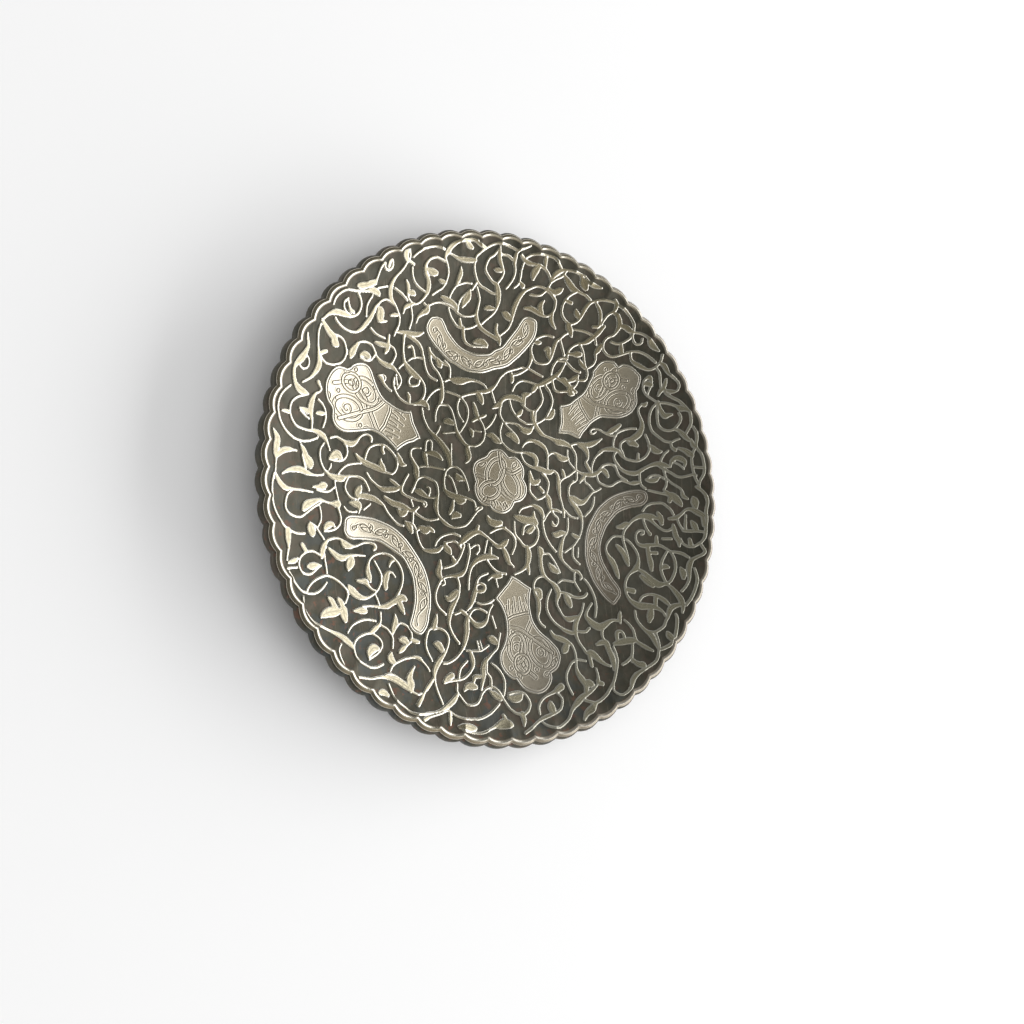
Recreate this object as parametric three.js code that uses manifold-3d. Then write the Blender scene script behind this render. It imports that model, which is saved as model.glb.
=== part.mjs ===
// Shallow copper dish with silver inlay, in millimetres, +Z up, resting on its base at z = 0.
// The copper is one raised sheet with a scalloped, turned-down rim. The silver is let into it
// as seven engraved cartouche plates, a band round the rim, and the lengths of a scrolling vine.
import * as THREE from 'three';
import Module from 'manifold-3d';

const wasm = await Module();
wasm.setup();
const { Manifold, Mesh: SolidMesh } = wasm;

// Driving dimensions of the copper.
const rimRadius = 90;        // to the tips of the scallops
const wellDepth = 10.5;      // from the crest of the rim down to the flat floor
const sheet = 1.2;           // thickness of the copper
const floorRadius = 25;      // the flat middle
const wallCurve = 2.4;       // how late the wall turns up: 2 is a parabola
const lipReach = 3;          // from the crest out to the edge of the turned-down lip
const lipDrop = 3.2;         // from the crest down to the lower edge of the lip
const lipSheet = 1.1;        // thickness of the lip
const scallopCount = 64;
const scallopDepth = 1.15;   // from a scallop's tip in to the cusps beside it
const scallopFade = 3;       // how far the scallops run inward from the crest
const scallopDrift = 2.75;   // degrees by which the hand-cut scallops crowd together at one side
const scallopStart = 7.4;    // degrees of the first cusp
const crowdedSide = 350;     // degrees of that side

// Driving dimensions of the silver.
const plateProud = 0.35;     // cartouche plates above the copper
const pocketDepth = 0.55;    // pockets cut in the copper for them
const seatGap = 0.15;        // all round and under a plate, and under the band and the vine
const bandWidth = 1.9;       // silver band on the crest of the rim
const bandThickness = 0.3;
const vineThickness = 0.3;
const vineToPlate = 0.25;    // least gap from the vine to a cartouche or to the scallops
const vineCut = 0.2;         // gap where one length of vine ends and the next begins
const vineLengths = 8;       // sectors in which the longest vine was laid
const longShare = 0.12;      // a vine with this share of all its silver was laid in several lengths
const leastShare = 0.0079;   // the smallest length kept as a solid, as a share of the same

// The drawing of the silver is in ninetieths of the rim's radius, and so grows with the rim.
const drawingScale = rimRadius / 90;
const crestRadius = rimRadius - lipReach;
const crestHeight = sheet + wellDepth;
const degree = Math.PI / 180;

// Height of the copper's upper face at a radius inside the crest.
function wallHeight(radius) {
  const t = Math.min(Math.max((radius - floorRadius) / (crestRadius - floorRadius), 0), 1);
  return sheet + wellDepth * t ** wallCurve;
}

function wallSlope(radius) {
  const t = Math.min(Math.max((radius - floorRadius) / (crestRadius - floorRadius), 0), 1);
  return wellDepth * wallCurve * t ** (wallCurve - 1) / (crestRadius - floorRadius);
}

// Height of the lip beyond the crest: a quarter of an ellipse.
function lipHeight(radius) {
  const o = Math.min(Math.max((radius - crestRadius) / lipReach, 0), 1);
  return crestHeight - lipDrop * (1 - Math.sqrt(1 - o * o));
}

// The scallops: angle of a step round the rim, and how far it stands in from the tips.
const stepsPerScallop = 3;
const rimSteps = scallopCount * stepsPerScallop;

function stepAngle(step, steps) {
  const even = scallopStart + 360 * step / steps;
  return (even + scallopDrift * Math.cos((even - crowdedSide) * degree)) * degree;
}

// A scallop bows as a parabola does, and the steps nearest its middle stand at the tip's radius.
function scallopInset(step) {
  const u = (step % stepsPerScallop) / stepsPerScallop;
  const level = (stepsPerScallop % 2) / stepsPerScallop;
  return scallopDepth * ((2 * u - 1) ** 2 - level ** 2) / (1 - level ** 2);
}

// One ring of points. A radius inside the scalloped border stays round.
function ring(radius, height, steps) {
  const points = [];
  const share = Math.min(Math.max(1 - (crestRadius - radius) / scallopFade, 0), 1);
  for (let i = 0; i < steps; i++) {
    const inset = steps === rimSteps ? scallopInset(i) * share : 0;
    const angle = stepAngle(i, steps);
    points.push([(radius - inset) * Math.cos(angle), (radius - inset) * Math.sin(angle), height]);
  }
  return points;
}

// Closed solid from rings: the first and the last may be single points.
function solidFromRings(rings, closed = false) {
  const vertices = rings.flat(2);
  const starts = [];
  let count = 0;
  for (const points of rings) {
    starts.push(count);
    count += points.length;
  }
  const faces = [];
  const last = closed ? rings.length : rings.length - 1;
  for (let r = 0; r < last; r++) {
    const s = (r + 1) % rings.length;
    stitch(starts[r], rings[r].length, starts[s], rings[s].length, faces);
  }
  return toManifold(vertices, faces);
}

// Triangles between two rings, where one may have a whole number of times the other's points.
function stitch(a, an, b, bn, faces) {
  const many = Math.max(an, bn);
  const few = Math.min(an, bn);
  const ratio = many / few;
  for (let i = 0; i < few; i++) {
    const next = (i + 1) % few;
    for (let j = 0; j < ratio; j++) {
      const m0 = i * ratio + j;
      const m1 = (m0 + 1) % many;
      const near = j < ratio / 2 ? i : next;
      if (an <= bn) faces.push(a + near, b + m0, b + m1);
      else faces.push(b + near, a + m1, a + m0);
    }
    if (few > 1) {
      const middle = (i * ratio + Math.ceil(ratio / 2)) % many;
      if (an <= bn) faces.push(a + i, b + middle, a + next);
      else faces.push(b + i, b + next, a + middle);
    }
  }
}

function toManifold(vertices, faces) {
  return new Manifold(new SolidMesh({
    numProp: 3,
    vertProperties: new Float32Array(vertices),
    triVerts: new Uint32Array(faces),
  }));
}

function toGeometry(solid) {
  const mesh = solid.getMesh();
  return arraysToGeometry(mesh.vertProperties, mesh.numProp, mesh.triVerts);
}

function arraysToGeometry(properties, stride, faces) {
  const positions = new Float32Array(properties.length / stride * 3);
  for (let i = 0; i < positions.length / 3; i++) {
    for (let k = 0; k < 3; k++) positions[3 * i + k] = properties[stride * i + k];
  }
  const geometry = new THREE.BufferGeometry();
  geometry.setAttribute('position', new THREE.BufferAttribute(positions, 3));
  geometry.setIndex(new THREE.BufferAttribute(new Uint32Array(faces), 1));
  geometry.computeVertexNormals();
  return geometry;
}

// Radii of the rings of the well, closer together where the wall curves more.
const wellSteps = scallopCount;
const wellRings = [0, 0.12, 0.24, 0.36, 0.48, 0.59, 0.70, 0.80]
  .map((t) => floorRadius + t * (crestRadius - floorRadius));
const borderRadius = crestRadius - scallopFade;

// The upper face of the well, moved along z by a height, from the centre out to a last radius.
function wellFace(lift) {
  const rings = [[[0, 0, sheet + lift]]];
  for (const radius of wellRings) rings.push(ring(radius, wallHeight(radius) + lift, wellSteps));
  rings.push(ring(borderRadius, wallHeight(borderRadius) + lift, wellSteps));
  return rings;
}

// The layer of space between two heights over the well.
function wellLayer(low, high) {
  return solidFromRings([...wellFace(high), ...wellFace(low).reverse()]);
}

function copperSolid() {
  const rings = wellFace(0);
  for (const share of [0, bandWidth / lipReach, 0.9]) {
    const radius = crestRadius + share * lipReach;
    rings.push(ring(radius, lipHeight(radius), rimSteps));
  }
  const foot = crestHeight - lipDrop;
  rings.push(ring(rimRadius, foot, rimSteps));
  rings.push(ring(rimRadius - lipSheet, foot, rimSteps));
  rings.push(ring(crestRadius + 0.3, crestHeight - 1.3 * sheet, rimSteps));
  rings.push(ring(borderRadius, wallHeight(borderRadius) - 1.15 * sheet, wellSteps));
  for (const t of [0.8, 0.55, 0.3]) {
    const radius = floorRadius + t * (crestRadius - floorRadius);
    const lift = sheet * Math.hypot(1, wallSlope(radius));
    rings.push(ring(radius, wallHeight(radius) - lift, wellSteps));
  }
  rings.push(ring(floorRadius, 0, wellSteps));
  rings.push([[0, 0, 0]]);
  return solidFromRings(rings);
}

// The silver band lies over the crest and follows the scallops.
function bandSolid() {
  const rings = [];
  const outer = crestRadius + bandWidth;
  const low = [crestRadius, outer].map((radius) => [radius, lipHeight(radius) + seatGap]);
  const high = low.map(([radius, height]) => [radius, height + bandThickness]).reverse();
  for (const [radius, height] of [...low, ...high]) rings.push(ring(radius, height, rimSteps));
  return solidFromRings(rings.reverse(), true);
}

// A closed outline grown or shrunk by a distance, and raised into a prism that spans the well.
function offsetOutline(points, distance) {
  const out = [];
  for (let i = 0; i < points.length; i++) {
    const before = points[(i + points.length - 1) % points.length];
    const after = points[(i + 1) % points.length];
    const a = new THREE.Vector2(points[i][0] - before[0], points[i][1] - before[1]).normalize();
    const b = new THREE.Vector2(after[0] - points[i][0], after[1] - points[i][1]).normalize();
    const normal = new THREE.Vector2(a.y + b.y, -a.x - b.x).normalize();
    const stretch = Math.min(1 / Math.max(normal.dot(new THREE.Vector2(a.y, -a.x)), 0.5), 2);
    out.push([points[i][0] + normal.x * distance * stretch, points[i][1] + normal.y * distance * stretch]);
  }
  return out;
}

function prism(outline, low = -crestHeight, high = 2 * crestHeight) {
  const contour = outline.map(([x, y]) => new THREE.Vector2(x, y));
  const caps = THREE.ShapeUtils.triangulateShape(contour, []);
  const count = outline.length;
  const vertices = [];
  for (const [x, y] of outline) vertices.push(x, y, low);
  for (const [x, y] of outline) vertices.push(x, y, high);
  const faces = [];
  for (const [a, b, c] of caps) faces.push(count + a, count + b, count + c, a, c, b);
  for (let i = 0; i < count; i++) {
    const next = (i + 1) % count;
    faces.push(i, next, count + next, i, count + next, count + i);
  }
  return toManifold(vertices, faces);
}

// Outlines are written in either direction: they are turned anticlockwise and scaled here.
function readOutline(flat) {
  const points = [];
  for (let i = 0; i < flat.length; i += 2) points.push([flat[i] * drawingScale, flat[i + 1] * drawingScale]);
  return THREE.ShapeUtils.area(points.map(([x, y]) => ({ x, y }))) < 0 ? points.reverse() : points;
}

// Edges of the seven cartouches, seen from above: x, y, x, y.
const cartouches = {
  centre_medallion: [
    -5.85, 10.9, -5.1, 11.9, -4, 12.85, -2.5, 13.4, -0.3, 13.5, 1.4, 12.7, 2.5, 11.55, 3.2, 10.9, 4.5, 11.1,
    6, 10.9, 7.3, 10.1, 8.6, 8.6, 9.4, 6.9, 9.6, 5.4, 9.4, 4, 9.05, 2.85, 9.9, 1.55, 10.35, 0.25, 10.4, -1.05,
    10.1, -2.5, 9.3, -3.8, 8.2, -4.75, 6.9, -5.3, 5.1, -5.75, 4.6, -6.8, 3.8, -7.9, 2.7, -8.8, 1.4, -9.45,
    -0.3, -9.8, -1.8, -9.55, -3.4, -9, -4.55, -8.25, -5.2, -7.25, -6.6, -7.15, -8.1, -6.7, -9.55, -5.65,
    -10.5, -4.2, -11.05, -2.5, -11.2, -1.05, -11.1, 0.05, -10.65, 1.35, -11.2, 3.2, -11.6, 4.9, -11.5, 6.35,
    -10.85, 7.85, -9.75, 8.95, -8.25, 9.8, -6.8, 10.35],
  drop_cartouche_left: [
    -58.6, 36.05, -57.5, 36.6, -56.6, 37.5, -55, 38.3, -53, 38.6, -51.25, 38.25, -50, 37.4, -49.1, 36,
    -48.25, 34, -47.25, 31.75, -46, 29.5, -44.5, 27.75, -42.25, 26.4, -40, 25.25, -37.5, 24.5, -34.4, 24.5,
    -34, 23.5, -33.4, 20.75, -32.5, 18.75, -31.5, 16.75, -30.9, 15.1, -32, 14.9, -33.5, 14, -35.75, 13.25,
    -38, 11.9, -39.9, 10.4, -41, 11.25, -42.25, 12.5, -43.75, 13.75, -45.5, 15, -47.5, 16, -50, 16.55,
    -52.5, 16.1, -55.5, 15.6, -58.5, 15.2, -60.75, 15.55, -62.5, 16.5, -63.6, 18, -64, 19.75, -63.9, 21.5,
    -64.1, 22.6, -64.75, 23.5, -65.75, 24.75, -66.4, 26.75, -66.55, 28.5, -66.4, 30.5, -65.75, 32.25,
    -64.6, 34.25, -63.25, 35.6, -61.75, 36.3, -60, 36.3],
  drop_cartouche_right: [
    49.95, 47.1, 48.5, 48.5, 47.25, 48.95, 45.5, 49.05, 43.5, 48.75, 41.75, 47.6, 40.5, 46.1, 39.4, 44.75,
    39.25, 43.25, 38.6, 41.75, 37.75, 40.25, 36.5, 37.75, 35, 36, 33, 34.5, 31.25, 33.25, 30, 32.25,
    27.75, 31.5, 25.75, 31.25, 25.5, 30, 25.6, 25, 24.9, 22.5, 24.6, 20.6, 26.75, 20.45, 28.75, 20.45,
    30.25, 20.1, 32, 19.4, 33.5, 19.05, 34.25, 19.4, 35.5, 21.25, 37, 22.75, 38.5, 24.5, 39.75, 25.5,
    41.75, 26.75, 43.25, 27.4, 45.5, 27.4, 48, 27.4, 50.25, 27.4, 52, 27.75, 54, 28.5, 56, 29.75,
    57.25, 31.25, 58, 32.5, 58.4, 34, 58.25, 35.75, 58, 38, 58.9, 39.5, 59.5, 42, 59.4, 43.75, 58.5, 44.9,
    57.75, 45.5, 56.5, 46.6, 55, 47.5, 53.25, 48, 51.5, 48],
  drop_cartouche_low: [
    2.43, -31.4, 5.1, -32.7, 8, -34.6, 10.3, -36, 10.3, -36.9, 9.86, -38.3, 9.4, -41.4, 9.6, -44.3,
    10.1, -47.1, 11.4, -49.7, 13.1, -51.7, 15.7, -53.9, 17.7, -56, 19, -57.7, 19.6, -59.9, 19.3, -61.7,
    18.3, -63.7, 16.9, -65, 14.9, -66, 15, -67.4, 14.3, -69.1, 13.1, -70.6, 11.4, -71.9, 9.1, -72.6,
    6.9, -72.6, 4.3, -71.7, 2.6, -70.6, 1.4, -69.1, 0.4, -67.4, -1.1, -67.1, -2.9, -65.7, -4.1, -64,
    -4.9, -62, -4.9, -59.7, -4.3, -57.7, -3.1, -56, -2, -54, -1.1, -51.1, -0.9, -48.6, -1.1, -46,
    -1.9, -43.4, -2.9, -41.4, -4.1, -40, -4.4, -39.1, -3.4, -38, -1.1, -35.7, 0.9, -33.7],
  crescent_cartouche_top: [
    -25.2, 57.9, -27.2, 57.4, -28.6, 55.6, -29.2, 53.4, -28.6, 51.4, -27.2, 49.4, -25.2, 47.4, -22.9, 45.4,
    -20.6, 43.6, -18.9, 42.7, -16.9, 41.9, -14.9, 40.9, -12.1, 40.1, -9.2, 40, -6.4, 40.1, -3.5, 41,
    -1.5, 41.8, 1.4, 42.5, 4.2, 43.6, 6.5, 45.4, 8.8, 47.4, 10.8, 49.4, 12.8, 51.6, 14.5, 53.9, 15.5, 56.2,
    15.8, 59.1, 15.4, 60.8, 13.9, 61.8, 11.6, 62.2, 9.9, 61.6, 8.5, 59.9, 7.1, 57.6, 5.4, 55.4, 3.6, 53.1,
    1.4, 50.5, -1.5, 49.1, -3.5, 47.6, -6.4, 47.1, -9.2, 46.9, -12.1, 47.4, -14.9, 48.5, -16.9, 49.9,
    -18.9, 51.9, -20.4, 53.6, -21.5, 55.6, -22.9, 57.4],
  crescent_cartouche_left: [
    -60.4, -16.1, -60, -13.3, -58.9, -12.1, -57.4, -11.7, -54.6, -11.7, -50.3, -12.1, -47.4, -12.9,
    -44.6, -13.9, -41.8, -15.3, -39.2, -17.3, -36.9, -19.6, -34.6, -22.7, -32.4, -26.1, -30.9, -29,
    -29.8, -32.4, -29.2, -35.9, -29.1, -39, -29.5, -42.5, -30.1, -44.4, -30.6, -46.6, -31.5, -48.6,
    -33.2, -50.5, -34.9, -50.8, -36.9, -49.8, -38.1, -48.1, -38.1, -46.6, -37.2, -44.4, -36.4, -42,
    -35.7, -39, -35.7, -34.7, -36.2, -31.3, -37.5, -28.4, -39.2, -25.6, -41.7, -23.7, -44.6, -21.9,
    -47.4, -20.4, -50.3, -19.9, -54.6, -19.7, -57.4, -19.7, -59.4, -19, -60.4, -17.3],
  crescent_cartouche_right: [
    59.1, 0.7, 60.9, 0, 61.9, -1.6, 61.7, -3.5, 60.3, -5.1, 58.3, -6, 54.9, -6.5, 52, -7.2, 49.1, -8.5,
    47.1, -10.2, 45.4, -12, 43.7, -14, 42.3, -16.6, 41.2, -19, 40.5, -21.9, 40.8, -24.9, 41.9, -28,
    43.7, -31.3, 45.1, -33.6, 46.6, -35.6, 47.4, -37.6, 47.1, -39.6, 45.7, -41.3, 44.3, -42.6, 43, -42.7,
    40.8, -41, 39.1, -39, 37.1, -36.1, 35.6, -33.3, 34.6, -30.4, 33.8, -27.6, 33.4, -24.7, 33.5, -21.9,
    33.8, -19, 34.5, -16.1, 35.6, -13.3, 37.6, -10.1, 39.1, -7.9, 40.8, -6, 43, -4.2, 44.9, -2.9,
    47.7, -1.5, 50.6, -0.5, 53.4, 0.2, 56.3, 0.6],
};

// The main strokes of the vine, seen from above: x, y, width.
const vineStrokes = [
  [[-84.7, -0.4, 1], [-85.3, -3.3], [-85.5, -6.4], [-85.2, -9.2], [-84.3, -12], [-82.9, -14.4], [-81.4, -16.4],
    [-79.2, -17.7], [-76.9, -18.4], [-74.4, -18.3]],
  [[-84.2, -0.2, 1], [-82.9, -2.7, 1.9], [-80.9, -4.4, 1.9], [-78.9, -4.6, 1.2], [-75, -4.7, 1],
    [-71.1, -5.1, 0.9]],
  [[-78.5, -5, 1], [-79.9, -6.3], [-80.6, -8], [-80.9, -10], [-80.4, -11.5], [-79.1, -12.6], [-76.6, -13.3],
    [-74.9, -12.8], [-73.1, -11.5], [-70.9, -9.9], [-68.4, -8.4]],
  [[-74.6, -10.7, 1.6], [-73.4, -9.3, 2.9], [-71.4, -8.3, 2.4], [-68.9, -7.4, 1.4], [-67.7, -7.6, 1.2],
    [-66, -8, 1], [-64.3, -8.3, 1.4], [-62.3, -8.4, 3]],
  [[-54.6, -5.6, 1.4], [-53.2, -5.3, 2.2], [-51.7, -5.4, 2.4], [-49.1, -5.9, 2.2], [-46.9, -7, 1.6],
    [-45.4, -8.1, 1.1], [-44, -10.4, 1], [-42.3, -12.4], [-40.4, -14.1], [-38.4, -14.7]],
  [[-68.7, -25.6, 1.4], [-68.3, -23.6, 2.2], [-67.4, -21.6, 1.9], [-66, -20.1, 1.2], [-63.4, -19.4, 1],
    [-61.4, -19.9, 1.2], [-60.2, -21.3, 2.6], [-58.4, -21.9, 2], [-57.1, -21.9, 1.1], [-55.7, -21.6, 1],
    [-53.4, -20.7], [-51.1, -20.6], [-49.5, -21.1, 1.2], [-49, -22.1, 1.6], [-49.6, -22.8, 1.2]],
  [[-68.6, -25.4, 1], [-70, -24.6], [-71.7, -23.8], [-73.4, -23.9], [-75, -24.7], [-76.3, -25.9],
    [-76.9, -27.6], [-76.7, -29.3], [-75.7, -30.6], [-74, -31.1], [-72.3, -30.6], [-70.6, -29.3],
    [-69.5, -28.4]],
  [[-80.6, -30.4, 1], [-79.7, -32.1], [-78.6, -33.9], [-76.9, -35.9], [-75.1, -36.7], [-73.1, -37.1],
    [-71.1, -36.7], [-69.4, -35.7], [-68.1, -34.4], [-67.4, -33.6]],
  [[-74.6, -36, 1], [-73.4, -34.4], [-71.7, -33], [-69.7, -32], [-67.4, -31.4], [-65.4, -31.9], [-63.4, -33],
    [-61.7, -34.4], [-60.3, -36.1], [-60.1, -37.9], [-61.1, -39.9]],
  [[-66, -22.8, 1.2], [-64.6, -24, 1.9], [-62.9, -25.3, 2.3], [-61, -25.7, 2.2], [-59, -25, 1.3],
    [-56, -24.7, 1], [-53, -24.9, 0.9]],
  [[-42.1, -38.1, 1.1], [-40.9, -36.4], [-39.9, -34.4], [-39.4, -32.1], [-39.6, -29.9], [-40.6, -27.6],
    [-42.1, -25.9], [-43.5, -24.7], [-45.1, -24.1, 1], [-47.1, -23.9], [-49.1, -24.4], [-50.6, -25.4],
    [-51.7, -27, 1.1], [-52.2, -29.5, 2], [-51.9, -31.5, 2.3], [-51.5, -33.1, 1.2]],
  [[-49.6, -26.6, 1], [-48.6, -28.4], [-47.5, -30.6], [-47.4, -32.7], [-48, -34.4], [-49.2, -36.2],
    [-50.9, -37.5], [-52.9, -38.4, 1.2], [-55, -38.4, 1.9], [-57, -37.4, 2.6], [-58.6, -36, 2.8],
    [-59.5, -34.8, 1.6]],
  [[-55, -41.2, 1], [-51.7, -41.1], [-48.6, -41.4, 1.4], [-46, -41.2, 2.2], [-44, -40.2, 2.2],
    [-42, -39.3, 2.6], [-40.2, -38.6, 2.8], [-38.8, -39.2, 1.6]],
  [[-51.3, 2.4, 1], [-50, 0.5], [-48.6, -0.7], [-46.9, -2, 1.2], [-45, -2.7, 2], [-43, -2.7, 2.2],
    [-41, -2.5, 2], [-39.6, -2, 1.6], [-38.4, -1.4, 1.2]],
  [[-73.4, 43, 1.3], [-73.1, 40.9, 1.4], [-73.9, 38.8, 1.9], [-75.4, 36.4, 2.6], [-77.1, 34.6, 1.8],
    [-77.9, 33, 1.4], [-77.9, 31, 1.5], [-77.3, 28.7, 1.7], [-76, 27, 2.5], [-74.3, 26.3, 2.2],
    [-72.6, 25.8, 1]],
  [[-69, 48, 1], [-69.6, 45.7], [-69.6, 43], [-69.4, 40.7, 1.1], [-69.2, 38.7, 1.4], [-68.9, 37, 1.8],
    [-69, 35.3, 2.3], [-70, 33.3, 1.9], [-72, 31, 1.2], [-74.7, 29.3, 0.9]],
  [[-68.7, 39, 1], [-67.9, 37.6], [-66.6, 36.6], [-64.9, 36.3], [-62.9, 36.6], [-60.9, 37.5], [-59.6, 39],
    [-59, 41], [-59.4, 43], [-60.3, 44.7], [-62, 45.7], [-64, 45.9]],
  [[-48.6, 43.2, 1.1], [-47.6, 41.3], [-46, 39.9, 1.6], [-43.7, 39, 2], [-41.5, 38.5, 1.8], [-40, 37.4, 1],
    [-38.9, 36.1], [-38.2, 34.4], [-38.6, 33], [-39.5, 31.7]],
  [[-69, 30.1, 1.6], [-68.4, 29, 1.2], [-67.9, 28, 1.1], [-68.6, 27, 1], [-70, 26.2, 1.2], [-71.1, 24, 2.1],
    [-71.7, 21.5, 2.4], [-71.5, 19.5, 1.7], [-71.1, 17.5, 1.2], [-71.2, 15.4, 1]],
  [[-72.6, 25.8, 1], [-74.6, 25.1], [-76.6, 24.2], [-78.3, 22.7], [-79, 20.7], [-78.9, 18.7], [-78, 16.7],
    [-76.6, 15.3], [-74.6, 14.7], [-72.3, 14.4, 1.1], [-70.4, 14.5, 1.5], [-68.4, 14, 2], [-66.8, 13, 2],
    [-65.8, 11.6, 1.3], [-65.2, 10.2, 1], [-64.7, 9, 0.9]],
  [[-79, 27.6, 0.9], [-80.9, 25.9, 1], [-82.3, 24.1], [-83.1, 21.9], [-83.3, 19.6], [-82.9, 17.3], [-81.7, 15],
    [-80, 13], [-77.7, 11.5], [-76, 11], [-74.3, 10.8], [-72.3, 11.1], [-70.6, 11.7], [-69.1, 12.4]],
  [[-84.9, 13.3, 0.9], [-83.6, 11, 2.2], [-83.7, 8.7, 2.6], [-84.1, 6.3, 2], [-83.9, 4.4, 1.2],
    [-84.1, 2.4, 0.9], [-84.3, 0]],
  [[-81.8, -0.1, 0.9], [-79.6, 1.1, 1.5], [-77, 1.7, 2.2], [-75, 1.6, 2.3], [-72.8, 0.8, 1.8], [-70.5, 0.4, 1],
    [-68.5, 0.5, 0.9], [-67.2, 0.8, 1.1]],
  [[-66.9, 10.7, 1], [-68, 9], [-68.3, 7], [-67.9, 4.7], [-66.9, 2.7], [-65.4, 1.2, 1.3], [-63.4, 0.3, 2.2],
    [-60.9, 0, 2.6], [-59.2, 0.6, 1.4], [-57, 1, 1.1], [-54.6, 1], [-52.9, 0.4], [-51.7, -0.9], [-50.6, -3.2]],
  [[-64.4, 12.9, 1], [-62.3, 13.4], [-60.3, 12.6, 1.1], [-58.6, 11.7, 2], [-56.6, 11.6, 2.3],
    [-54.9, 12.6, 1.6], [-53.6, 14.1, 1.1], [-52, 15.1, 1], [-50.4, 15], [-49.5, 14.2, 1.3],
    [-49.4, 13.2, 1.2]],
  [[-55.2, 8.4, 1], [-54, 7, 1.8], [-52, 5.9, 2.2], [-49.8, 5.1, 2.2], [-47.6, 4.4, 2.2], [-45.6, 3.5, 1.6],
    [-43.6, 2.9, 1], [-41.8, 2.7], [-40.4, 4.1], [-39.9, 6.1], [-40.4, 8.1], [-41.8, 9.9, 1.1], [-42.9, 10.9],
    [-44.3, 11.9], [-46, 12.2], [-48, 12], [-50, 11], [-51.1, 9.3], [-51.7, 7.6], [-52, 6.4]],
  [[-49.6, 64.6, 1.6], [-48.8, 66.7, 1], [-48.2, 68.8], [-47.4, 70.6], [-46.5, 71.2, 1.2], [-46.6, 70.2, 1.1],
    [-45.6, 69.4], [-44.2, 69.9], [-43.5, 71.3], [-43.9, 72.8], [-44.7, 72.2, 1.2], [-45, 70.9]],
  [[-64.7, 55.1, 1], [-64, 57.1], [-62.6, 58.8], [-60.9, 60.1], [-58.9, 60.6], [-56, 60.9], [-53.1, 61.4],
    [-51.4, 62, 1.6], [-49.8, 62.1, 2.4], [-48.2, 61.6, 2], [-47.9, 61, 1.2]],
  [[-56, 60.7, 1.1], [-54.8, 58.8], [-54.3, 56.8], [-54.8, 54.8], [-56, 53.4], [-58, 52.6, 1.2],
    [-60.4, 52.8, 1.9], [-62.4, 53, 2.2], [-64.4, 52.7, 1.9], [-66.2, 51.8, 1.3], [-68, 50, 1.1],
    [-68.6, 49.4]],
  [[-63.7, 51.1, 1], [-62.3, 49.6], [-60.3, 48.5], [-58, 47.9], [-55.7, 48.1, 1.1], [-53.6, 49.5, 1.7],
    [-52.2, 51.2, 1.9], [-50.6, 53.4, 1.9], [-49.6, 55.4, 1.6], [-48.8, 57.2, 1.2], [-47.8, 58.4, 1],
    [-46.6, 59.6], [-45.2, 60.2], [-43.7, 59.9], [-41.7, 59.1]],
  [[-76.1, -38, 0.9], [-76.3, -40.1], [-76.1, -41.7], [-75, -43.6, 1], [-73.6, -45.3], [-71.6, -46.6],
    [-69.2, -47.8], [-66.6, -49, 1.3], [-64.4, -50, 1.8], [-62.4, -51.3, 2.2], [-60.7, -52.8, 2],
    [-59.6, -54.2, 1.2]],
  [[-49.4, -59.6, 1], [-51.7, -60.4], [-54, -60.4], [-56, -59.5], [-58, -58.1], [-59.1, -56.4], [-59.4, -54.1],
    [-58.9, -52.4], [-57.7, -51.1], [-55.4, -50.1], [-52.9, -49.7], [-50.9, -50.6], [-49.4, -52.1],
    [-49, -53.8], [-49.9, -55.2], [-51.1, -56.2], [-52.9, -57.1], [-54.3, -57.9]],
  [[-61.7, -61.8, 0.9], [-59.7, -62.9, 1], [-57.1, -63.4], [-54.6, -63.8], [-51.7, -63.6], [-50, -63.6, 1.3],
    [-47.6, -63.9, 2], [-45.2, -64.8, 2.5], [-43, -66.2, 2.6], [-41.4, -67.4, 2.2], [-40, -68.7, 1.2],
    [-38, -69.7, 1], [-36.6, -69.6]],
  [[-48.3, -65.9, 1], [-47.7, -67.8], [-46.9, -70.1], [-45.4, -71.8], [-43.5, -73.4], [-41.8, -74.8],
    [-39.2, -75.8], [-36, -75.9], [-32, -75.7], [-29.2, -75, 1.4], [-26.6, -73.8, 2], [-24.4, -72.3, 2],
    [-23, -70.8, 1.3]],
  [[-46.9, -61.6, 1], [-46, -60.4], [-44.6, -59.5], [-42.6, -58.8], [-41, -58.3], [-39.2, -58.1],
    [-37.2, -58, 1.3], [-35.6, -58.5, 1.6], [-34.4, -59.8, 1], [-33.2, -61.2], [-32.4, -62.6]],
  [[-34.9, -3.3, 1], [-33.8, -1.3], [-32.3, 1.4], [-30, 2.2], [-28, 1.6], [-26.2, 0.8], [-25.2, -0.7],
    [-24.9, -3.3], [-25.4, -5, 1.6], [-25.9, -7.3, 2.1], [-25.7, -9, 1.7], [-25.2, -10.6, 1.1],
    [-24.2, -12, 1.3], [-22.6, -13.4, 1.5], [-20.6, -14.5, 1.1], [-18.4, -14.9, 1], [-15.6, -14.4],
    [-14.1, -13.6], [-12.6, -12.1], [-11.2, -10.4], [-9.8, -8.9], [-8.1, -7.9], [-9.6, -7.6], [-10.7, -8.6]],
  [[-38.4, -1.6, 1.2], [-38.6, -3.2, 1.4], [-37, -4.4, 1], [-35, -5.1], [-33, -5.8], [-31.2, -6.1],
    [-29.9, -6.5], [-29.5, -7.4], [-30.1, -7.9], [-30.7, -7.2]],
  [[-45, -5.2, 1.2], [-43.5, -6.3, 1.8], [-41.8, -7.2, 2.2], [-39.5, -7.7, 2.2], [-37.5, -8.4, 2],
    [-35.4, -9.4, 1.4], [-34, -9.3, 1.4], [-32.5, -8.3, 1.1]],
  [[-36.4, -13.6, 1.2], [-34.8, -14.2, 1.2], [-33.7, -15.8, 1], [-33.2, -18], [-32.7, -19.7], [-31.9, -21.4],
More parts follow.
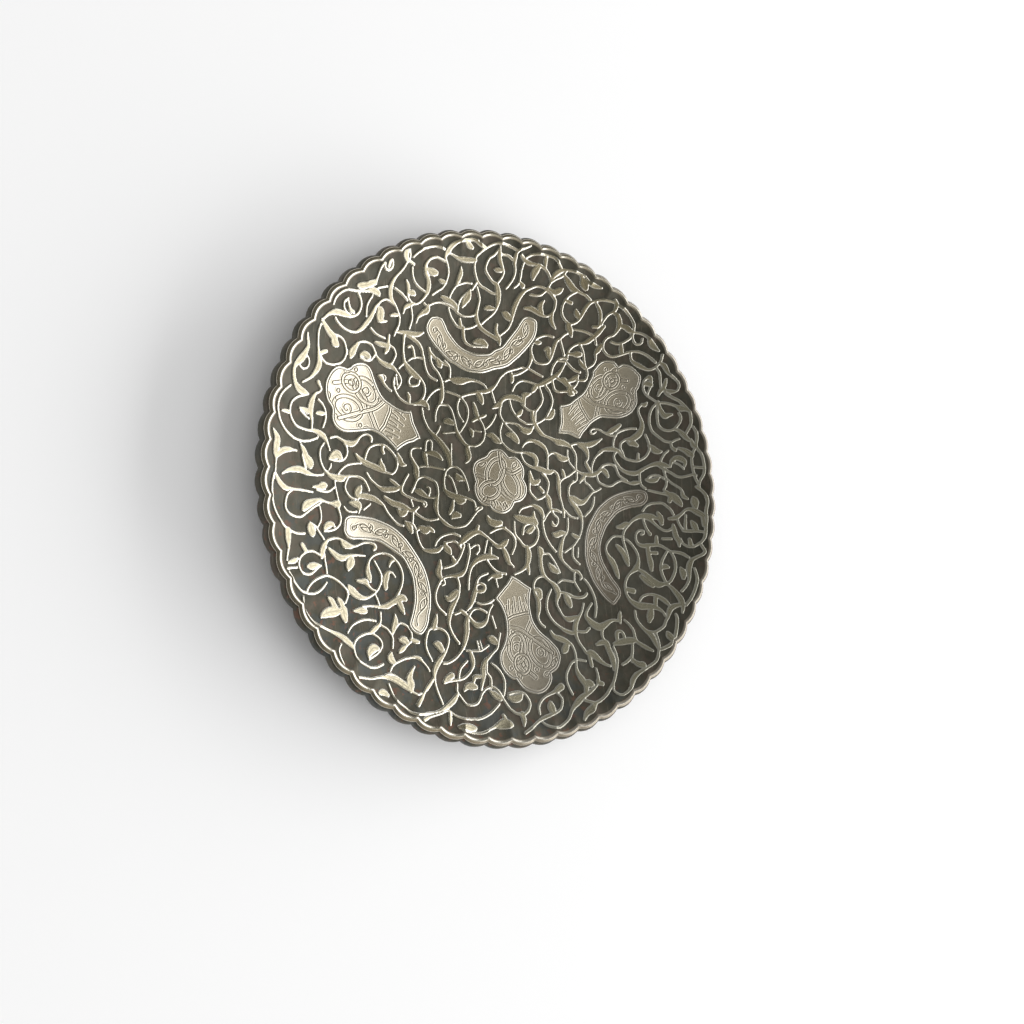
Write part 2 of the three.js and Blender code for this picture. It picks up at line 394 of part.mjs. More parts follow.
    [-30.9, -22.5], [-29.4, -22.9, 1.5], [-27.5, -23, 2], [-25.5, -22.7, 1.8], [-24.1, -21.6, 1.2]],
  [[-17.5, -20.8, 1.2], [-15.6, -19.1, 2.4], [-13.4, -17.5, 2.5], [-11.2, -16.5, 2.2], [-9.4, -16.4, 1.7],
    [-7.5, -17.4, 1.2], [-5.6, -18.8, 1.1], [-3.8, -20.3, 1.4], [-2.2, -21.3, 1.8], [-0.4, -21, 2.2]],
  [[-13.9, -20.6, 1], [-13.6, -23.3, 1.1], [-14.1, -25.6], [-14.7, -27.6], [-15.4, -29.4, 1.2],
    [-16.8, -30.8, 1.8], [-18.6, -31.4, 1.7], [-20.6, -31.5, 1.3], [-23.1, -31.9, 1.1], [-24.9, -32.8],
    [-26.4, -35.1], [-27.4, -37.6], [-27.4, -39.9], [-26.6, -41.9], [-25.2, -43.4], [-24.1, -44.4]],
  [[-18.9, -31.8, 1.1], [-18.2, -33.9], [-18.2, -35.9], [-18.6, -38.1], [-19.6, -39.7, 1.4], [-21, -41.3, 2.2],
    [-22.2, -43.4, 2.2], [-22.8, -45.6, 1.8], [-23, -47.4, 1.2], [-22.8, -49], [-22, -51], [-20.9, -52.9],
    [-19.9, -54.1]],
  [[-14.6, -36, 1], [-14.4, -33.3], [-13.8, -30.4, 1.1], [-12.9, -28.2, 1.4], [-11.2, -26.4, 2],
    [-9.2, -25.4, 2.3], [-6.8, -24.9, 2.4], [-4.6, -25, 2], [-2.6, -25.4, 1.1]],
  [[-6.9, -30.7, 1], [-9.5, -31.6], [-10.9, -33], [-11.6, -35, 1.2], [-12.2, -37.2, 2], [-13, -39.4, 2],
    [-14, -41.4, 1.5], [-15.6, -43.2, 1]],
  [[-22.6, 0, 1], [-22.3, -2, 1.4], [-20.8, -3.3, 2.2], [-18.8, -4, 2.2], [-16.4, -4.2, 1.7],
    [-14.2, -4.6, 1.2], [-12.4, -5.1, 1], [-11.2, -5.9], [-10.7, -7.4]],
  [[-43.5, -48.5, 1], [-41.8, -46.9], [-39.8, -47.4], [-38.1, -48.9], [-37.6, -50.9], [-38.1, -52.8],
    [-39.8, -54, 1.2], [-41.6, -55.2, 2], [-42.8, -56.1, 1.2]],
  [[-37.9, -78.1, 1.2], [-36.2, -77.4, 1.5], [-34.4, -76.9, 1.1], [-30.6, -76.2], [-27.6, -75.6],
    [-25.2, -77.2, 1], [-22.4, -78.4], [-19.8, -78.9], [-16.1, -79.1], [-13.2, -78.4], [-10.6, -77.2],
    [-7.5, -74.9]],
  [[-30.9, -59.5, 0.9], [-32.1, -56.9, 1.1], [-32.6, -54.9], [-32.4, -52.6], [-31.3, -49.9], [-30, -48.9],
    [-26.9, -49], [-25.2, -49.8], [-23.9, -51.5], [-23.8, -53.2], [-24.5, -55.2], [-25.8, -57.2, 1.3],
    [-27.8, -59.2, 2], [-29.6, -61.4, 2.2], [-30.7, -63.8, 1.7], [-30.8, -66.4, 1.1], [-30.4, -69.2],
    [-29.2, -73.2]],
  [[-20.6, -44.4, 1.1], [-18.8, -43.9], [-18, -43.4, 1.6], [-16.6, -44.3, 1.5], [-15.3, -45.2, 1.1],
    [-13.4, -43.2, 1], [-11.5, -42.8], [-9.8, -43.2], [-8.2, -44.1]],
  [[-15.6, -45.2, 1.4], [-16.2, -47.8, 2.2], [-16.4, -50.4, 2.2], [-17.2, -53, 2], [-18.2, -55.4, 1.4],
    [-19.8, -57.4, 1.1], [-22, -59.2], [-24.8, -60.4], [-26.8, -60.5]],
  [[-15, -45.6, 1.2], [-13.4, -47.6, 1.8], [-11.8, -48.4, 2.3], [-9.9, -48.1, 2], [-8.4, -47, 1.4],
    [-7.6, -45, 1.1], [-6.8, -43.2, 1], [-5.6, -41.6]],
  [[-16, -57, 1.4], [-15.4, -59.4, 2], [-15.4, -61.6, 1.6], [-16.2, -63.2, 1.1], [-17.8, -64.7],
    [-19.8, -65.8], [-22.4, -66.2], [-25, -66.3], [-27.4, -66.8]],
  [[-3.5, -51.5, 1], [-4.4, -54.1], [-5.2, -56.4], [-6.9, -57.8], [-8.6, -59.2, 1.2], [-10.6, -60.8, 1.8],
    [-11.6, -62.8, 2.2], [-11.9, -65, 2.2], [-12.4, -66.8, 1.6], [-13, -68.4, 1.2], [-13.6, -69.8, 1]],
  [[-22.5, -67.5, 1], [-22.9, -69.9], [-21.8, -71.8], [-20.9, -73.2], [-19.5, -74.4], [-16.4, -74.4],
    [-14.6, -72.9], [-13.5, -71.2], [-11.8, -69.8], [-9.8, -69.2], [-8.4, -69.5, 1.2], [-6.9, -70.9],
    [-6.1, -72.6], [-4.9, -74.9, 1.1], [-3.8, -76.6], [-2.1, -78.1], [-0.2, -78.9]],
  [[-23.4, -82, 0.9], [-19.5, -83.3, 1], [-16.1, -83.6], [-12.6, -82.6], [-10.6, -82, 1.4], [-9, -81.8, 2.6],
    [-7.2, -81.4, 3.6], [-5.4, -81.6, 3], [-4.1, -82, 1.4]],
  [[11.7, 5.4, 1.1], [11.6, 2], [11.5, -1.3], [13.1, -3.3], [14.4, -4.1], [16.2, -3.7], [17.9, -2.6],
    [18.8, -1.3], [19.4, 0.6], [19.5, 2.2], [18.6, 3.9], [17, 5.3]],
  [[18.3, -2.2, 1.2], [19.3, -4, 2.4], [19.6, -6, 2.4], [20.1, -7.8, 1.4], [21.4, -9.6, 1], [22.8, -10.8],
    [22.9, -12.2], [22, -13.5], [20.7, -13.2, 1.4], [20.4, -12.2, 1]],
  [[23.8, 2, 2], [24, -1, 1.8], [24.2, -3, 1.2], [24.9, -5.3, 1], [25.4, -7.3], [26.5, -8.4], [27.7, -9.6],
    [29.4, -10.4], [31.4, -10.7]],
  [[30.2, 3, 1], [28.7, 1.2], [28, -0.7], [28.2, -2.7, 1.2], [29, -4.8, 1.6], [30.6, -6.4, 2], [32, -8.4, 2.4],
    [33.1, -10.4, 1.6], [33.3, -12.8, 1], [32.8, -15.3], [31.7, -17.6], [30.2, -19.6], [28.8, -21],
    [27, -22.1], [25.2, -23.2]],
  [[28.8, -3, 1.6], [30.2, -3.6, 2.6], [31.8, -4.5, 2.8], [33.6, -4.8, 2.3], [35.4, -3.9, 1.7],
    [37, -2.3, 1.2], [38.6, -0.9, 1], [40.2, -0.3], [42, 0.6]],
  [[6.8, -8.9, 1], [7.9, -7.7], [9.9, -7], [12.2, -6.4, 1.2], [14, -6.9, 1.8], [15.6, -8, 2.2],
    [16.5, -9.6, 1.7], [16.6, -11, 1.1], [16.4, -12.8], [16.7, -15], [17.3, -17.3], [18.4, -19.4],
    [19.6, -21.1], [21.3, -22.9]],
  [[4.6, -12.5, 1], [4.5, -15, 1.1], [4.9, -17.2], [6.5, -19], [8.2, -20.9, 1.2], [10.5, -21.3], [12.8, -20.1],
    [14.1, -17.9], [14.2, -15.6], [13.4, -13.9], [11.4, -13], [9.6, -13.3], [8.4, -14.4], [7.9, -16.7]],
  [[9.4, -21.3, 1.5], [10, -23.4, 2.5], [9.8, -25.8, 2.4], [9, -28, 1.8], [7.2, -29.6, 1.3], [5.2, -30.6, 1],
    [3.9, -31, 1]],
  [[-1.5, -14.9, 1.1], [0.2, -14.8], [2.5, -16.1], [4.2, -17.9], [4.7, -19.9], [4.2, -21.9], [3.2, -23.8]],
  [[14.4, -21.7, 1.6], [15.1, -23, 2.7], [14.9, -25.2, 1.8], [14.9, -28, 1.9], [15.4, -30.4, 1.9],
    [16.4, -32, 1.4], [18, -33.4, 1.2], [19.8, -34.8, 1.8], [21, -36.6, 2.4], [21.4, -38.4, 2.2],
    [20.6, -40.4, 1.4], [20.5, -42, 1], [21.4, -44.1], [22.7, -46.3], [24.7, -47.4, 2.2], [27, -47, 1.8],
    [28.7, -46.6, 1.2]],
  [[16.4, -31.9, 1.1], [14.5, -31.9], [12.8, -32.7], [11.6, -34.4], [11.4, -36.1], [11.9, -38.1, 1.3],
    [12.8, -39.9, 1.8], [13, -42, 2], [12.8, -44, 1.7], [12.3, -46.3, 1.1], [13, -48.4], [14.6, -49.8]],
  [[18.5, -36.7, 0.9], [17.1, -39, 1.1], [16.5, -40.7], [16.2, -43.6], [17.1, -46.1], [18.5, -48.1],
    [20.5, -49.8], [22.5, -51.2, 1.5], [25, -52.2, 1.6], [26.9, -52.3, 1.6]],
  [[27.1, -10.9, 1], [27.1, -13.3, 1.1], [26.5, -15.9], [25, -17.9, 1.2], [24, -20.2, 1.8], [23.4, -22.4, 2.2],
    [23.2, -24.4, 2], [24.2, -26.4, 1.2], [26, -28.2, 1.1], [28, -29.8], [30.2, -30.4, 1.4],
    [31.6, -32.2, 1.1], [31, -33.1, 1]],
  [[32.6, -33, 1], [34.2, -35, 1.1], [35.4, -37.3], [36.2, -39.6], [36.5, -41.9], [36.4, -44], [35.6, -46.8]],
  [[34.8, -42, 1], [32.8, -44.4, 1.1], [31.9, -46.4, 1.4], [33, -48, 2.2], [34.6, -49.6, 2.8],
    [36.8, -50.6, 2.9], [38.8, -50, 2.5], [41, -48.8, 1.7], [43, -48.3, 1.2], [45, -48.6, 1.1]],
  [[38, -51.2, 1.4], [37.4, -53, 1.2], [37.8, -55.2, 1.2], [38.6, -56.6, 2.4], [39.2, -59, 2.2],
    [39.9, -61.5, 2.4], [40, -64, 2], [39.8, -66, 1.2]],
  [[31.4, -42, 1], [30.4, -44.8], [28.9, -46.8, 1.4], [27.4, -49, 2], [26.8, -51.4, 2], [27, -53.6, 1.4],
    [27.8, -55.8, 1.1], [29.1, -57.9], [30.1, -59.5, 1.4], [31.8, -59.8, 2.8], [33.2, -60.8, 2.7],
    [34.8, -62.4, 2], [36.6, -63.8, 1.3], [38.4, -64.6, 1]],
  [[16.8, -51.3, 1], [18, -53.2, 1.8], [20.4, -54.2, 2.3], [22.6, -55.2, 2], [24.6, -56.6, 1.2],
    [25.4, -58.6, 1], [25.6, -60.6], [25.4, -62.6], [25.1, -64.4, 1.1], [25.4, -66.6, 1.8], [26.6, -68.8, 2.4],
    [27.6, -71, 2.2], [27, -73.4, 1.6]],
  [[25, -62.1, 1], [23.6, -62.8], [22.2, -64.4], [20.8, -66.6], [20.4, -68.9], [20.8, -71.2], [21.6, -73.5]],
  [[31.9, -70.9, 1], [29.9, -72.4, 1.2], [27.6, -73.6, 1.6], [25.4, -74.6, 2], [23.2, -76.2, 2.3],
    [21.2, -77.8, 1.6], [19.6, -79.5, 1.2], [18.5, -81.2, 1], [16.8, -82.6], [13.9, -84], [11.6, -83.9],
    [9.4, -83.2], [7.9, -82.2]],
  [[7.4, -79.2, 1], [7.6, -76.9], [9.1, -74.9], [11.4, -73.5], [14.5, -72.4, 1.3], [16.2, -71.6, 2.2],
    [17.8, -70.7, 2.6]],
  [[15.2, -72.3, 1], [17.1, -74.4], [16.9, -76.4], [15.9, -78.1], [13.9, -79.2], [11.4, -79.9, 1.3],
    [8.8, -80.6, 1.4], [6.4, -81.6, 1.1], [4, -83], [1.6, -84.3], [0.2, -85]],
  [[41.1, -57.9, 1], [41.6, -60.1, 1.1], [41.8, -62.4], [41.1, -64.9], [39.9, -67.8], [38.5, -70.4],
    [36.5, -72.6], [34.5, -74.6], [32.2, -76.1], [29.9, -76.9, 1.2], [27.6, -76.4], [25.9, -75.8]],
  [[-3.2, -71.9, 1], [-0.8, -71.5, 1.1], [1.4, -71.6], [3.2, -72.6], [4.4, -75.2], [3.6, -77.4],
    [1.8, -78.7, 1.3], [0, -79, 1.4]],
  [[62.2, 0.3, 1], [64.9, -0.3, 1.1], [67.7, -0.9], [69.5, -1.2, 1.3], [71.4, -1.6, 2.6], [73, -2.8, 3.2],
    [74.6, -4.6, 2.3], [75.2, -5.8, 1]],
  [[81.4, 1.6, 1.2], [83.6, -0.2, 1.3], [84.9, -2.7], [85.2, -4.7], [84.6, -7], [84.2, -9.2], [84.2, -11.6],
    [83.8, -14.1], [83.4, -16.4], [82, -19.3, 1.1], [80, -20.7], [78, -21.6], [76, -21.3], [74.3, -20.1],
    [73.6, -18.4]],
  [[70, -10.6, 1.4], [72.6, -10.3, 1.8], [74.9, -8.9, 1.2], [76.6, -7.4], [78.6, -7.1, 1.6], [81, -8.2, 2.4],
    [83, -9.6, 2.2]],
  [[59.4, -7.6, 1], [60.9, -5.9], [62.9, -4.9, 1.1], [65.7, -4.6], [67.7, -4.7], [69.4, -5.9], [70.9, -7.3],
    [71.7, -8.9]],
  [[50.3, -18.7, 1.1], [50.6, -16.4], [51.7, -14.4], [53.4, -12.7], [54.9, -11.3, 1.3], [56.9, -10.2, 1.6],
    [59.2, -9.6, 2.2], [61.4, -10, 2.6], [62.6, -11.2, 1.6], [64, -12.6, 1.2], [65.6, -14, 1.1], [67.4, -15.1],
    [69.2, -15.2], [70.8, -14.3], [71.4, -13]],
  [[58, -16.6, 1], [59.1, -16.2], [58.9, -15.2], [57.2, -15.2], [56, -16.4], [55.7, -18.4], [56.5, -20.2, 1.3],
    [58.4, -20.9, 1.7], [60.2, -20.8, 1.8], [62.4, -20.7, 1.5], [64.8, -20.7, 1.3], [67.2, -21.9, 1.1],
    [69.2, -23.4], [70.3, -25.6, 1.2], [70.6, -28.1], [70.2, -30.4], [69, -32.8], [67.6, -34.6],
    [65.6, -35.4]],
  [[67.9, -23.2, 1], [65.8, -26.2, 1.2], [64.7, -29], [64.9, -31.8], [65.9, -34.9]],
  [[81.2, -20.8, 1.2], [82.4, -23.2, 1.3], [81.4, -24.6, 1.2], [79.4, -25.4], [77.2, -26.6, 1.6],
    [76, -28.4, 2.3], [75.4, -30.4, 2.1], [75.2, -32.6, 1.4], [74.6, -34.8, 1.1], [73, -37], [71.4, -38.4]],
  [[77.7, -29.9, 1], [78, -32.7, 1.2], [77.4, -35.9], [76, -39], [74, -41.6], [72.2, -43.6]],
  [[50.4, -17.3, 1], [49.1, -17.3], [46.6, -17.3], [44.6, -18.7], [43.1, -20.7], [42.9, -22.7],
    [43.7, -24.8, 1.6], [45, -26.6, 2.4], [46, -28.8, 2.3], [46.6, -31.2, 2], [47, -32.8, 1]],
  [[51.4, -18.4, 1], [52.4, -19, 1.1], [54, -20.7], [55.4, -22.9], [56, -25], [55.8, -27.2, 1.6],
    [54.8, -29.2, 2.3], [53.2, -30.4, 1.5], [51.7, -31.5, 1.1], [50.2, -33.4], [49.4, -35.8], [49.4, -38.2],
    [50.4, -40.6, 1.4], [52.2, -42.4, 2.2], [54.4, -43.4, 2.8], [57, -43.6, 2.6], [59.6, -43.9, 2.2],
    [61.6, -44.8, 1.5], [63, -46, 1.1], [63.6, -47.3]],
  [[54.8, -29.4, 1.3], [57.6, -31, 1.7], [59.2, -32.8, 2.4], [61, -34.6, 3], [63, -35.6, 2.6],
    [65.2, -35.5, 1.5], [66.8, -36, 1.2], [68.6, -38, 1.9], [70.1, -40.4, 2.3], [70.8, -42.6, 2.3],
    [70.8, -44.8, 1.6], [70.2, -46.4, 0.9]],
  [[54.6, -41.3, 1], [56.2, -39.8, 1.1], [59.2, -39.2], [62.2, -40.2, 1.6], [64.4, -41.8, 1.9],
    [65.7, -43.2, 1.3]],
  [[70.4, -43.3, 1.5], [67.2, -44, 2.1], [65.6, -45.4, 2.1], [64.6, -47.6, 1.4], [63.4, -49.4, 1.1],
    [62.4, -51.1], [60.4, -52.4], [58.4, -53.2, 1.2], [56, -52.9], [54.8, -52.2]],
  [[52, -45.2, 1], [52.1, -48.1, 1.1], [53.4, -50.6, 1.2], [55.2, -52.8, 1.6], [57, -54.6, 2.2],
    [57.8, -57, 1.8], [58.3, -59.2, 1]],
  [[58.7, -53.6, 1], [59.1, -56.4, 1.1], [58.9, -58.6], [58, -60.9], [56.9, -63.2], [55.1, -64.6],
    [52.6, -65.8], [50, -67, 1.3], [47.6, -68.4, 1.8], [45.8, -70.4, 1.9], [44.6, -72.4, 1.3], [43, -73.9, 1],
    [41.2, -74.8]],
  [[47.2, -48.4, 1], [48.9, -50.1, 1.1], [50.1, -52.1], [50.3, -54.1], [50.5, -56, 1.4], [52, -57.4, 1.6],
    [53.8, -58.6, 1.7], [56, -59.9, 1.1]],
  [[67.7, -46.9, 1], [67.7, -49.2, 1.3], [67.1, -51.8], [66.3, -53.8], [64.9, -56.4], [63.1, -58.1],
    [61.4, -58.9], [59.3, -59.6]],
  [[-37.4, 43.4, 1.1], [-37, 41, 1.4], [-35.8, 39.3, 2.2], [-34, 37.6, 2.7], [-32.3, 36.6, 2.2],
    [-30.6, 35.6, 1.2], [-29.4, 33.9, 1.1], [-29.1, 31.9], [-29.5, 30], [-30.6, 28.4]],
  [[-40.8, 35, 1], [-41.1, 33.6], [-40.8, 31.6], [-39.5, 29.3], [-37.8, 27.9], [-35.8, 27.1], [-33.6, 26.9],
    [-31.9, 27.2, 1.6], [-30, 27.7, 2.5], [-28.4, 27, 1.8], [-27.7, 25.6, 1]],
  [[-27.6, 46.6, 1.3], [-27.2, 45.2, 1.4], [-26.8, 42.4, 1.1], [-25.8, 40.4], [-24.1, 38.7], [-22.9, 36.7],
    [-22.4, 34.5, 1.4], [-22.4, 32, 1.9], [-22.6, 29.8, 1.8], [-23.4, 27.6, 1.1]],
  [[-25.2, 21.9, 1], [-25.1, 23.9], [-24.5, 25.9], [-23.5, 27.4], [-21.5, 27.7], [-20.1, 27.4], [-18.9, 25.9],
    [-18.1, 23.6], [-17.6, 21.6], [-17.2, 19, 1.4], [-16.2, 16.9, 1.8], [-14.6, 15, 1.5], [-13.2, 13.9, 1.1],
    [-11.5, 13.9, 1], [-9.8, 13.9], [-8.1, 14.7], [-6.6, 16.4], [-6.1, 18.4], [-6.2, 20.1], [-6.9, 21.9],
    [-7.8, 23.3]],
  [[-20.6, 32.4, 1], [-18.4, 31.9], [-16.1, 31.3], [-14.4, 30.1], [-12.9, 28.1], [-12.4, 25.9], [-12.8, 23.3],
    [-13.8, 21.3], [-15.6, 18.7]],
  [[-21.2, 35.9, 0.9], [-19.2, 36.8, 1.2], [-17.2, 36.6, 2.6], [-15, 36.6, 3], [-12.4, 37.1, 2],
    [-10, 37.2, 1.2], [-7.6, 36.8, 1.1], [-5.7, 35.9, 1], [-4.6, 34.4]],
  [[-15, 31, 1], [-12.1, 32.1, 1.1], [-9.8, 32.7, 1.2], [-7.5, 33.3, 1.4], [-5.2, 33.7, 1.8], [-3, 34.7, 1.8],
    [-1.2, 36.1, 1.2], [-0.1, 37.6, 1], [1, 39.3], [2.2, 40.4], [3.6, 41.5], [5.9, 42.4], [7.9, 43],
    [9.8, 43.7], [11.4, 43.4]],
  [[-30.2, 25.6, 1], [-29.8, 23], [-28.9, 20.7], [-27.8, 18.7, 1.2], [-26, 16.8, 1.7], [-24, 14.9, 2.2],
    [-22.2, 12.8, 2.4], [-20.9, 10.8, 2.5], [-20.2, 8.6, 2.3], [-20, 6.4, 1.7]],
  [[-31.1, 11.9, 1], [-32.9, 12], [-34.5, 11.3], [-34.9, 9.3, 1.1], [-33.9, 7.2, 1.4], [-33, 5.3, 2],
    [-32.8, 3.6, 2.4], [-32.7, 1.6, 1.6]],
  [[-22.6, 0, 1], [-22.4, 2.4], [-21.5, 4.7], [-19.8, 6], [-17.8, 6.1], [-16.1, 5], [-14.9, 3.3], [-13.8, 0.7],
    [-13.2, -1.7]],
  [[-37.5, 77.3, 0.9], [-37.1, 75.2, 1], [-37.6, 74], [-39.5, 70.8], [-41.4, 68.6, 1.1], [-42.6, 66.9, 1.4],
    [-43.5, 64.6, 1.8], [-43.6, 62.4, 2], [-43, 60.4, 1.8], [-41.5, 59.1, 1.1], [-40.4, 57.4, 1],
    [-39.5, 55.4], [-39.6, 52.8], [-40.6, 50.8], [-41.2, 49.1]],
  [[-35.8, 75.4, 1], [-34.4, 76.8], [-32.6, 78.2], [-30.9, 79.1], [-29.2, 79.8], [-26.9, 80.2], [-24.2, 79.8]],
  [[-27.2, 64.7, 1], [-25.2, 66.2], [-23.5, 67.4], [-22.4, 69.2], [-21.7, 71.5], [-21.8, 73.8], [-22.6, 75.8],
    [-23.4, 77.4, 1.3], [-22.7, 79.4, 2.1], [-21, 81.7, 1.9], [-18.8, 83.1, 1.3], [-16.2, 84], [-14, 84.6],
    [-11.5, 84.4]],
  [[-22.8, 76, 1], [-25.4, 76.6], [-27.2, 76.8, 1.1], [-28.9, 76.1], [-30.1, 74.8, 1.2], [-30.8, 73.1, 1.5],
    [-30.4, 71.1, 1.6], [-29.4, 69.4, 1.8], [-29, 67.6, 2.1], [-29.2, 65.6, 1.9], [-29.9, 63.9, 1.3],
    [-31.2, 62.2, 1], [-32.8, 60.9], [-34.4, 60.6], [-36, 61.5], [-36.9, 63.2], [-36.8, 65.2]],
  [[-30.4, 61.4, 1], [-28.9, 60.7], [-27.2, 61.6], [-25.2, 62.4], [-22.9, 62.5], [-20.6, 62.1], [-18.4, 61.2],
    [-16.6, 59.9], [-14.6, 59.3], [-12.4, 59.4], [-10.6, 59.9], [-9.4, 60.6]],
  [[1, 84.9, 1.1], [-2.1, 85.1], [-4.1, 84.8], [-6.1, 83.9], [-8.1, 82.5], [-9.8, 81.1], [-11.2, 79.6],
    [-11.6, 77.6], [-11.5, 75.6], [-10.8, 73.6], [-9.8, 71.6], [-8.1, 70.2], [-5.8, 69.4], [-3.5, 68.5],
    [-1.6, 68.4]],
  [[-2.4, 83.6, 0.9], [-4.1, 81.2, 1.1], [-5.8, 79.9], [-6.8, 77.9], [-7, 75.9], [-5.8, 74.2], [-3.8, 72.4],
    [-2.2, 71.6, 1.7], [-1.4, 70, 2.3], [-1, 68, 2.5], [-0.9, 66, 2.1], [-1.5, 63.1, 1.2], [-2.9, 61.1, 1],
    [-4.9, 59.4], [-6.9, 57.6]],
  [[-2.4, 83.8, 0.9], [-2.2, 81.6, 1.8], [-1.6, 79.6, 1.8], [-0.4, 77.6, 1.3], [0.3, 75.8, 1.1], [-0.3, 74],
    [-1.6, 72.2]],
  [[-9.8, 69.6, 1], [-8.8, 67.1, 1.1], [-8.4, 65.4], [-8.8, 63.1], [-9.3, 60.6, 1.5], [-9.1, 58.8, 1.9],
    [-8.2, 57, 1.8], [-6.6, 55.6, 1.6], [-4.4, 54.5, 1.5], [-2.2, 53.6, 1.6], [-0.4, 53, 2]],
  [[-20.6, 60.9, 1], [-19.5, 58.5], [-18.4, 57.1], [-16.9, 55.6], [-14.9, 55], [-12.6, 55.2], [-10.4, 56],
    [-8.6, 57.2]],
  [[-14.4, 55.2, 1.6], [-14.3, 53.2, 1.7], [-13.9, 51.4, 1.5], [-13, 50.2, 1.2], [-11.1, 49.4, 1], [-9, 49.3],
    [-6.6, 49.5], [-4.6, 49.6]],
  [[5.6, 40.4, 1.1], [7.9, 41], [9.9, 42], [11.7, 43.2], [13, 45, 1.3], [13.6, 47.2, 1.5], [13.6, 49.2, 1.3],
    [13.6, 51.2, 1.1], [14.4, 53.2], [15.7, 54.6], [17.9, 55.7], [20.2, 56.2], [22.6, 55.8]],
  [[5.8, 34.9, 1], [6.8, 36.7], [8.2, 38.1], [10.2, 38.9], [12.8, 38.7], [14.5, 38.3], [16.4, 37.7, 1.5],
    [18.6, 38.5, 2.1], [21.3, 40, 2.2], [23.8, 41.6, 1.9], [25.7, 43.2, 1.5], [27.8, 46.5, 1]],
  [[16.8, 37.4, 1.1], [17.9, 34.7], [18.3, 32.7], [17.6, 30.7], [16.2, 29], [15.2, 27.6], [15, 25]],
  [[0.4, 26.4, 1], [0.5, 28, 1.2], [0.8, 30, 1.6], [2.2, 31.7, 1.8], [4.4, 32.5, 2.2], [6.5, 32.5, 2.3],
    [8.6, 32, 2.1], [9.8, 31.2, 1.4]],
  [[0.4, 28, 1], [0.3, 26.4], [0.8, 24.7], [2.2, 22.7], [3.6, 21.3], [5.1, 20.1], [6.5, 18.6, 1.2],
    [7.6, 16.9]],
  [[4.6, 30.9, 1], [4.8, 29.9], [5.4, 28.1], [6.5, 26.4], [7.9, 25], [9.6, 24], [11.1, 23.3], [12.8, 23.3],
    [14.6, 23.4]],
  [[2.2, 23.1, 1], [5.1, 23.1], [7.3, 22.7, 1.1], [8.8, 21.6, 1.6], [10, 20.8, 2.4], [11.8, 20.5, 2.6],
    [13.2, 21.3, 1.6], [14, 22.4, 1]],
  [[1.1, 22.6, 1], [0.2, 20.1], [0.2, 18.1], [0.6, 16.1], [1.9, 14.7], [3.6, 13.4], [5.9, 12.7], [8, 12.6],
    [9.6, 12.7], [11.4, 12.4, 1.4], [13.4, 11.8, 2], [14.7, 10.4, 2.1], [14.6, 8.7, 1.9], [14.2, 7.4, 1.2]],
  [[8.5, 11.5, 1], [9.4, 9.6], [10.8, 8.4], [12.8, 7.5, 1.2], [14.4, 7.3, 1.6], [16.4, 6.9, 2.2],
    [18.4, 6.1, 2.3], [20.4, 6, 2.1], [22, 6.4, 1.2], [23.4, 5.3, 1.3], [23.8, 3.4, 1.8], [23.8, 1.6, 2]],
  [[9.2, 14.7, 1], [10.2, 15.9], [11.9, 16.9, 1.3], [13.9, 17.1, 1.6], [16.2, 16.4, 1.8], [18.2, 15.1, 1.7],
    [19.3, 13.6, 1.3], [19.6, 11.9, 1.1], [19.5, 9.9], [19.3, 7.2]],
  [[13.8, 27.8, 1.5], [14, 25.6, 2], [14.8, 23.2, 2], [16, 21.4, 2], [17.4, 20, 1.7], [18.8, 19.3, 1.2],
    [20.8, 18.7], [22.6, 18, 1.6], [24.4, 17.3, 2.6], [26.6, 17, 2.5], [28.6, 16.4, 1.8], [30.2, 15.4, 1.2],
    [31.6, 13.3, 1.1], [31.9, 11.3], [31.7, 9], [31.8, 7.2]],
  [[28.3, 14.4, 1], [28.2, 12.1], [28.8, 10.1], [30.2, 8.4], [31.9, 7], [33.9, 6.1, 1.2], [35.6, 5.7, 1.7],
    [38.5, 5.6, 1.9], [40.8, 6.4, 1.8], [42.6, 7.6, 1.5], [44.2, 7.1, 2.4], [45.4, 5.4, 1.6]],
  [[20.8, 36.6, 1], [21.9, 34.7], [22.5, 32.7], [22.2, 30.7], [21.4, 29], [20.6, 27.6], [19.6, 26.1],
    [18.2, 25], [16.6, 24.1], [15.2, 23.6]],
  [[32.6, 40.8, 1], [34.8, 40.8, 1.2], [36.2, 41], [37, 41.8, 1.1], [37.3, 43.2], [37.1, 44.5], [36.2, 46.5],
    [35.7, 48.8], [35.4, 50.8], [34.5, 52.8], [33.2, 54.4]],
  [[29.4, 16.3, 1.1], [32.8, 17.2, 1.2], [35.4, 16.9, 1.8], [37.6, 16.9, 2.4], [39.8, 17.6, 2.1],
    [41.6, 18.4, 1.4], [43.2, 19.4, 0.9]],
  [[33.4, 16.6, 1.6], [35, 15.8, 2], [36.3, 14.9, 2.4], [36.9, 13.4, 1.8], [37.1, 11.6, 1], [36.1, 10.4, 1.2],
    [36.7, 8.8, 1.7], [38, 6.6, 1.4]],
  [[40.4, 6.4, 1], [41.2, 3.4], [43, 2.2], [45.1, 1.6], [47.1, 1.9], [48.9, 3], [51.1, 3.8], [53, 3.5, 1.2],
    [54.9, 2.9, 1.2], [56.4, 3, 1.8], [58.8, 3.3, 1.2]],
  [[40.8, 21.9, 0.9], [39.6, 21.2], [38.6, 21.4], [38.8, 22.5], [40.3, 23.1], [42.4, 22.8], [44, 22],
    [45.8, 21.7, 1.2], [47.4, 22.5, 2.2], [49.4, 23.7, 2.1], [51.1, 24.9, 1.6]],
  [[57.8, 23.8, 1], [56, 23.8], [54, 23.5], [52, 22.9], [50.2, 22], [49.2, 20.8], [48.5, 19.2], [48.1, 17.2],
    [48.2, 15.4]],
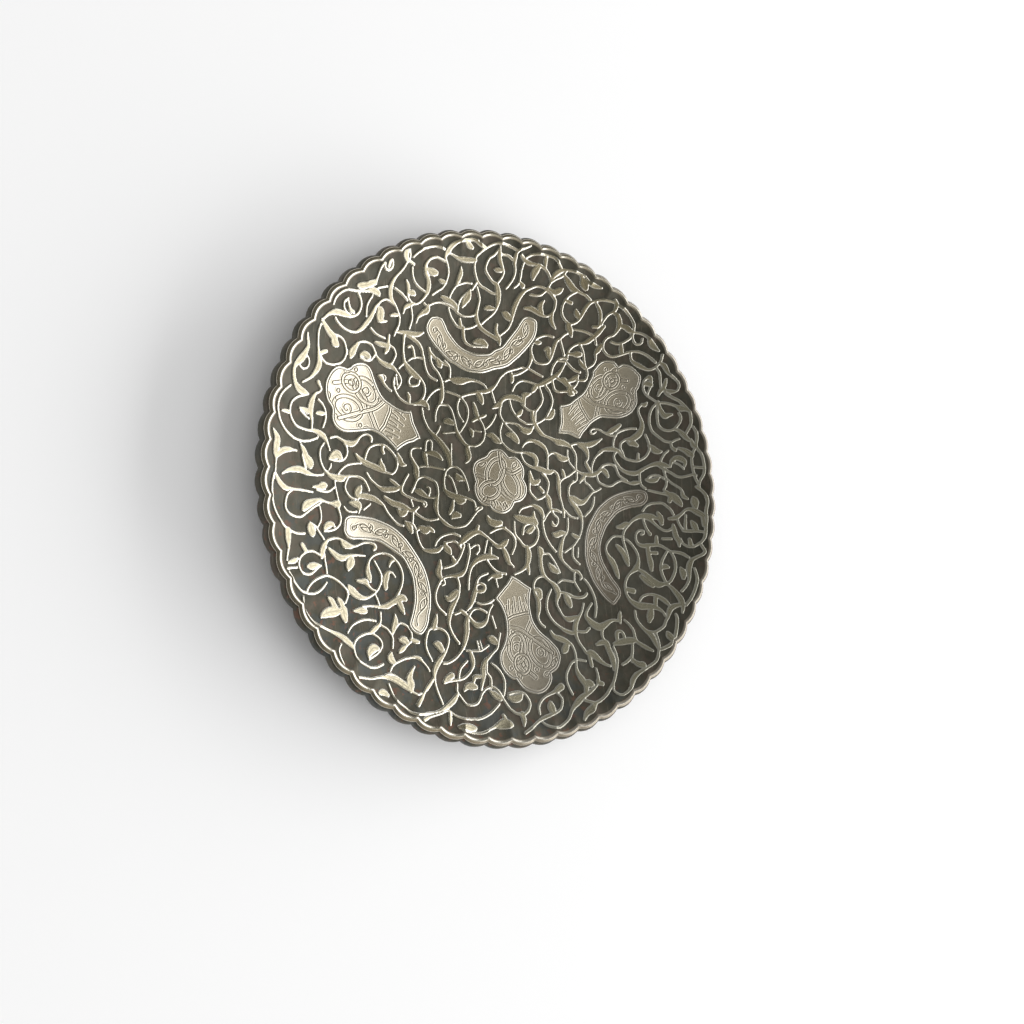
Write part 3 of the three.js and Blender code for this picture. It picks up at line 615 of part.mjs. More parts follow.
  [[60.3, 33.2, 1], [58.9, 31.6], [58.9, 29.9], [59.6, 28.2, 1.2], [60.3, 26.2, 1.6], [60.3, 24.2, 2.1],
    [59.2, 22, 2.6], [57.4, 20.5, 2.6], [55.8, 19.7, 2.1], [54.4, 19.6, 1.4], [52.8, 19.1, 1.1], [51.4, 17.9],
    [51.2, 16.2], [52, 14.6], [52.6, 12.7]],
  [[42, 14, 1.2], [43.8, 15.2, 1.4], [46.2, 15.6, 1.9], [48.4, 15.6, 2], [50.4, 14.9, 1.6], [51.7, 13.4, 1.2],
    [53.4, 12.2, 1.1], [55.7, 11.6], [58, 11.4], [59.7, 12], [61.4, 13], [62.6, 14.4], [63.2, 15.9],
    [63.2, 17.9], [62.6, 19.6], [61.7, 21.5]],
  [[49.4, 14.8, 1], [48.4, 13.3], [48.7, 11.4, 1.2], [50, 9.6], [51.4, 8.1, 1.3], [53.4, 7.1, 1.6],
    [55.7, 6.7, 1.9], [57.7, 6.8, 1.9], [59.2, 7.6, 1.6], [60.8, 8.5, 1.4], [62.6, 9.4], [64.8, 10.2, 1.7],
    [67, 10.5, 2.1], [69, 10.1, 2], [70.8, 9.5, 1.3]],
  [[66.4, 10.1, 1.2], [68.8, 8.6], [71.7, 7.1, 1.1], [73.4, 6], [75.4, 5.4], [77.7, 5.7], [80.4, 6.4],
    [81.4, 6]],
  [[42, 7.9, 1.1], [43.4, 9.2], [45.7, 9.9], [47.7, 9.7], [48.9, 8.7], [49.6, 7], [50.2, 5.8], [51.7, 4.7],
    [53.4, 3.8]],
  [[66.7, 34.4, 1.1], [66.4, 32.4], [66.4, 30.1], [66.6, 27.6], [67.1, 25.3], [68.6, 23.9], [70.6, 23.3],
    [72.6, 23.6], [74, 24.7], [75.4, 26.4], [75.8, 28.4], [75, 30]],
  [[66.6, 34, 1.1], [64.7, 32.1], [63.7, 30.1], [63.3, 28.1], [63.4, 25.9], [64.3, 23.3], [65.7, 21.9],
    [67.7, 20.4], [69.4, 19.3], [71.9, 18.8]],
  [[67, 33.7, 1.1], [68.3, 33.9], [70.6, 33.7], [73.1, 33], [74.6, 32.4, 1.6], [75.6, 31.9, 2.5],
    [77.2, 31.6, 1.8], [78.9, 30.6, 1.2], [79.7, 28.1], [79.7, 25.9], [78.4, 23.2], [77.4, 21.7]],
  [[66.7, 36.6, 1], [67.6, 38.4, 1.8], [69, 39.2, 1.4], [69.6, 37.6, 1.2], [72, 36.1], [74.9, 34.7],
    [77.1, 32.8], [78.4, 31.2]],
  [[80.6, 24.9, 1], [81.7, 22.4, 1.3], [82, 20.1], [81.7, 17.3], [82.9, 15.3, 1.1], [84, 13.3], [84.6, 10.7],
    [84.6, 8.1], [84, 5.9], [82.9, 3.9], [82.4, 1.6], [83, 0.4]],
  [[81.5, 17, 1], [80.2, 14.1, 1.1], [80, 11.6], [80.3, 8.7], [80.9, 5.9], [81.7, 3.9], [82.4, 2.4]],
  [[9.8, 85.9, 1], [7.6, 84.8], [5.6, 83.9, 1.2], [4.6, 82.8, 1.4], [4.3, 81.2, 1.8], [4.3, 79.4, 1.4],
    [4.8, 77.9, 1.1], [4.9, 75.9], [4.2, 73.9], [3.1, 72.2], [2, 70.8]],
  [[6.7, 82.4, 1.2], [8.4, 80.9, 1.6], [10.4, 80.2, 1.8], [12.2, 80.1, 1.3], [14.5, 79.9], [16.8, 79.1, 1.1],
    [18.5, 77.6], [19.9, 75.2]],
  [[31.2, 72.9, 1.1], [28.8, 71.6], [27.1, 70.2], [25.9, 68.2], [25.4, 66.2], [25.6, 64.2], [26.8, 62.5],
    [28.5, 61.1]],
  [[33.4, 78, 1], [31, 78.7, 1.1], [28.2, 79.4], [26, 79.5], [23.6, 79.2, 1.8], [21.6, 78, 2.1],
    [20.2, 76.2, 1.5], [19.6, 74.2, 1.1], [18.4, 72.2], [17.4, 71], [16.2, 70.1], [14.5, 69.7], [12, 69.8]],
  [[18.8, 72.2, 1.1], [16.2, 72.9], [13.9, 72.8], [11.9, 71.9], [9.9, 70.9, 1.4], [8.2, 69.2, 1.8],
    [6.9, 67, 2], [5.9, 64.6, 2.2], [5.4, 62.4, 1.9], [5.2, 60.4, 1.2], [4.6, 58.5, 1.1], [3.4, 56.5, 1],
    [0.8, 54.4, 1]],
  [[8.4, 81.6, 1], [10.2, 82.8, 1.1], [12.8, 83.5], [15.6, 83.6], [17.9, 83.5], [19.9, 83.1], [21.6, 81.9],
    [23.4, 79.8]],
  [[24.8, 77.8, 1.1], [26.4, 76, 2.2], [27.8, 74.6, 2.5], [29.4, 73.3, 2.4], [31.2, 72.8, 1.3],
    [32.8, 72.2, 1.1], [34.5, 71.6], [36.5, 70.2]],
  [[18, 71.8, 1], [19.6, 71.4, 1.2], [21.1, 70.2], [22.4, 68.8], [22.5, 66.8], [22.1, 65.1, 1.1], [20.8, 63.6],
    [19.1, 62.9], [16.8, 63.3, 1.5], [15, 64.2, 1.9], [12.6, 65, 2], [10.2, 64.9, 1.3]],
  [[28.5, 61.1, 1.1], [30.2, 61.2], [32.2, 62.2], [33.4, 64, 1.4], [34.6, 66.6, 1.8], [36, 68.6, 1.6],
    [37.6, 69.6, 1.2], [40.8, 70.4, 1.1], [43, 70.4], [46.4, 69.9], [47.2, 68.4, 1.6], [46.4, 66.7, 1.3],
    [44.4, 65.5, 1.1], [42.9, 63.6], [41.9, 61.6]],
  [[43.2, 61.2, 1.4], [41.2, 59, 2], [39.2, 57.1, 2], [37, 55.4, 2], [35.2, 54.5, 1.4], [33.4, 54.2, 1.1],
    [31.4, 53.4], [29.6, 51.9], [28.8, 50.2], [28.7, 48.4]],
  [[28.2, 57.5, 1], [27.2, 57.1, 1.1], [25.6, 55.6], [24.2, 54.6, 1.4], [23.3, 53, 1.8], [22.6, 51, 1.9],
    [22.3, 49.2, 1.4], [21.6, 47.4, 1.1], [20.5, 46.2], [18.5, 45.7], [16.2, 45.9], [14.8, 46.8], [14, 48.6]],
  [[46.2, 66.4, 1], [48, 65.4, 1.8], [49, 63.6, 2.2], [49.2, 61.8, 2.2], [48.3, 59.6, 1.4], [47.1, 58.2, 1.1],
    [45.1, 57.4], [43.7, 55.9], [43.3, 54.2], [43.7, 52.5], [45.1, 51.1], [47.1, 50.4], [49.4, 50.8],
    [51.7, 51.6], [54.3, 52.5], [56.6, 52.8], [58.9, 52.5], [61.1, 51.6], [62.9, 50.5], [64.8, 49]],
  [[47.2, 69.4, 1], [49, 68.5, 1.1], [50.9, 67.4], [52.6, 65.9], [54, 64.2], [54.9, 62.5], [55.2, 60]],
  [[49, 61.9, 1.4], [51.8, 61.4, 2.2], [53.4, 60.4, 2.2], [55, 59.7, 1.2], [56.9, 59.6, 1.1], [59.1, 59.1],
    [61.1, 57.9, 1.2], [62.3, 56, 2.5], [63.8, 54.6, 2.2], [65.7, 53.3, 1]],
  [[54.6, 52.3, 1], [55.1, 49.8, 1.2], [56.3, 48.6, 1.6], [58, 47.8, 1.9], [59.8, 47, 1.7], [62, 46.2, 1.2],
    [64, 46.6, 1.1], [65.7, 47.9], [66.9, 49.6], [67.1, 51.8]],
];

// A stroke is a list of x, y, width, where a width stands until the next one is given.
function readStroke(points) {
  let width = 1;
  return points.map(([x, y, given]) => {
    width = given ?? width;
    return { x: x * drawingScale, y: y * drawingScale, width: width * drawingScale };
  });
}

// Keeps the points of a stroke that shape it by more than a tolerance, in Douglas and Peucker's way.
const strokeTolerance = 0.53 * drawingScale;

function thinned(points) {
  if (points.length < 3) return points;
  const first = points[0];
  const last = points[points.length - 1];
  let far = 0;
  let reach = 0;
  for (let i = 1; i < points.length - 1; i++) {
    const t = i / (points.length - 1);
    const dx = last.x - first.x;
    const dy = last.y - first.y;
    const aside = Math.abs(dx * (points[i].y - first.y) - dy * (points[i].x - first.x)) / (Math.hypot(dx, dy) || 1);
    const wider = Math.abs(points[i].width - first.width - t * (last.width - first.width)) / 2;
    const from = Math.max(aside, wider);
    if (from > reach) {
      reach = from;
      far = i;
    }
  }
  if (reach < strokeTolerance) return [first, last];
  return [...thinned(points.slice(0, far + 1)), ...thinned(points.slice(far)).slice(1)];
}

// Cross-sections of a flat length of silver along a stroke, lying a seat gap above the copper.
function ribbonSections(stroke) {
  const points = thinned(stroke);
  return points.map((point, i) => {
    const before = points[Math.max(i - 1, 0)];
    const after = points[Math.min(i + 1, points.length - 1)];
    const along = Math.hypot(after.x - before.x, after.y - before.y) || 1;
    const nx = -(after.y - before.y) / along * point.width / 2;
    const ny = (after.x - before.x) / along * point.width / 2;
    const corner = (side, lift) => {
      const x = point.x + side * nx;
      const y = point.y + side * ny;
      return [x, y, wallHeight(Math.hypot(x, y)) + seatGap + lift];
    };
    return [corner(1, 0), corner(-1, 0), corner(-1, vineThickness), corner(1, vineThickness)];
  });
}

// A stroke may curl back onto itself, so it is made as two halves that share a cross-section.
function ribbonSolids(stroke) {
  const sections = ribbonSections(stroke);
  const middle = Math.floor(sections.length / 2);
  if (sections.length < 4) return [sectionsSolid(sections)];
  return [sectionsSolid(sections.slice(0, middle + 1)), sectionsSolid(sections.slice(middle))];
}

function sectionsSolid(sections) {
  const vertices = sections.flat(2);
  const faces = [];
  for (let i = 0; i < sections.length - 1; i++) {
    for (let k = 0; k < 4; k++) {
      const a = 4 * i + k;
      const b = 4 * i + (k + 1) % 4;
      faces.push(a, b + 4, b, a, a + 4, b + 4);
    }
  }
  const end = 4 * (sections.length - 1);
  faces.push(0, 1, 2, 0, 2, 3, end, end + 2, end + 1, end, end + 3, end + 2);
  return toManifold(vertices, faces);
}

// Separate bodies of a solid, each with its share of the volume, largest first.
function separateBodies(solid) {
  const mesh = solid.getMesh();
  const owner = Array.from({ length: mesh.vertProperties.length / mesh.numProp }, (_, i) => i);
  const root = (i) => {
    let top = i;
    while (owner[top] !== top) top = owner[top];
    while (owner[i] !== top) [owner[i], i] = [top, owner[i]];
    return top;
  };
  const faces = mesh.triVerts;
  for (let f = 0; f < faces.length; f += 3) {
    owner[root(faces[f])] = root(faces[f + 1]);
    owner[root(faces[f + 1])] = root(faces[f + 2]);
  }
  const groups = new Map();
  for (let f = 0; f < faces.length; f += 3) {
    const key = root(faces[f]);
    if (!groups.has(key)) groups.set(key, []);
    groups.get(key).push(faces[f], faces[f + 1], faces[f + 2]);
  }
  return [...groups.values()].map((list) => {
    const renumbered = new Map();
    const vertices = [];
    const own = list.map((v) => {
      if (!renumbered.has(v)) {
        renumbered.set(v, renumbered.size);
        for (let k = 0; k < 3; k++) vertices.push(mesh.vertProperties[mesh.numProp * v + k]);
      }
      return renumbered.get(v);
    });
    return measured(vertices, own);
  }).sort((a, b) => b.volume - a.volume);
}

function measured(vertices, faces) {
  const at = (i) => new THREE.Vector3(vertices[3 * i], vertices[3 * i + 1], vertices[3 * i + 2]);
  const centre = new THREE.Vector3();
  let volume = 0;
  for (let f = 0; f < faces.length; f += 3) {
    const [a, b, c] = [at(faces[f]), at(faces[f + 1]), at(faces[f + 2])];
    const part = a.dot(b.clone().cross(c)) / 6;
    volume += part;
    centre.addScaledVector(a.add(b).add(c), part / 4);
  }
  return { vertices, faces, volume, centre: centre.divideScalar(volume || 1) };
}

const group = new THREE.Group();
group.name = 'inlaid_dish';
const patina = new THREE.MeshStandardMaterial({ name: 'patinated_copper', color: 0x4d463c, metalness: 0.85, roughness: 0.45 });
const silver = new THREE.MeshStandardMaterial({ name: 'inlaid_silver', color: 0xbab5a6, metalness: 0.95, roughness: 0.35 });
const rimSilver = new THREE.MeshStandardMaterial({ name: 'rim_silver', color: 0xc2bda9, metalness: 0.95, roughness: 0.3 });
const wire = new THREE.MeshStandardMaterial({ name: 'vine_silver', color: 0xcac5b6, metalness: 0.95, roughness: 0.3 });

function add(name, geometry, material) {
  const mesh = new THREE.Mesh(geometry, material);
  mesh.name = name;
  group.add(mesh);
}

// The cartouches and their pockets share one outline and one gap.
let copper = copperSolid();
const pocketLayer = wellLayer(-pocketDepth, crestHeight);
const plateLayer = wellLayer(seatGap - pocketDepth, plateProud);
const plates = [];
let clearOfVine = null;
for (const [name, flat] of Object.entries(cartouches)) {
  const outline = readOutline(flat);
  copper = copper.subtract(prism(offsetOutline(outline, seatGap)).intersect(pocketLayer));
  plates.push([name, prism(outline).intersect(plateLayer)]);
  const keepOut = prism(offsetOutline(outline, vineToPlate));
  clearOfVine = clearOfVine ? clearOfVine.add(keepOut) : keepOut;
}
add('copper_dish', toGeometry(copper), patina);
add('silver_rim_band', toGeometry(bandSolid()), rimSilver);
for (const [name, solid] of plates) add(name, toGeometry(solid), silver);

// The vine: its ribbons joined, kept clear of the plates and the band, and cut into its lengths.
let vine = Manifold.union(vineStrokes.flatMap((stroke) => ribbonSolids(readStroke(stroke))));
vine = vine.subtract(clearOfVine);
const vineReach = borderRadius - vineToPlate;
const inside = [];
for (let i = 0; i < rimSteps; i++) {
  const angle = stepAngle(i, rimSteps);
  inside.push([vineReach * Math.cos(angle), vineReach * Math.sin(angle)]);
}
vine = vine.intersect(prism(inside));

// The gaps between the lengths in which the longest vine was laid.
const cuts = [];
for (let i = 0; i < vineLengths; i++) {
  const angle = 2 * Math.PI * (i + 0.5) / vineLengths;
  const [dx, dy] = [Math.cos(angle), Math.sin(angle)];
  const [nx, ny] = [-dy * vineCut / 2, dx * vineCut / 2];
  cuts.push(prism([
    [-nx, -ny], [rimRadius * dx - nx, rimRadius * dy - ny], [rimRadius * dx + nx, rimRadius * dy + ny], [nx, ny],
  ]));
}

const vineVolume = vine.volume();
const bodies = [];
for (const body of separateBodies(vine)) {
  if (body.volume < longShare * vineVolume) bodies.push(body);
  else bodies.push(...separateBodies(toManifold(body.vertices, body.faces).subtract(Manifold.union(cuts))));
}

// Each side of the dish numbers its lengths from the middle outwards.
const kept = bodies.filter((body) => body.volume >= leastShare * vineVolume);
kept.sort((a, b) => Math.hypot(a.centre.x, a.centre.y) - Math.hypot(b.centre.x, b.centre.y));
const counts = new Map();
for (const body of kept) {
  const turn = (Math.atan2(body.centre.y, body.centre.x) / (2 * Math.PI) + 1 + 0.5 / vineLengths) % 1;
  const side = Math.floor(turn * vineLengths);
  const number = (counts.get(side) ?? 0) + 1;
  counts.set(side, number);
  add(`vine_${side}_${number}`, arraysToGeometry(body.vertices, 3, body.faces), wire);
}

export default group;
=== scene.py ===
# %% [markdown]
# # Copper dish with silver inlay
#
# This is a shallow dish of dark, patinated copper, seen from above and a little to the left. Its rim is
# cut into scallops and turned down. Let into the copper are a silver band round the rim, a medallion,
# three drop-shaped and three crescent-shaped cartouches, and a vine that fills the ground between them.
#
# Lengths are in millimetres and become metres when a mesh is made. The origin is the middle of the
# resting face and +Z is up. The frame brings the solids that the pieces made here stand for.

# %% The frame
import math

import bpy
import numpy as np
from mathutils import Matrix, Vector


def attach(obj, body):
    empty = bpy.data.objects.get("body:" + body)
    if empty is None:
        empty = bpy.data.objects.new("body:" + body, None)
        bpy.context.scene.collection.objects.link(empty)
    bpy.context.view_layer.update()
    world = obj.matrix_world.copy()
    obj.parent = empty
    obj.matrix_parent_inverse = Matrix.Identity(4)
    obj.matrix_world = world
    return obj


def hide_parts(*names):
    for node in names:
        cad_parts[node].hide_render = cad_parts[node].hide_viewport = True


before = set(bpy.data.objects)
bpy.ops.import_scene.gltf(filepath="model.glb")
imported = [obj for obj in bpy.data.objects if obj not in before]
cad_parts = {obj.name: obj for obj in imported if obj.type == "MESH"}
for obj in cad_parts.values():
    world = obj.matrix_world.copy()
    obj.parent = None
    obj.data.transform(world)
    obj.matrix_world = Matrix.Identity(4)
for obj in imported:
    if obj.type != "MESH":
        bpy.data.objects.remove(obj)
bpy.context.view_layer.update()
print("solids in the frame:", len(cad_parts))

# %% [markdown]
# ## Sizes
#
# A smith raises such a dish from one sheet: a flat middle, a wall that turns up late, and a lip hammered
# down over the edge. A photograph shows no more of it than a few sizes, so these drive everything below.
# `WALL_CURVE` is the power with which the wall climbs, and 2 would be a parabola.

# %% Sizes of the dish
MM = 0.001
RIM_RADIUS = 90.0
WELL_DEPTH = 10.5
SHEET = 1.2
FLOOR_RADIUS = 25.0
WALL_CURVE = 2.4
LIP_REACH = 3.0
LIP_DROP = 3.2
LIP_SHEET = 1.1
CREST_RADIUS = RIM_RADIUS - LIP_REACH
CREST_HEIGHT = SHEET + WELL_DEPTH

SCALLOPS = 64
SCALLOP_DEPTH = 1.15
SCALLOP_FADE = 8.0
SCALLOP_START = 7.4
SCALLOP_DRIFT = 2.75
CROWDED_SIDE = 350.0
print(f"the dish is {2 * RIM_RADIUS:g} mm wide and {CREST_HEIGHT:g} mm high at the crest")

# %% Sizes of the silver
BAND_INNER = 87.0
BAND_OUTER = 88.95
BAND_PROUD = 0.3
PLATE_PROUD = 0.33
VINE_PROUD = 0.36
VINE_GAP = 0.3
print(f"silver stands up to {VINE_PROUD:g} mm above the copper")

# %% [markdown]
# ## The shape of the copper
#
# The scallops are filed by hand, so they crowd together a little at one side. They could be cut from a
# round dish with 64 small cutters, but a formula is lighter and keeps the surface smooth: every height
# is worked out from the radius that a point would have on a plain round dish. The scallops die away
# inward over `SCALLOP_FADE`.


# %% Scallops
def smooth_step(low, high, value):
    """0 below low, 1 above high, and 3t^2 - 2t^3 between them."""
    t = np.clip((value - low) / (high - low), 0.0, 1.0)
    return t * t * (3.0 - 2.0 * t)


def scallop_phase(angle):
    """Way across a scallop, 0 to 1, at an angle in degrees.

    The cusps stand at start + 360 k / 64 + drift * cos(that angle - crowded side), and two rounds turn
    this about.
    """
    even = angle - SCALLOP_DRIFT * np.cos(np.radians(angle - CROWDED_SIDE))
    even = angle - SCALLOP_DRIFT * np.cos(np.radians(even - CROWDED_SIDE))
    return np.mod((even - SCALLOP_START) * SCALLOPS / 360.0, 1.0)


def scallop_angle(count):
    """Angle in degrees for a count of scallops from the first cusp."""
    even = SCALLOP_START + 360.0 * count / SCALLOPS
    return even + SCALLOP_DRIFT * np.cos(np.radians(even - CROWDED_SIDE))


def scallop_inset(phase):
    """How far the rim stands in from the tips: a parabola, depth * (2 * phase - 1)^2."""
    return SCALLOP_DEPTH * (2.0 * phase - 1.0) ** 2


print("a scallop's cusps stand in by", scallop_inset(0.0), "mm and its tip by", scallop_inset(0.5))


# %% Heights
def inset_share(plain_radius):
    """How much of the scallops is felt at a radius of the plain dish."""
    return smooth_step(CREST_RADIUS - SCALLOP_FADE, CREST_RADIUS, plain_radius)


def profile_height(plain_radius):
    """Height of the upper face: sheet + depth * t^curve, with t the way from the floor to the crest.

    On the lip, the share of the way out and the share of the height left lie on out^3 + left^3 = 1.
    """
    t = np.clip((plain_radius - FLOOR_RADIUS) / (CREST_RADIUS - FLOOR_RADIUS), 0.0, 1.0)
    wall = SHEET + WELL_DEPTH * t**WALL_CURVE
    out = np.clip((plain_radius - CREST_RADIUS) / LIP_REACH, 0.0, 1.0)
    return wall - LIP_DROP * (1.0 - np.cbrt(1.0 - out**3))


def plain_radius_at(x, y):
    """Radius that a point would have without the scallops: r + inset * share, found in three rounds."""
    radius = np.hypot(x, y)
    inset = scallop_inset(scallop_phase(np.degrees(np.arctan2(y, x))))
    plain = radius
    for _ in range(3):
        plain = radius + inset * inset_share(plain)
    return plain


def copper_height(x, y):
    """Height of the copper's upper face at any point of the plan."""
    return profile_height(plain_radius_at(x, y))


print("height 60 mm from the axis:", round(float(copper_height(60.0, 0.0)), 2), "mm")

# %% [markdown]
# ## From arrays to meshes
#
# A mesh can be edited point by point, but here each one comes from whole arrays. It gets its vertices in
# metres, its faces, and one number per vertex for each value that its material reads.


# %% Making an object
def make_object(name, vertices, faces, values=None):
    """Mesh object from arrays: vertices in mm, faces as rows of numbers, and values by name."""
    mesh = bpy.data.meshes.new(name)
    mesh.from_pydata((np.asarray(vertices) * MM).tolist(), [], [list(face) for face in faces])
    for key, array in (values or {}).items():
        attribute = mesh.attributes.new(key, "FLOAT", "POINT")
        attribute.data.foreach_set("value", np.asarray(array, np.float32))
    mesh.polygons.foreach_set("use_smooth", [True] * len(mesh.polygons))
    mesh.update()
    made = bpy.data.objects.new(name, mesh)
    bpy.context.scene.collection.objects.link(made)
    print(f"{name}: {len(mesh.vertices)} vertices, {len(mesh.polygons)} faces")
    return made


def ring_faces(rings, around):
    """Quads between rings that each have the same number of points, closed round the axis."""
    r, a = np.meshgrid(np.arange(rings - 1), np.arange(around), indexing="ij")
    after = (a + 1) % around
    quads = [r * around + a, (r + 1) * around + a, (r + 1) * around + after, r * around + after]
    return np.stack(quads, -1).reshape(-1, 4)


# %% [markdown]
# ## The copper dish
#
# The real dish is one sheet, so it is one closed mesh: the upper face from the middle out over the crest,
# the lip down to its lower edge, and the underside back to the flat resting face. A lathe would do for a
# round dish. Here each ring of the lathe is drawn in by the scallops.

# %% Rings of the copper
STEPS_PER_SCALLOP = 10
AROUND = SCALLOPS * STEPS_PER_SCALLOP
FLOOR_RINGS = np.linspace(0.5, 25, 8)
WALL_RINGS = np.linspace(26.5, 79, 36)
RIM_RINGS = np.linspace(79.7, 86.8, 16)
LIP_RINGS = 14
UNDER_RINGS = np.linspace(85.0, 26.0, 24)
EDGE_ROUND = 0.15
EDGE_DROP = 0.12
SLOPE_STEP = 0.1


def rim_ring(plain_radius, height):
    """Ring of points at a plain radius, less the scallops' inset times its share there."""
    count = np.arange(AROUND) / STEPS_PER_SCALLOP
    angle = np.radians(scallop_angle(count))
    radius = plain_radius - scallop_inset(np.mod(count, 1.0)) * inset_share(plain_radius)
    return np.stack([radius * np.cos(angle), radius * np.sin(angle), np.full(AROUND, height)], -1)


def upper_rings():
    """Radius and height of the upper face and of the lip, where out = sin^(2/3) and left = cos^(2/3)."""
    rings = [(radius, profile_height(radius)) for radius in (*FLOOR_RINGS, *WALL_RINGS, *RIM_RINGS)]
    for turn in np.radians(np.linspace(0, 90, LIP_RINGS)):
        out = abs(np.sin(turn)) ** (2 / 3)
        left = abs(np.cos(turn)) ** (2 / 3)
        rings.append((CREST_RADIUS + LIP_REACH * out, CREST_HEIGHT - LIP_DROP * (1 - left)))
    return rings


def lower_rings():
    """The lip's lower edge, its inner face, and the underside: one sheet below, square to the slope."""
    foot = CREST_HEIGHT - LIP_DROP
    inner = RIM_RADIUS - LIP_SHEET
    edge = foot - EDGE_DROP
    rings = [(RIM_RADIUS - EDGE_ROUND, edge), (inner + EDGE_ROUND, edge), (inner, foot)]
    rings += [(inner - 0.2, foot + 1.0), (CREST_RADIUS + 0.3, CREST_HEIGHT - 1.3 * SHEET)]
    for radius in UNDER_RINGS:
        rise = profile_height(radius + SLOPE_STEP) - profile_height(radius - SLOPE_STEP)
        slope = rise / (2 * SLOPE_STEP)
        rings.append((radius, profile_height(radius) - SHEET * math.hypot(1.0, slope)))
    return rings + [(FLOOR_RADIUS, 0.0), (12.0, 0.0), (0.5, 0.0)]


print("rings of the copper:", len(upper_rings()), "above and", len(lower_rings()), "below")


# %% Building the copper
def build_copper():
    """All rings joined by quads, and a face over the small hole at each end."""
    rings = upper_rings() + lower_rings()
    points = np.concatenate([rim_ring(radius, height) for radius, height in rings])
    faces = ring_faces(len(rings), AROUND).tolist()
    faces.append(list(range(AROUND)))
    last = (len(rings) - 1) * AROUND
    faces.append(list(range(last + AROUND - 1, last - 1, -1)))
    return make_object("dish_copper", points, faces)


copper = build_copper()

# %% [markdown]
# ## The silver band of the rim
#
# A strip of silver runs over the crest and follows the scallops. It could be a curve with a bevel, but a
# profile carried round the same rings as the copper fits it exactly. The profile climbs to a ridge and
# falls off gently, so that the ridge catches the light.

# %% The band
# Way across the band, and height there as a share of BAND_PROUD.
BAND_ACROSS = np.array([0.0, 0.0, 0.08, 0.16, 0.26, 0.36, 0.46, 0.54, 0.62, 0.75, 0.88, 0.96, 1.0, 1.0])
BAND_HEIGHTS = np.array([-0.1, 0.05, 0.1, 0.2, 0.5, 0.8, 1.0, 1.0, 0.85, 0.75, 0.7, 0.6, 0.3, -0.1])


def build_band():
    """Rings from the inner edge, across = 0, to the outer edge, across = 1, each at its own height."""
    rows = []
    for share, proud in zip(BAND_ACROSS, BAND_HEIGHTS * BAND_PROUD):
        radius = BAND_INNER + share * (BAND_OUTER - BAND_INNER)
        rows.append(rim_ring(radius, profile_height(radius) + proud))
    phase = np.mod(np.arange(AROUND) / STEPS_PER_SCALLOP, 1.0)
    values = {"across": np.repeat(BAND_ACROSS, AROUND), "phase": np.tile(phase, len(BAND_ACROSS))}
    return make_object("rim_band", np.concatenate(rows), ring_faces(len(BAND_ACROSS), AROUND), values)


band = build_band()

# %% [markdown]
# ## Sheets cut to a shape
#
# The plates and the vine are flat silver let into a curved wall. A curve filled and bent to the wall would
# have long, thin faces. So each is a fine grid instead. A field gives every point of the grid its distance
# inside the shape, positive within. The cells that touch the shape are kept, their outer corners are
# pulled to its edge, the points are laid on the copper, and a short wall drops from the edge.


# %% A field over the plan
# Distance in mm that stands for nowhere near.
OUTSIDE = 9.0


class Field:
    """A grid over a rectangle of the plan, with the distance inside a shape at each of its points."""

    def __init__(self, low_x, low_y, high_x, high_y, step):
        self.step = step
        self.low = (low_x, low_y)
        across = np.arange(int(math.ceil((high_x - low_x) / step)) + 1)
        along = np.arange(int(math.ceil((high_y - low_y) / step)) + 1)
        self.x, self.y = np.meshgrid(low_x + across * step, low_y + along * step)
        self.inside = np.full(self.x.shape, -OUTSIDE)

    def window(self, low_x, low_y, high_x, high_y):
        """Slices of the grid that cover a box."""
        rows, columns = self.x.shape
        left = int(np.clip((low_x - self.low[0]) // self.step, 0, columns))
        right = int(np.clip((high_x - self.low[0]) // self.step + 2, 0, columns))
        bottom = int(np.clip((low_y - self.low[1]) // self.step, 0, rows))
        top = int(np.clip((high_y - self.low[1]) // self.step + 2, 0, rows))
        return slice(bottom, top), slice(left, right)


def rounded(points, steps):
    """Catmull-Rom curve: each span is a cubic whose slope at a point is half the chord beside it."""
    points = np.asarray(points, float)
    if len(points) < 3:
        t = np.linspace(0, 1, steps + 1)[:, None]
        return points[0] * (1 - t) + points[-1] * t
    padded = np.vstack([2 * points[0] - points[1], points, 2 * points[-1] - points[-2]])
    t = np.linspace(0, 1, steps, endpoint=False)[:, None]
    spans = []
    for a, b, c, d in zip(padded, padded[1:], padded[2:], padded[3:]):
        square = 2 * a - 5 * b + 4 * c - d
        cube = 3 * b - a - 3 * c + d
        spans.append(0.5 * (2 * b + (c - a) * t + square * t**2 + cube * t**3))
    return np.vstack(spans + [points[-1:]])


def edge_distance(x, y, loop):
    """Distance to the edge of a closed loop: positive inside it and negative outside."""
    nearest = np.full(x.shape, 1e9)
    inside = np.zeros(x.shape, bool)
    for (ax, ay), (bx, by) in zip(loop, np.roll(loop, -1, 0)):
        dx, dy = bx - ax, by - ay
        t = np.clip(((x - ax) * dx + (y - ay) * dy) / max(dx * dx + dy * dy, 1e-9), 0, 1)
        nearest = np.minimum(nearest, (x - ax - t * dx) ** 2 + (y - ay - t * dy) ** 2)
        crosses = (ay > y) != (by > y)
        if ay != by:
            inside ^= crosses & (x < ax + (y - ay) * dx / dy)
    return np.where(inside, 1.0, -1.0) * np.sqrt(nearest)


square_loop = np.array([(-1.0, -1.0), (1.0, -1.0), (1.0, 1.0), (-1.0, 1.0)])
middle_depth = edge_distance(np.zeros(1), np.zeros(1), square_loop)[0]
print("the middle of a 2 mm square is", middle_depth, "mm inside")

# %% Cutting a sheet
SHEET_WALL = 0.45


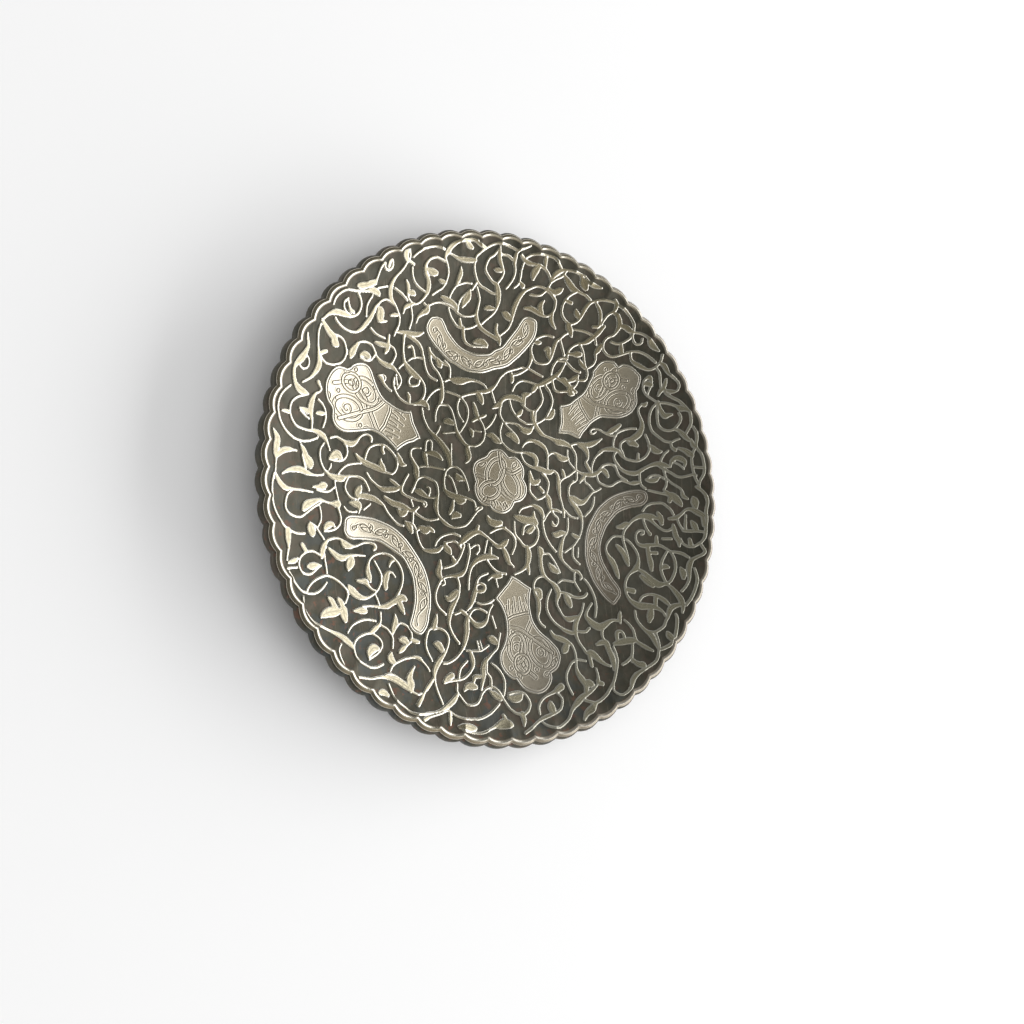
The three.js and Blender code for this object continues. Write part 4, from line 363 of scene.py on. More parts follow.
def surface_points(field, lift):
    """Points of the sheet. One just outside moves by its distance / steepness^2 along the slope."""
    slope_y, slope_x = np.gradient(field.inside, field.step)
    steep = np.maximum(slope_x**2 + slope_y**2, 0.25)
    pull = np.where(field.inside < 0, np.clip(-field.inside / steep, 0, 1.5 * field.step), 0.0)
    x = field.x + pull * slope_x
    y = field.y + pull * slope_y
    return np.stack([x.ravel(), y.ravel(), (copper_height(x, y) + lift).ravel()], -1)


def cells_and_hem(field):
    """Cells that touch the shape with the first corner inside of each, and edges that only one cell has."""
    index = np.arange(field.x.size).reshape(field.x.shape)
    corners = np.stack([index[:-1, :-1], index[:-1, 1:], index[1:, 1:], index[1:, :-1]], -1).reshape(-1, 4)
    within = (field.inside >= 0).ravel()[corners]
    kept = within.any(1)
    corners, within = corners[kept], within[kept]
    first = corners[np.arange(len(corners)), within.argmax(1)]
    edges = np.concatenate([corners[:, [k, (k + 1) % 4]] for k in range(4)])
    low, high = np.sort(edges, 1).astype(np.int64).T
    _, where, count = np.unique(low * field.x.size + high, return_inverse=True, return_counts=True)
    hem = count[where] == 1
    return corners, first, edges[hem], np.concatenate([first] * 4)[hem]


def sheet_piece(name, points, faces, hem, values):
    """One piece: its faces, and a wall below each edge of its hem."""
    used = np.unique(faces)
    hem_points = np.unique(hem)
    upper = np.zeros(len(points), np.int64)
    lower = np.zeros(len(points), np.int64)
    upper[used] = np.arange(len(used))
    lower[hem_points] = len(used) + np.arange(len(hem_points))
    start, end = hem.T
    walls = np.stack([upper[end], upper[start], lower[start], lower[end]], -1)
    foot = points[hem_points] - [0, 0, SHEET_WALL]
    every = np.concatenate([used, hem_points])
    own_values = {label: array.ravel()[every] for label, array in values.items()}
    return make_object(name, np.vstack([points[used], foot]), np.vstack([upper[faces], walls]), own_values)


def cut_sheet(field, lift, values, owners, names):
    """Pieces of a sheet lifted over the copper. A cell goes to the owner of its first corner inside."""
    points = surface_points(field, lift)
    faces, first, hem, hem_first = cells_and_hem(field)
    owners = owners.ravel()
    made = []
    for number, name in enumerate(names):
        mine = owners[first] == number
        mine_hem = owners[hem_first] == number
        made.append(sheet_piece(name, points, faces[mine], hem[mine_hem], values))
    return made


# %% [markdown]
# ## The cartouches
#
# Seven silver plates are let into the wall: a medallion with six lobes, three drops, three crescents.
# An outline could be traced as one smooth curve, but these have corners where the silversmith's shears
# turned. So each outline is written as runs between its corners: a run is rounded, and its ends stay sharp.

# %% Outlines of the cartouches
CARTOUCHES = {
    "centre_medallion": [
        [(-5.85, 10.9), (-5.1, 11.9), (-4, 12.85), (-2.5, 13.4), (-0.3, 13.5), (1.4, 12.7), (2.5, 11.55),
         (3.2, 10.9)],
        [(3.2, 10.9), (4.5, 11.1), (6, 10.9), (7.3, 10.1), (8.6, 8.6), (9.4, 6.9), (9.6, 5.4), (9.4, 4),
         (9.05, 2.85)],
        [(9.05, 2.85), (9.9, 1.55), (10.35, 0.25), (10.4, -1.05), (10.1, -2.5), (9.3, -3.8), (8.2, -4.75),
         (6.9, -5.3), (5.1, -5.75)],
        [(5.1, -5.75), (4.6, -6.8), (3.8, -7.9), (2.7, -8.8), (1.4, -9.45), (-0.3, -9.8), (-1.8, -9.55),
         (-3.4, -9), (-4.55, -8.25), (-5.2, -7.25)],
        [(-5.2, -7.25), (-6.6, -7.15), (-8.1, -6.7), (-9.55, -5.65), (-10.5, -4.2), (-11.05, -2.5),
         (-11.2, -1.05), (-11.1, 0.05), (-10.65, 1.35)],
        [(-10.65, 1.35), (-11.2, 3.2), (-11.6, 4.9), (-11.5, 6.35), (-10.85, 7.85), (-9.75, 8.95),
         (-8.25, 9.8), (-6.8, 10.35), (-5.85, 10.9)],
    ],
    "drop_cartouche_left": [
        [(-64.1, 22.6), (-64.75, 23.5), (-65.75, 24.75), (-66.4, 26.75), (-66.55, 28.5), (-66.4, 30.5),
         (-65.75, 32.25), (-64.6, 34.25), (-63.25, 35.6), (-61.75, 36.3), (-60, 36.3), (-58.6, 36.05)],
        [(-58.6, 36.05), (-57.5, 36.6), (-56.6, 37.5), (-55, 38.3), (-53, 38.6), (-51.25, 38.25),
         (-50, 37.4), (-49.1, 36), (-48.25, 34), (-47.25, 31.75), (-46, 29.5), (-44.5, 27.75),
         (-42.25, 26.4), (-40, 25.25), (-37.5, 24.5), (-34.4, 24.5)],
        [(-34.4, 24.5), (-34, 23.5), (-33.4, 20.75), (-32.5, 18.75), (-31.5, 16.75), (-30.9, 15.1)],
        [(-30.9, 15.1), (-32, 14.9), (-33.5, 14), (-35.75, 13.25), (-38, 11.9), (-39.9, 10.4)],
        [(-39.9, 10.4), (-41, 11.25), (-42.25, 12.5), (-43.75, 13.75), (-45.5, 15), (-47.5, 16),
         (-50, 16.55), (-52.5, 16.1), (-55.5, 15.6), (-58.5, 15.2), (-60.75, 15.55), (-62.5, 16.5),
         (-63.6, 18), (-64, 19.75), (-63.9, 21.5), (-64.1, 22.6)],
    ],
    "drop_cartouche_right": [
        [(49.95, 47.1), (48.5, 48.5), (47.25, 48.95), (45.5, 49.05), (43.5, 48.75), (41.75, 47.6),
         (40.5, 46.1), (39.4, 44.75), (39.25, 43.25), (38.6, 41.75), (37.75, 40.25), (36.5, 37.75),
         (35, 36), (33, 34.5), (31.25, 33.25), (30, 32.25), (27.75, 31.5), (25.75, 31.25)],
        [(25.75, 31.25), (25.5, 30), (25.6, 25), (24.9, 22.5), (24.6, 20.6)],
        [(24.6, 20.6), (26.75, 20.45), (28.75, 20.45), (30.25, 20.1), (32, 19.4), (33.5, 19.05),
         (34.25, 19.4)],
        [(34.25, 19.4), (35.5, 21.25), (37, 22.75), (38.5, 24.5), (39.75, 25.5), (41.75, 26.75),
         (43.25, 27.4), (45.5, 27.4), (48, 27.4), (50.25, 27.4), (52, 27.75), (54, 28.5), (56, 29.75),
         (57.25, 31.25), (58, 32.5), (58.4, 34), (58.25, 35.75), (58, 38)],
        [(58, 38), (58.9, 39.5), (59.5, 42), (59.4, 43.75), (58.5, 44.9), (57.75, 45.5), (56.5, 46.6),
         (55, 47.5), (53.25, 48), (51.5, 48), (49.95, 47.1)],
    ],
    "drop_cartouche_low": [
        [(2.43, -31.4), (5.1, -32.7), (8, -34.6), (10.3, -36), (10.3, -36.9)],
        [(10.3, -36.9), (9.86, -38.3), (9.4, -41.4), (9.6, -44.3), (10.1, -47.1), (11.4, -49.7),
         (13.1, -51.7), (15.7, -53.9), (17.7, -56), (19, -57.7), (19.6, -59.9), (19.3, -61.7),
         (18.3, -63.7), (16.9, -65), (14.9, -66)],
        [(14.9, -66), (15, -67.4), (14.3, -69.1), (13.1, -70.6), (11.4, -71.9), (9.1, -72.6), (6.9, -72.6),
         (4.3, -71.7), (2.6, -70.6), (1.4, -69.1), (0.4, -67.4)],
        [(0.4, -67.4), (-1.1, -67.1), (-2.9, -65.7), (-4.1, -64), (-4.9, -62), (-4.9, -59.7), (-4.3, -57.7),
         (-3.1, -56), (-2, -54), (-1.1, -51.1), (-0.9, -48.6), (-1.1, -46), (-1.9, -43.4), (-2.9, -41.4),
         (-4.1, -40), (-4.4, -39.1)],
        [(-4.4, -39.1), (-3.4, -38), (-1.1, -35.7), (0.9, -33.7), (2.43, -31.4)],
    ],
    "crescent_cartouche_top": [
        [(-25.2, 57.9), (-27.2, 57.4), (-28.6, 55.6), (-29.2, 53.4), (-28.6, 51.4), (-27.2, 49.4),
         (-25.2, 47.4), (-22.9, 45.4), (-20.6, 43.6), (-18.9, 42.7), (-16.9, 41.9), (-14.9, 40.9),
         (-12.1, 40.1), (-9.2, 40), (-6.4, 40.1), (-3.5, 41), (-1.5, 41.8), (1.4, 42.5), (4.2, 43.6),
         (6.5, 45.4), (8.8, 47.4), (10.8, 49.4), (12.8, 51.6), (14.5, 53.9), (15.5, 56.2), (15.8, 59.1),
         (15.4, 60.8), (13.9, 61.8), (11.6, 62.2), (9.9, 61.6), (8.5, 59.9), (7.1, 57.6), (5.4, 55.4),
         (3.6, 53.1), (1.4, 50.5), (-1.5, 49.1), (-3.5, 47.6), (-6.4, 47.1), (-9.2, 46.9), (-12.1, 47.4),
         (-14.9, 48.5), (-16.9, 49.9), (-18.9, 51.9), (-20.4, 53.6), (-21.5, 55.6), (-22.9, 57.4),
         (-25.2, 57.9)],
    ],
    "crescent_cartouche_left": [
        [(-60.4, -16.1), (-60, -13.3), (-58.9, -12.1), (-57.4, -11.7), (-54.6, -11.7), (-50.3, -12.1),
         (-47.4, -12.9), (-44.6, -13.9), (-41.8, -15.3), (-39.2, -17.3), (-36.9, -19.6), (-34.6, -22.7),
         (-32.4, -26.1), (-30.9, -29), (-29.8, -32.4), (-29.2, -35.9), (-29.1, -39), (-29.5, -42.5),
         (-30.1, -44.4), (-30.6, -46.6), (-31.5, -48.6), (-33.2, -50.5), (-34.9, -50.8), (-36.9, -49.8),
         (-38.1, -48.1), (-38.1, -46.6), (-37.2, -44.4), (-36.4, -42), (-35.7, -39), (-35.7, -34.7),
         (-36.2, -31.3), (-37.5, -28.4), (-39.2, -25.6), (-41.7, -23.7), (-44.6, -21.9), (-47.4, -20.4),
         (-50.3, -19.9), (-54.6, -19.7), (-57.4, -19.7), (-59.4, -19), (-60.4, -17.3), (-60.4, -16.1)],
    ],
    "crescent_cartouche_right": [
        [(59.1, 0.7), (60.9, 0), (61.9, -1.6), (61.7, -3.5), (60.3, -5.1), (58.3, -6), (54.9, -6.5),
         (52, -7.2), (49.1, -8.5), (47.1, -10.2), (45.4, -12), (43.7, -14), (42.3, -16.6), (41.2, -19),
         (40.5, -21.9), (40.8, -24.9), (41.9, -28), (43.7, -31.3), (45.1, -33.6), (46.6, -35.6),
         (47.4, -37.6), (47.1, -39.6), (45.7, -41.3), (44.3, -42.6), (43, -42.7), (40.8, -41), (39.1, -39),
         (37.1, -36.1), (35.6, -33.3), (34.6, -30.4), (33.8, -27.6), (33.4, -24.7), (33.5, -21.9),
         (33.8, -19), (34.5, -16.1), (35.6, -13.3), (37.6, -10.1), (39.1, -7.9), (40.8, -6), (43, -4.2),
         (44.9, -2.9), (47.7, -1.5), (50.6, -0.5), (53.4, 0.2), (56.3, 0.6), (59.1, 0.7)],
    ],
}
OUTLINE_STEPS = 5
cartouche_loops = {
    name: np.vstack([rounded(run, OUTLINE_STEPS)[:-1] for run in runs]) for name, runs in CARTOUCHES.items()
}
print("points in each outline:", {name: len(loop) for name, loop in cartouche_loops.items()})

# %% [markdown]
# ## The engraving on the cartouches
#
# A burin cuts lines into the silver and leaves a groove with a raised burr beside it; the material colours
# the groove dark and paints a highlight on the burr. Bump in a material would do from afar, but real
# grooves also catch the light close by, so the lines are made as curves first and cut into the plates
# below. The drops and the medallion carry straps and loops that cross each other, and a fan of short cuts.
# A crescent carries a winding stem with a leaf in each bend.


# %% Curves of the burin
def ellipse(middle_x, middle_y, radius_x, radius_y, turn=0.0, start=0.0, end=360.0):
    """Arc of an ellipse from one angle to another, its long axis turned by an angle in degrees."""
    a = np.radians(np.linspace(start, end, 40))
    x, y = radius_x * np.cos(a), radius_y * np.sin(a)
    c, s = math.cos(math.radians(turn)), math.sin(math.radians(turn))
    return np.stack([middle_x + c * x - s * y, middle_y + s * x + c * y], -1)


def leaf(root, angle, length, width, bend):
    """Closed pointed leaf: its half width is width / 2 * sin(pi t^0.8), its middle bends by bend * t^2."""
    t = np.linspace(0, 1, 14)
    half = width / 2 * np.sin(np.pi * t**0.8)
    side = bend * t**2
    one_side = np.stack([t * length, side + half], -1)
    other_side = np.stack([t * length, side - half], -1)[::-1]
    c, s = math.cos(angle), math.sin(angle)
    return np.concatenate([one_side, other_side]) @ np.array([[c, s], [-s, c]]) + root


def curl(middle, radius, start, turns=1.3, hand=1):
    """Spiral that winds in to its middle: its radius is radius * sqrt(1 - 0.93 t)."""
    t = np.linspace(0, 1, 26)
    a = math.radians(start) + hand * 2 * math.pi * turns * t
    r = radius * np.sqrt(1 - 0.93 * t)
    return np.stack([middle[0] + r * np.cos(a), middle[1] + r * np.sin(a)], -1)


print("a leaf has", len(leaf((0, 0), 0, 3, 1, 0)), "points and a curl", len(curl((0, 0), 1, 0)))

# %% Lines of a drop
STRAP_STEPS = 8
# An oval is its middle, its two radii and its turn. A leaf is its root, angle and length.
DROP_OVAL = (28.2, 4.2, 5.2, 3.7, 12)
DROP_LEAVES = [
    (34.0, 6.9, 2.3, 3.2),
    (35.0, -6.0, 3.4, 2.8),
    (20.6, -7.9, 0.3, 3.0),
    (18.5, 6.2, 0.6, 3.2),
    (36.4, 3.2, 1.9, 2.6),
]
DROP_DOTS = [(33.6, 0.9), (32.0, 9.6), (21.8, 7.0), (19.2, -4.4), (31.0, -8.6)]
FAN_CUTS = 9
FAN_GAP = 1.35
FAN_REACH = (3.3, 4.9, 2.7, 5.3)


def drop_lines():
    """Lines of a drop, with the tip of its neck at (0, 0) and its axis along +X, 38 mm long.

    Each is a curve and half the width of the strap that it stands for, or 0 for a single cut. A later
    strap passes over an earlier one.
    """
    lines = [
        (rounded([(15.5, 5.5), (20, 1.5), (25, -2.6), (31, -3.8), (36, -0.5)], STRAP_STEPS), 0.62),
        (ellipse(*DROP_OVAL), 0.6),
        (ellipse(24.8, -4.3, 5.0, 3.3, -16), 0.6),
        (rounded([(16.5, -7.5), (19, -1.5), (23.5, 3.0), (29.5, 8.8)], STRAP_STEPS), 0.62),
        (ellipse(30.6, -4.0, 3.3, 2.9), 0.5),
        (ellipse(*DROP_OVAL, 200, 330), 0.6),
        (curl((28.4, 4.4), 2.0, 40), 0),
        (curl((24.6, -4.3), 1.8, 200, hand=-1), 0),
        (ellipse(30.6, -4.0, 1.1, 1.1), 0),
    ]
    lines += [(leaf((x, y), angle, length, 1.5, 0.3), 0) for x, y, angle, length in DROP_LEAVES]
    lines += [(ellipse(x, y, 0.6, 0.6), 0) for x, y in DROP_DOTS]
    lines.append((np.array([(15.2, -7.6), (13.9, -2.6), (13.8, 2.4), (14.9, 6.6)]), 0.45))
    for k in range(FAN_CUTS):
        v = FAN_GAP * (k - FAN_CUTS // 2)
        reach = FAN_REACH[k % len(FAN_REACH)]
        cut = [(13.1, v), (13.1 - 0.5 * reach, v * 0.93), (13.1 - reach, v * 0.84 + 0.25)]
        lines.append((np.array(cut), 0))
    return lines


print("lines on a drop:", len(drop_lines()))

# %% Placing a drop's lines
# Tip of the neck, middle of the drop, and -1 where the pattern is mirrored.
DROP_FRAMES = {
    "drop_cartouche_left": ((-30.9, 15.1), (-56.5, 27.0), 1),
    "drop_cartouche_right": ((24.6, 20.6), (48.5, 37.5), -1),
    "drop_cartouche_low": ((2.43, -31.4), (7.7, -61.5), 1),
}


def unit(vector):
    """The vector divided by its length."""
    return vector / np.linalg.norm(vector)


def in_frame(lines, tip, middle, hand):
    """Lines moved so that their +X runs from a drop's tip to its middle, mirrored where hand is -1."""
    ahead = unit(np.subtract(middle, tip))
    side = hand * np.array([-ahead[1], ahead[0]])
    return [(np.array(tip) + line[:, :1] * ahead + line[:, 1:] * side, half) for line, half in lines]


engraved = {}
for name, (tip, middle, hand) in DROP_FRAMES.items():
    engraved[name] = in_frame(drop_lines(), tip, middle, hand)
    print(name, "runs from", tip)

# %% Lines of a crescent
WAVE_LENGTH = 12.0
WAVE_HEIGHT = 1.3
CRESCENT_MIDDLES = {
    "crescent_cartouche_top": [
        (-25.5, 53.5), (-23, 49), (-18.5, 45.5), (-13, 43.6), (-8, 43.3), (-3, 44.3), (2, 46.8), (6, 50.5),
        (9.5, 54.8), (11.8, 58.8),
    ],
    "crescent_cartouche_left": [
        (-57, -15.7), (-51, -16), (-45.5, -17.6), (-41, -20.5), (-37, -24.7), (-34, -29.8), (-32.5, -35),
        (-32.3, -40), (-33.5, -44.5), (-35, -47.8),
    ],
    "crescent_cartouche_right": [
        (58.5, -2.6), (52.5, -4), (46.5, -7), (41.5, -11.5), (38.3, -17), (37, -23), (38.2, -29),
        (41, -34.5), (44, -39.3),
    ],
}


def crescent_lines(points):
    """Lines of a crescent: a stem, middle + height * sin(2 pi s / wave length) to its side, with leaves.

    Each bend of the stem has a leaf, a vein in it, and a curl on the way to the next.
    """
    middle = rounded(points, 10)
    travelled = np.concatenate([[0], np.cumsum(np.hypot(*np.diff(middle, axis=0).T))])
    phase = 2 * math.pi * travelled / WAVE_LENGTH
    ahead = np.gradient(middle, axis=0)
    ahead /= np.hypot(*ahead.T)[:, None]
    side = np.stack([-ahead[:, 1], ahead[:, 0]], -1)
    stem = middle + WAVE_HEIGHT * np.sin(phase)[:, None] * side
    lines = [(stem, 0)]
    for bend in range(int(travelled[-1] / WAVE_LENGTH * 2)):
        at = int(np.argmin(np.abs(phase - math.pi * (bend + 0.5))))
        up = -np.sign(np.sin(phase[at]))
        along = math.atan2(ahead[at, 1], ahead[at, 0])
        root = stem[at] + 0.35 * up * side[at] - 0.6 * ahead[at]
        lines.append((leaf(root, along + up * 0.42, 4.6, 1.9, 0.4 * up), 0))
        lines.append((root + 0.7 * up * side[at] + np.outer(np.linspace(0.6, 2.8, 5), ahead[at]), 0))
        lines.append((curl(stem[at] + 1.5 * up * side[at] - 2.6 * ahead[at], 0.95, 90 * bend, 1.1, -up), 0))
    return lines


for name, points in CRESCENT_MIDDLES.items():
    engraved[name] = crescent_lines(points)
    print(name, "has", len(engraved[name]), "lines")

# %% Lines of the medallion
MEDALLION_OVAL = (-2.4, 5.0, 5.0, 3.1, 62)
MEDALLION_LEAVES = [
    (-9.4, 6.9, 0.3, 3.4),
    (6.4, 8.6, 3.8, 2.8),
    (-7.9, -5.6, 0.7, 2.6),
    (0.4, -8.3, 1.3, 2.8),
    (-3.4, -7.6, 1.8, 2.8),
]
MEDALLION_CUTS = 5


def medallion_lines():
    """Crossing ovals and straps, with small leaves and a row of short cuts round them."""
    lines = [
        (rounded([(-9.8, 3.6), (-3.5, 1.4), (1.5, -3.6), (6.6, -4.6)], STRAP_STEPS), 0.55),
        (ellipse(*MEDALLION_OVAL), 0.6),
        (ellipse(3.4, 1.0, 5.2, 3.0, 118), 0.6),
        (ellipse(-4.8, -1.6, 4.0, 2.9, 20), 0.6),
        (rounded([(-0.6, 12.6), (0.4, 6.4), (4.4, 4.8), (9.0, 7.0)], STRAP_STEPS), 0.5),
        (ellipse(*MEDALLION_OVAL, 200, 300), 0.6),
    ]
    lines += [(leaf((x, y), angle, length, 1.3, 0.2), 0) for x, y, angle, length in MEDALLION_LEAVES]
    for k in range(MEDALLION_CUTS):
        cut = [(-2.6 + 1.3 * k, -5.4 - 0.35 * k), (-1.9 + 1.3 * k, -6.7 - 0.3 * k)]
        lines.append((np.array(cut), 0))
    return lines


engraved["centre_medallion"] = medallion_lines()
print("lines on the medallion:", len(engraved["centre_medallion"]))


# %% Distance to the lines
def curve_distance(x, y, curve, reach):
    """Distance from each point of a grid to a curve, up to a reach: the least over the curve's spans."""
    nearest = np.full(x.shape, reach)
    step = x[0, 1] - x[0, 0]

    def near(low, high, start):
        first = max(int((low - reach - start) / step), 0)
        last = max(int((high + reach - start) / step) + 2, 0)
        return slice(first, last)

    for (ax, ay), (bx, by) in zip(curve, curve[1:]):
        place = near(min(ay, by), max(ay, by), y[0, 0]), near(min(ax, bx), max(ax, bx), x[0, 0])
        px, py = x[place] - ax, y[place] - ay
        dx, dy = bx - ax, by - ay
        t = np.clip((px * dx + py * dy) / max(dx * dx + dy * dy, 1e-9), 0, 1)
        nearest[place] = np.minimum(nearest[place], np.hypot(px - t * dx, py - t * dy))
    return nearest


def line_distance(x, y, lines, reach=1.2):
    """Distance to the nearest cut. A strap hides what it passes over, and shows its own two edges."""
    nearest = np.full(x.shape, reach)
    for curve, half in lines:
        away = curve_distance(x, y, curve, reach + half)
        nearest = np.where(away < half, half - away, np.minimum(nearest, away - half))
    return nearest


sample_x, sample_y = np.meshgrid(np.arange(3.0), np.arange(3.0))
sample_cut = (np.array([(1.0, 0.0), (1.0, 2.0)]), 0)
print("a point 1 mm from a cut lies at", line_distance(sample_x, sample_y, [sample_cut])[0, 0], "mm")


# %% [markdown]
# ## The plates
#
# A plate is a sheet cut to its cartouche, with a bevelled edge. A line follows the edge just inside, as a
# silversmith scribes it first, and every engraved line is a real groove with a burr. The grid is fine,
# about eight points to a millimetre, because a groove is only a third of a millimetre wide.

# %% Plates
PLATE_STEP = 0.13
PLATE_MARGIN = 0.6
EDGE_LINE = 0.85
EDGE_CLEAR = 0.35
GROOVE = 0.15
GROOVE_DEPTH = 0.11
BURR = 0.34
BURR_WIDTH = 0.13
BURR_HEIGHT = 0.05
BEVEL = 0.25


def build_plate(name, loop):
    """A plate: a bevel, less depth * exp(-(d / groove)^2) in each line, plus a burr beside it."""
    (low_x, low_y), (high_x, high_y) = loop.min(0) - PLATE_MARGIN, loop.max(0) + PLATE_MARGIN
    field = Field(low_x, low_y, high_x, high_y, PLATE_STEP)
    field.inside = edge_distance(field.x, field.y, loop)
    depth = np.clip(field.inside, 0, None)
    ornament = line_distance(field.x, field.y, engraved[name])
    ornament = np.where(depth > EDGE_LINE + EDGE_CLEAR, ornament, OUTSIDE)
    gap = np.minimum(np.abs(depth - EDGE_LINE), ornament)
    cut = np.exp(-((gap / GROOVE) ** 2))
    burr = np.exp(-(((gap - BURR) / BURR_WIDTH) ** 2))
    bevel = PLATE_PROUD * (0.4 + 0.6 * smooth_step(0.0, BEVEL, depth)) - BURR_HEIGHT
    lift = bevel - GROOVE_DEPTH * cut + BURR_HEIGHT * burr
    values = {"inside": field.inside, "cut": cut, "burr": burr}
    return cut_sheet(field, lift, values, np.zeros(field.x.shape, int), [name + "_plate"])[0]


plates = {name: build_plate(name, loop) for name, loop in cartouche_loops.items()}
